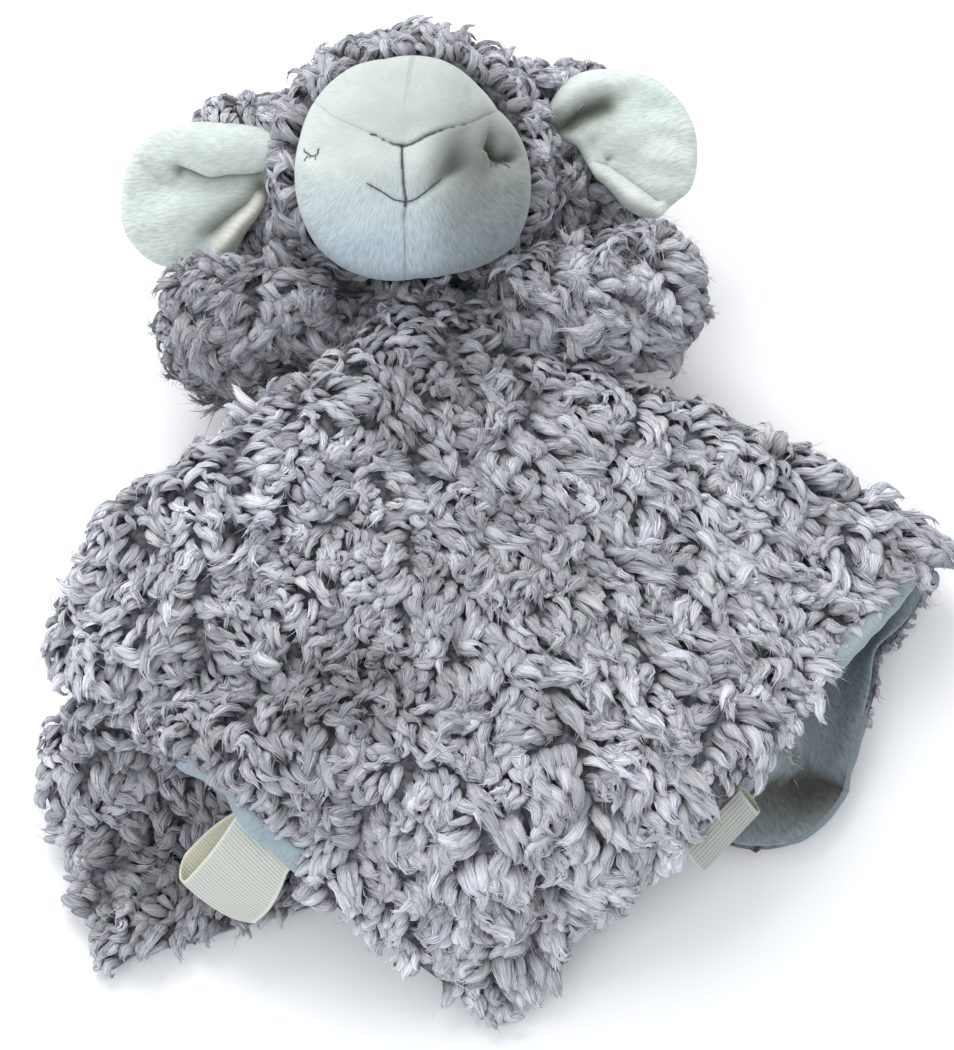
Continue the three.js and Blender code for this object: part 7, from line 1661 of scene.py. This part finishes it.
# the right lining's tone is a touch lighter than the left's, as painted light
EARS = {
    "left": dict(out=L_OUT, centre=(-72.0, -6.0), relief=left_relief, side=-1, tone=1.0),
    "right": dict(out=R_OUT, centre=(71.0, 11.0), relief=right_relief, side=1, tone=1.02),
}


def disc_shell(P, C, nrm, nc, lo, hi):
    """closed cloth layer over rings P (m, n, 3) round the point C"""
    m, n = P.shape[:2]
    top = np.concatenate([(P + nrm * hi).reshape(-1, 3), (C + nc * hi)[None]])
    bot = np.concatenate([(P + nrm * lo).reshape(-1, 3), (C + nc * lo)[None]])
    k = m * n + 1
    i, j = np.meshgrid(np.arange(m - 1), np.arange(n), indexing="ij")
    a, b_ = (i * n + j).ravel(), (i * n + (j + 1) % n).ravel()
    up = tris(np.stack([a, a + n, b_ + n, b_], 1))
    j = np.arange(n)
    jn = (j + 1) % n
    fan = np.stack([np.full(n, m * n), j, jn], 1)
    e, en = (m - 1) * n + j, (m - 1) * n + jn
    rim = np.concatenate([np.stack([e, e + k, en + k], 1), np.stack([e, en + k, en], 1)])
    return np.concatenate([top, bot]), np.concatenate([up, fan, up[:, ::-1] + k, fan[:, ::-1] + k, rim])


def ear_tint(side, U, V, hgt, base_h):
    P = np.stack([U, V], -1)
    base = np.array(lin(219, 228, 223))
    col = np.tile(base, (len(U), 1))

    def shade(amount, warm=1.0):
        return (1 - np.clip(amount, 0, 0.85))[:, None] * (1 - np.clip(amount, 0, 1)[:, None] * np.array([0.0, 0.04, 0.22]) * warm)
    if side < 0:
        crease_v = np.interp(-U, -L_CREASE[:, 0], L_CREASE[:, 1])
        d, s = seg_dist(P, L_CREASE)
        below = 1 - smooth01(V - crease_v, -0.4, 0.8)
        end = 1 - smooth01(-U, 75, 80)
        col = col * shade(below * end * (0.52 * np.exp(-(d / 2.0) ** 2) + 0.26 * np.exp(-(d / 6.0) ** 2)))
        col = col * shade(0.34 * np.exp(-(((U + 77.5) / 2.2) ** 2 + ((V + 1.2) / 2.4) ** 2)))
        d, s = seg_dist(P, L_VALLEY)
        col = col * shade(0.60 * np.exp(-(d / 3.2) ** 2) * smooth01(s, 0.02, 0.3))
        d, s = seg_dist(P, L_SOFT)
        col = col * shade(0.14 * np.exp(-(d / 1.4) ** 2))
        d, s = seg_dist(P, L_STRIP)
        k = (np.exp(-(d / 1.9) ** 2) * smooth01(s, 0.0, 0.3))[:, None]
        col = col * (1 - k) + np.array(lin(228, 229, 217)) * k
    else:
        d, s = seg_dist(P, R_HOLLOW)
        col = col * shade(0.74 * np.exp(-(d / 4.2) ** 2.4), 1.2)
        d, s = seg_dist(P, R_CREASE)
        col = col * shade(0.36 * np.exp(-(d / 0.9) ** 2))
        col = col * shade(0.45 * np.exp(-(((U - 65.4) / 1.7) ** 2 + ((V - 3.0) / 1.5) ** 2)))
        col = col * shade(0.18 * np.exp(-(((U - 59.5) / 3.0) ** 2 + ((V - 7.0) / 4.0) ** 2)))
        d, s = seg_dist(P, R_STRIP)
        k = np.exp(-(d / 2.2) ** 2)[:, None] * 0.7
        col = col * (1 - k) + np.array(lin(226, 229, 220)) * k
    return np.clip(col, 0, 1)


def ear(side_name):
    E = EARS[side_name]
    side = E["side"]
    body = "ear_" + side_name
    n, m = 260, 52
    rim = curve(E["out"], n, closed=True)
    c = np.array(E["centre"])
    t = (np.arange(m) + 1) / m
    t = 1 - (1 - t) ** 1.15
    UV = c + t[:, None, None] * (rim - c)
    U, V = UV[..., 0], UV[..., 1]
    H = E["relief"](U, V)
    d_rim, _ = seg_dist(UV, np.concatenate([rim, rim[:1]]))
    x = np.clip(1 - d_rim / 1.9, 0, 1)
    H = H - 1.9 * (1 - np.sqrt(np.maximum(1 - x ** 2, 0)))
    # the roll of the left ear leans over the hollow below it
    dv = np.zeros_like(U)
    if side < 0:
        crease_v = np.interp(-U, -L_CREASE[:, 0], L_CREASE[:, 1])
        dv = -1.5 * np.exp(-((V - crease_v - 1.3) / 1.5) ** 2) * (1 - smooth01(-U, 66, 76)) * smooth01(d_rim, 0.5, 3.0)
    P = hp(U, V + dv, H)
    hc = E["relief"](np.array([c[0]]), np.array([c[1]]))
    C = hp(c[0], c[1], hc[0])
    du = np.roll(P, -1, 1) - np.roll(P, 1, 1)
    dr = np.gradient(P, axis=0)
    nrm = unit(np.cross(dr, du))
    if (nrm * AX).sum(-1).mean() < 0:
        nrm = -nrm
    # soften the normals, so that the thin layers keep clear of each other in the folds
    for _ in range(3):
        nrm = unit(nrm + 0.5 * (np.roll(nrm, 1, 1) + np.roll(nrm, -1, 1)) + 0.5 * np.concatenate([nrm[:1], nrm[:-1]]) + 0.5 * np.concatenate([nrm[1:], nrm[-1:]]))
    nc = unit(nrm[0].mean(0))
    co, f = disc_shell(P, C, nrm, nc, -0.1, 1.25)
    uu, vv = np.append(U.ravel(), c[0]), np.append(V.ravel(), c[1])
    hh = np.append(H.ravel(), hc)
    tint = ear_tint(side, uu, vv, hh, 0)
    along = np.abs(uu) - 45
    across = vv + 0.12 * np.sin(along * 0.25) * 12 * (side > 0) - side * 0.10 * along
    nap = np.stack([across, along], 1)
    amt = np.full(len(uu), 0.62) + 0.38 * smooth01(np.abs(uu), 72, 84)
    tint = np.concatenate([np.clip(tint * E["tone"], 0, 1), amt[:, None]], 1)
    if np.einsum("ij,ij->i", co[f[:, 0]] - co.mean(0), np.cross(co[f[:, 1]] - co.mean(0), co[f[:, 2]] - co.mean(0))).sum() < 0:
        f = f[:, ::-1]
    o = make_object(body + "_velour_lining", co, f, EAR_VELOUR, body, uvs={"nap": np.concatenate([nap, nap])},
                    tint=np.concatenate([tint, tint]))
    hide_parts(body + "_lining")
    co, f = disc_shell(P, C, nrm, nc, -1.9, -0.15)
    if np.einsum("ij,ij->i", co[f[:, 0]] - co.mean(0), np.cross(co[f[:, 1]] - co.mean(0), co[f[:, 2]] - co.mean(0))).sum() < 0:
        f = f[:, ::-1]
    back = make_object(body + "_fleece_back", co, f, KNIT, body)
    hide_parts(body + "_back")
    # pile under the ear; the fringe past the edge at the root is made as a lump of its own further on
    r = np.random.default_rng(61 if side < 0 else 62)
    want = 330
    ri = np.sqrt(r.random(want)) * (m - 3)
    ai = r.integers(0, n, want)
    p = P[ri.astype(int), ai] - nrm[ri.astype(int), ai] * 3.6
    nn = -nrm[ri.astype(int), ai]
    out_dir = unit(P[-1, ai] - C)
    comb = tangent(out_dir * 0.5 - E2 * 0.6 + E1 * side * 0.4 + r.normal(0, 0.4, (want, 3)), nn)
    L = 6.4 * r.uniform(0.7, 1.2, want) * (1 - 0.35 * (ri / m) ** 3)
    W = 3.6 * r.uniform(0.7, 1.3, want)
    lean0 = np.abs(r.normal(0.6, 0.2, want))
    lean1 = r.normal(2.3, 0.5, want)
    # painted shade: the pile under the ear is toned darker
    tone = np.full(want, 0.82)
    # the pile keeps clear of the folds, where it would come through the lining
    at_root = UV[ri.astype(int), ai]
    lines = ((L_CREASE, 5.0), (L_VALLEY, 6.5)) if side < 0 else ((R_HOLLOW, 10.0), (R_CREASE, 5.0))
    free = (d_rim[ri.astype(int), ai] > 3.5)
    for line, room in lines:
        free &= seg_dist(at_root, line)[0] > room
    # near its edge the pile is combed back in, so that nothing hangs past the lining's edge
    edge = ri / m > 0.80
    comb[edge] = tangent(-out_dir[edge] + r.normal(0, 0.3, (edge.sum(), 3)), nn[edge])
    pile_on(body + "_pile", body, p[free], nn[free], comb[free], L[free], W[free], lean0[free], lean1[free],
            r.normal(0, 1.2, free.sum()), tone[free], 1600 + (side > 0) * 40, tip=0.25, count=5, chunk=700)
    return o


ear("left")
ear("right")


# ------------------------------------------------------------------ fleece that puffs out beside the head and over the shoulders
def tuft(name, body, centre, radii, axes, count, length, tone, seed, keep_out=None, lean=2.7):
    """a soft lump of fleece: its ground cloth and the pile on it"""
    centre, radii, axes = np.asarray(centre, float), np.asarray(radii, float), np.asarray(axes, float)

    def place(b3):
        return centre + (b3 * radii) @ axes, unit((b3 / radii) @ axes)
    n_, m_ = 28, 14
    th = np.pi * np.arange(m_ + 1) / m_
    prof = [(math.sin(x), math.cos(x)) for x in th]

    def at(r_, h_, ang):
        return centre + (np.stack([r_ * np.cos(ang), r_ * np.sin(ang), h_ + 0 * ang], -1) * radii) @ axes
    co, f = revolve([(0.0, 1.0)] + prof[1:-1] + [(0.0, -1.0)], n_, at)
    co[:, 2] = np.maximum(co[:, 2], 0.4)
    o = make_object(name + "_cloth", co, f, KNIT, body)
    r = np.random.default_rng(seed)
    b3 = ball_points(count, seed + 1)
    p, n = place(b3)
    ok = np.ones(len(p), bool) if keep_out is None else ~keep_out(p, n)
    ok &= p[:, 2] > 1.5
    p, n = p[ok], n[ok]
    N = len(p)
    comb = tangent(np.array([0.0, -0.5, -0.6]) + r.normal(0, 0.6, (N, 3)), n)
    comb = turned(comb, n, r.normal(0, 1.1, N))
    pile_on(name + "_pile", body, p, n, comb, length * r.uniform(0.75, 1.25, N), 3.1 * r.uniform(0.7, 1.3, N),
            np.abs(r.normal(0.25, 0.25, N)), r.normal(lean, 0.6, N), r.normal(0, 1.4, N), np.full(N, tone), seed + 2,
            tip=0.2, over=0.2, count=6, thick=0.25, flat=0.42, shade_at_root=0.46, sway=0.5, together=6.8)


HEAD_AXES = np.stack([E1, E2, AX])


def inside_ball(p, n):
    return np.linalg.norm(p - HEAD, axis=1) < 43.0


# each lump's tone paints light and shade on the one grey fleece: the shoulders and head sides darker, the ear fringes
# on top lighter
tuft("head_side_left", "head", hp(-39.5, -18.0, -7.0), (12.0, 15.0, 11.5), HEAD_AXES, 420, 9.0, 0.95, 2101, inside_ball)
tuft("head_side_right", "head", hp(43.5, -8.5, -7.5), (15.0, 17.0, 12.0), HEAD_AXES, 480, 9.5, 0.95, 2201, inside_ball)
ROW_AXES = np.eye(3)
tuft("shoulder_left", "blanket", (-45.0, 60.0, 36.0), (13.0, 10.0, 9.0), ROW_AXES, 300, 9.5, 0.84, 2301)
tuft("shoulder_right", "blanket", (11.0, 60.5, 37.0), (14.0, 10.0, 9.0), ROW_AXES, 300, 9.5, 0.92, 2401)



def above_ear(low):
    """keeps the fleece behind an ear out of the lining's hollow"""
    return lambda p, n: ((p - HEAD) @ E2 < low) | (((p - HEAD) @ E2 < low + 3) & (n @ E2 < -0.1))


tuft("ear_left_fringe", "ear_left", hp(-49.0, 13.0, -3.5), (22.0, 9.5, 5.5), HEAD_AXES, 400, 8.4, 1.26, 2501,
     above_ear(9.5))
tuft("ear_right_fringe", "ear_right", hp(48.5, 27.0, -4.5), (17.0, 5.5, 4.5), HEAD_AXES, 280, 8.2, 1.30, 2601,
     above_ear(24.0))

tuft("ear_left_root", "ear_left", hp(-51.0, -21.5, -8.5), (9.5, 12.0, 7.0), HEAD_AXES, 170, 8.2, 0.92, 2701, inside_ball)
tuft("ear_right_root", "ear_right", hp(59.5, -11.5, -9.5), (17.0, 14.0, 8.0), HEAD_AXES, 330, 8.6, 0.95, 2801, inside_ball)

# ------------------------------------------------------------------ ribbon loops
RIBBON, _n, _l, _b = node_material("grosgrain", lin(226, 226, 214), 0.72)
_b.inputs["Specular IOR Level"].default_value = 0.3
_b.inputs["Sheen Weight"].default_value = 0.15
_tint = _n.new("ShaderNodeAttribute")
_tint.attribute_name = "tint"
_uv = _n.new("ShaderNodeUVMap")
_uv.uv_map = "weave"
_w1 = tex(_n, "ShaderNodeTexWave", Scale=1.0, Distortion=0.4, Detail=1.0)
_w1.bands_direction = "X"
_l.new(_uv.outputs[0], _w1.inputs["Vector"])
_no = tex(_n, "ShaderNodeTexNoise", Scale=900.0, Detail=2.0)
_co = _n.new("ShaderNodeTexCoord")
_l.new(_co.outputs["Object"], _no.inputs["Vector"])
_mr = _n.new("ShaderNodeMapRange")
_mr.inputs["To Min"].default_value = 0.90
_mr.inputs["To Max"].default_value = 1.05
_l.new(_w1.outputs["Fac"], _mr.inputs["Value"])
_sc = _n.new("ShaderNodeVectorMath")
_sc.operation = "SCALE"
_l.new(_tint.outputs["Color"], _sc.inputs[0])
_l.new(_mr.outputs[0], _sc.inputs["Scale"])
_l.new(_sc.outputs[0], _b.inputs["Base Color"])
_add = _n.new("ShaderNodeMath")
_l.new(_w1.outputs["Fac"], _add.inputs[0])
_l.new(_no.outputs["Fac"], _add.inputs[1])
_bp = _n.new("ShaderNodeBump")
_bp.inputs["Strength"].default_value = 0.25
_bp.inputs["Distance"].default_value = 0.00015
_l.new(_add.outputs[0], _bp.inputs["Height"])
_l.new(_bp.outputs[0], _b.inputs["Normal"])


PERIOD = 1.12


def ribbon(side_name, root, tip, T, width, shift, spread, shear, tuck, bow=0.0, squeeze=0.0, swing=(0, 0, 0), round_=0.0,
           shade=1.0):
    root, tip = np.asarray(root, float), np.asarray(tip, float)
    T = unit(np.asarray(T, float))
    d = tip - root
    L = np.linalg.norm(d)
    d = unit(d - (d @ T) * T)
    n = np.cross(T, d)
    if n @ np.array([0.0, -0.4, 0.9]) < 0:
        n = -n
    t = np.linspace(0, 1, 220)
    gap = 0.75 + (spread - 0.75) * np.sin(np.minimum(1, 1.35 * t) * np.pi / 2)
    leg = np.stack([-tuck + t * (L - spread + tuck), gap * smooth01(t, -0.6, 0.25)], 1)
    a = np.linspace(np.pi / 2, -np.pi / 2, 90)[1:-1]
    turn = np.stack([L - spread + spread * np.cos(a), spread * np.sin(a)], 1)
    path = np.concatenate([leg, turn, (leg * [1, -1])[::-1]])
    s = np.concatenate([[0], np.cumsum(np.linalg.norm(np.diff(path, axis=0), axis=1))])
    total = s[-1]
    k = int(total / 0.15)
    q = np.linspace(0, total, k)
    X, Y = np.interp(q, s, path[:, 0]), np.interp(q, s, path[:, 1])
    for _ in range(3):
        X[1:-1] = (X[:-2] + 2 * X[1:-1] + X[2:]) / 4
        Y[1:-1] = (Y[:-2] + 2 * Y[1:-1] + Y[2:]) / 4
    m = 41
    c = np.linspace(-1, 1, m)
    c = np.sign(c) * np.abs(c) ** 0.9
    w = c * width / 2 + shift
    rib = np.abs(np.sin(np.pi * q / PERIOD))
    edge = np.abs(c) > 0.93
    W = w[None] + (np.abs(c) > 0.99)[None] * np.sign(c)[None] * 0.10 * rib[:, None]
    far = np.clip(X / L, 0, 1)[:, None]
    XX = X[:, None] + bow * (c[None] ** 2) * far
    YY = Y[:, None] * (1 + squeeze * c[None] * far)
    low = (1 - c[None]) / 2
    XX = XX - round_ * low ** 7 * far
    P = root + XX[..., None] * d + YY[..., None] * n + (W - shear * YY)[..., None] * T
    P = P + (far ** 1.3 * low ** 1.4)[..., None] * np.asarray(swing, float)
    P = P - (1.3 * (round_ > 0) * np.sin(np.pi * far) * low ** 3)[..., None] * T
    gn = grid_normals(P)
    if (gn[k // 6, m // 2] @ n) < 0:
        gn = -gn
    body = np.where(edge[None], 0.30, 0.10 + 0.26 * rib[:, None] ** 0.7)
    co, f = layer_mesh(P, gn, -(body + 0.1), body + 0.1)
    if np.einsum("ij,ij->i", co[f[:, 0]] - co.mean(0), np.cross(co[f[:, 1]] - co.mean(0), co[f[:, 2]] - co.mean(0))).sum() < 0:
        f = f[:, ::-1]
    # painted shade: the rib valleys are darker, the inner face is darker deeper into the loop, and the whole ribbon is
    # dimmed by shade
    outer = np.ones((k, m, 1)) * np.array(lin(206, 209, 200)) * shade
    valley = (0.62 + 0.38 * rib[:, None] ** 0.8)
    valley = np.where(edge[None], 1.08, valley)
    outer = outer * valley[..., None]
    deep = np.clip(1 - far, 0, 1)
    inner = np.ones((k, m, 1)) * np.array(lin(214, 210, 190)) * valley[..., None] * (1 - 0.22 * deep)[..., None] * shade
    weave = np.stack(np.broadcast_arrays(w[None] * 0.9, q[:, None]), -1).reshape(-1, 2)
    o = make_object("ribbon_%s_grosgrain" % side_name, co, f, RIBBON, "ribbon_" + side_name,
                    uvs={"weave": np.concatenate([weave, weave])},
                    tint=np.clip(np.concatenate([outer.reshape(-1, 3), inner.reshape(-1, 3)]), 0, 1))
    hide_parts("ribbon_loop_" + side_name)
    return o


ribbon("left", (-62.4, -109.6, 37.0), (-78.7, -123.7, 17.2), (-0.704, 0.673, 0.227), 22.0, 0.3, 3.9, 0.72, 1.5,
       bow=-0.8, squeeze=0.12, swing=(4.0, 2.0, 1.2), round_=2.6)
ribbon("right", (69.9, -101.4, 35.5), (75.4, -104.8, 28.6), (0.697, 0.685, 0.212), 24.0, -1.0, 3.0, 0.45, 1.5, shade=0.78)


# ------------------------------------------------------------------ close
bpy.context.view_layer.update()
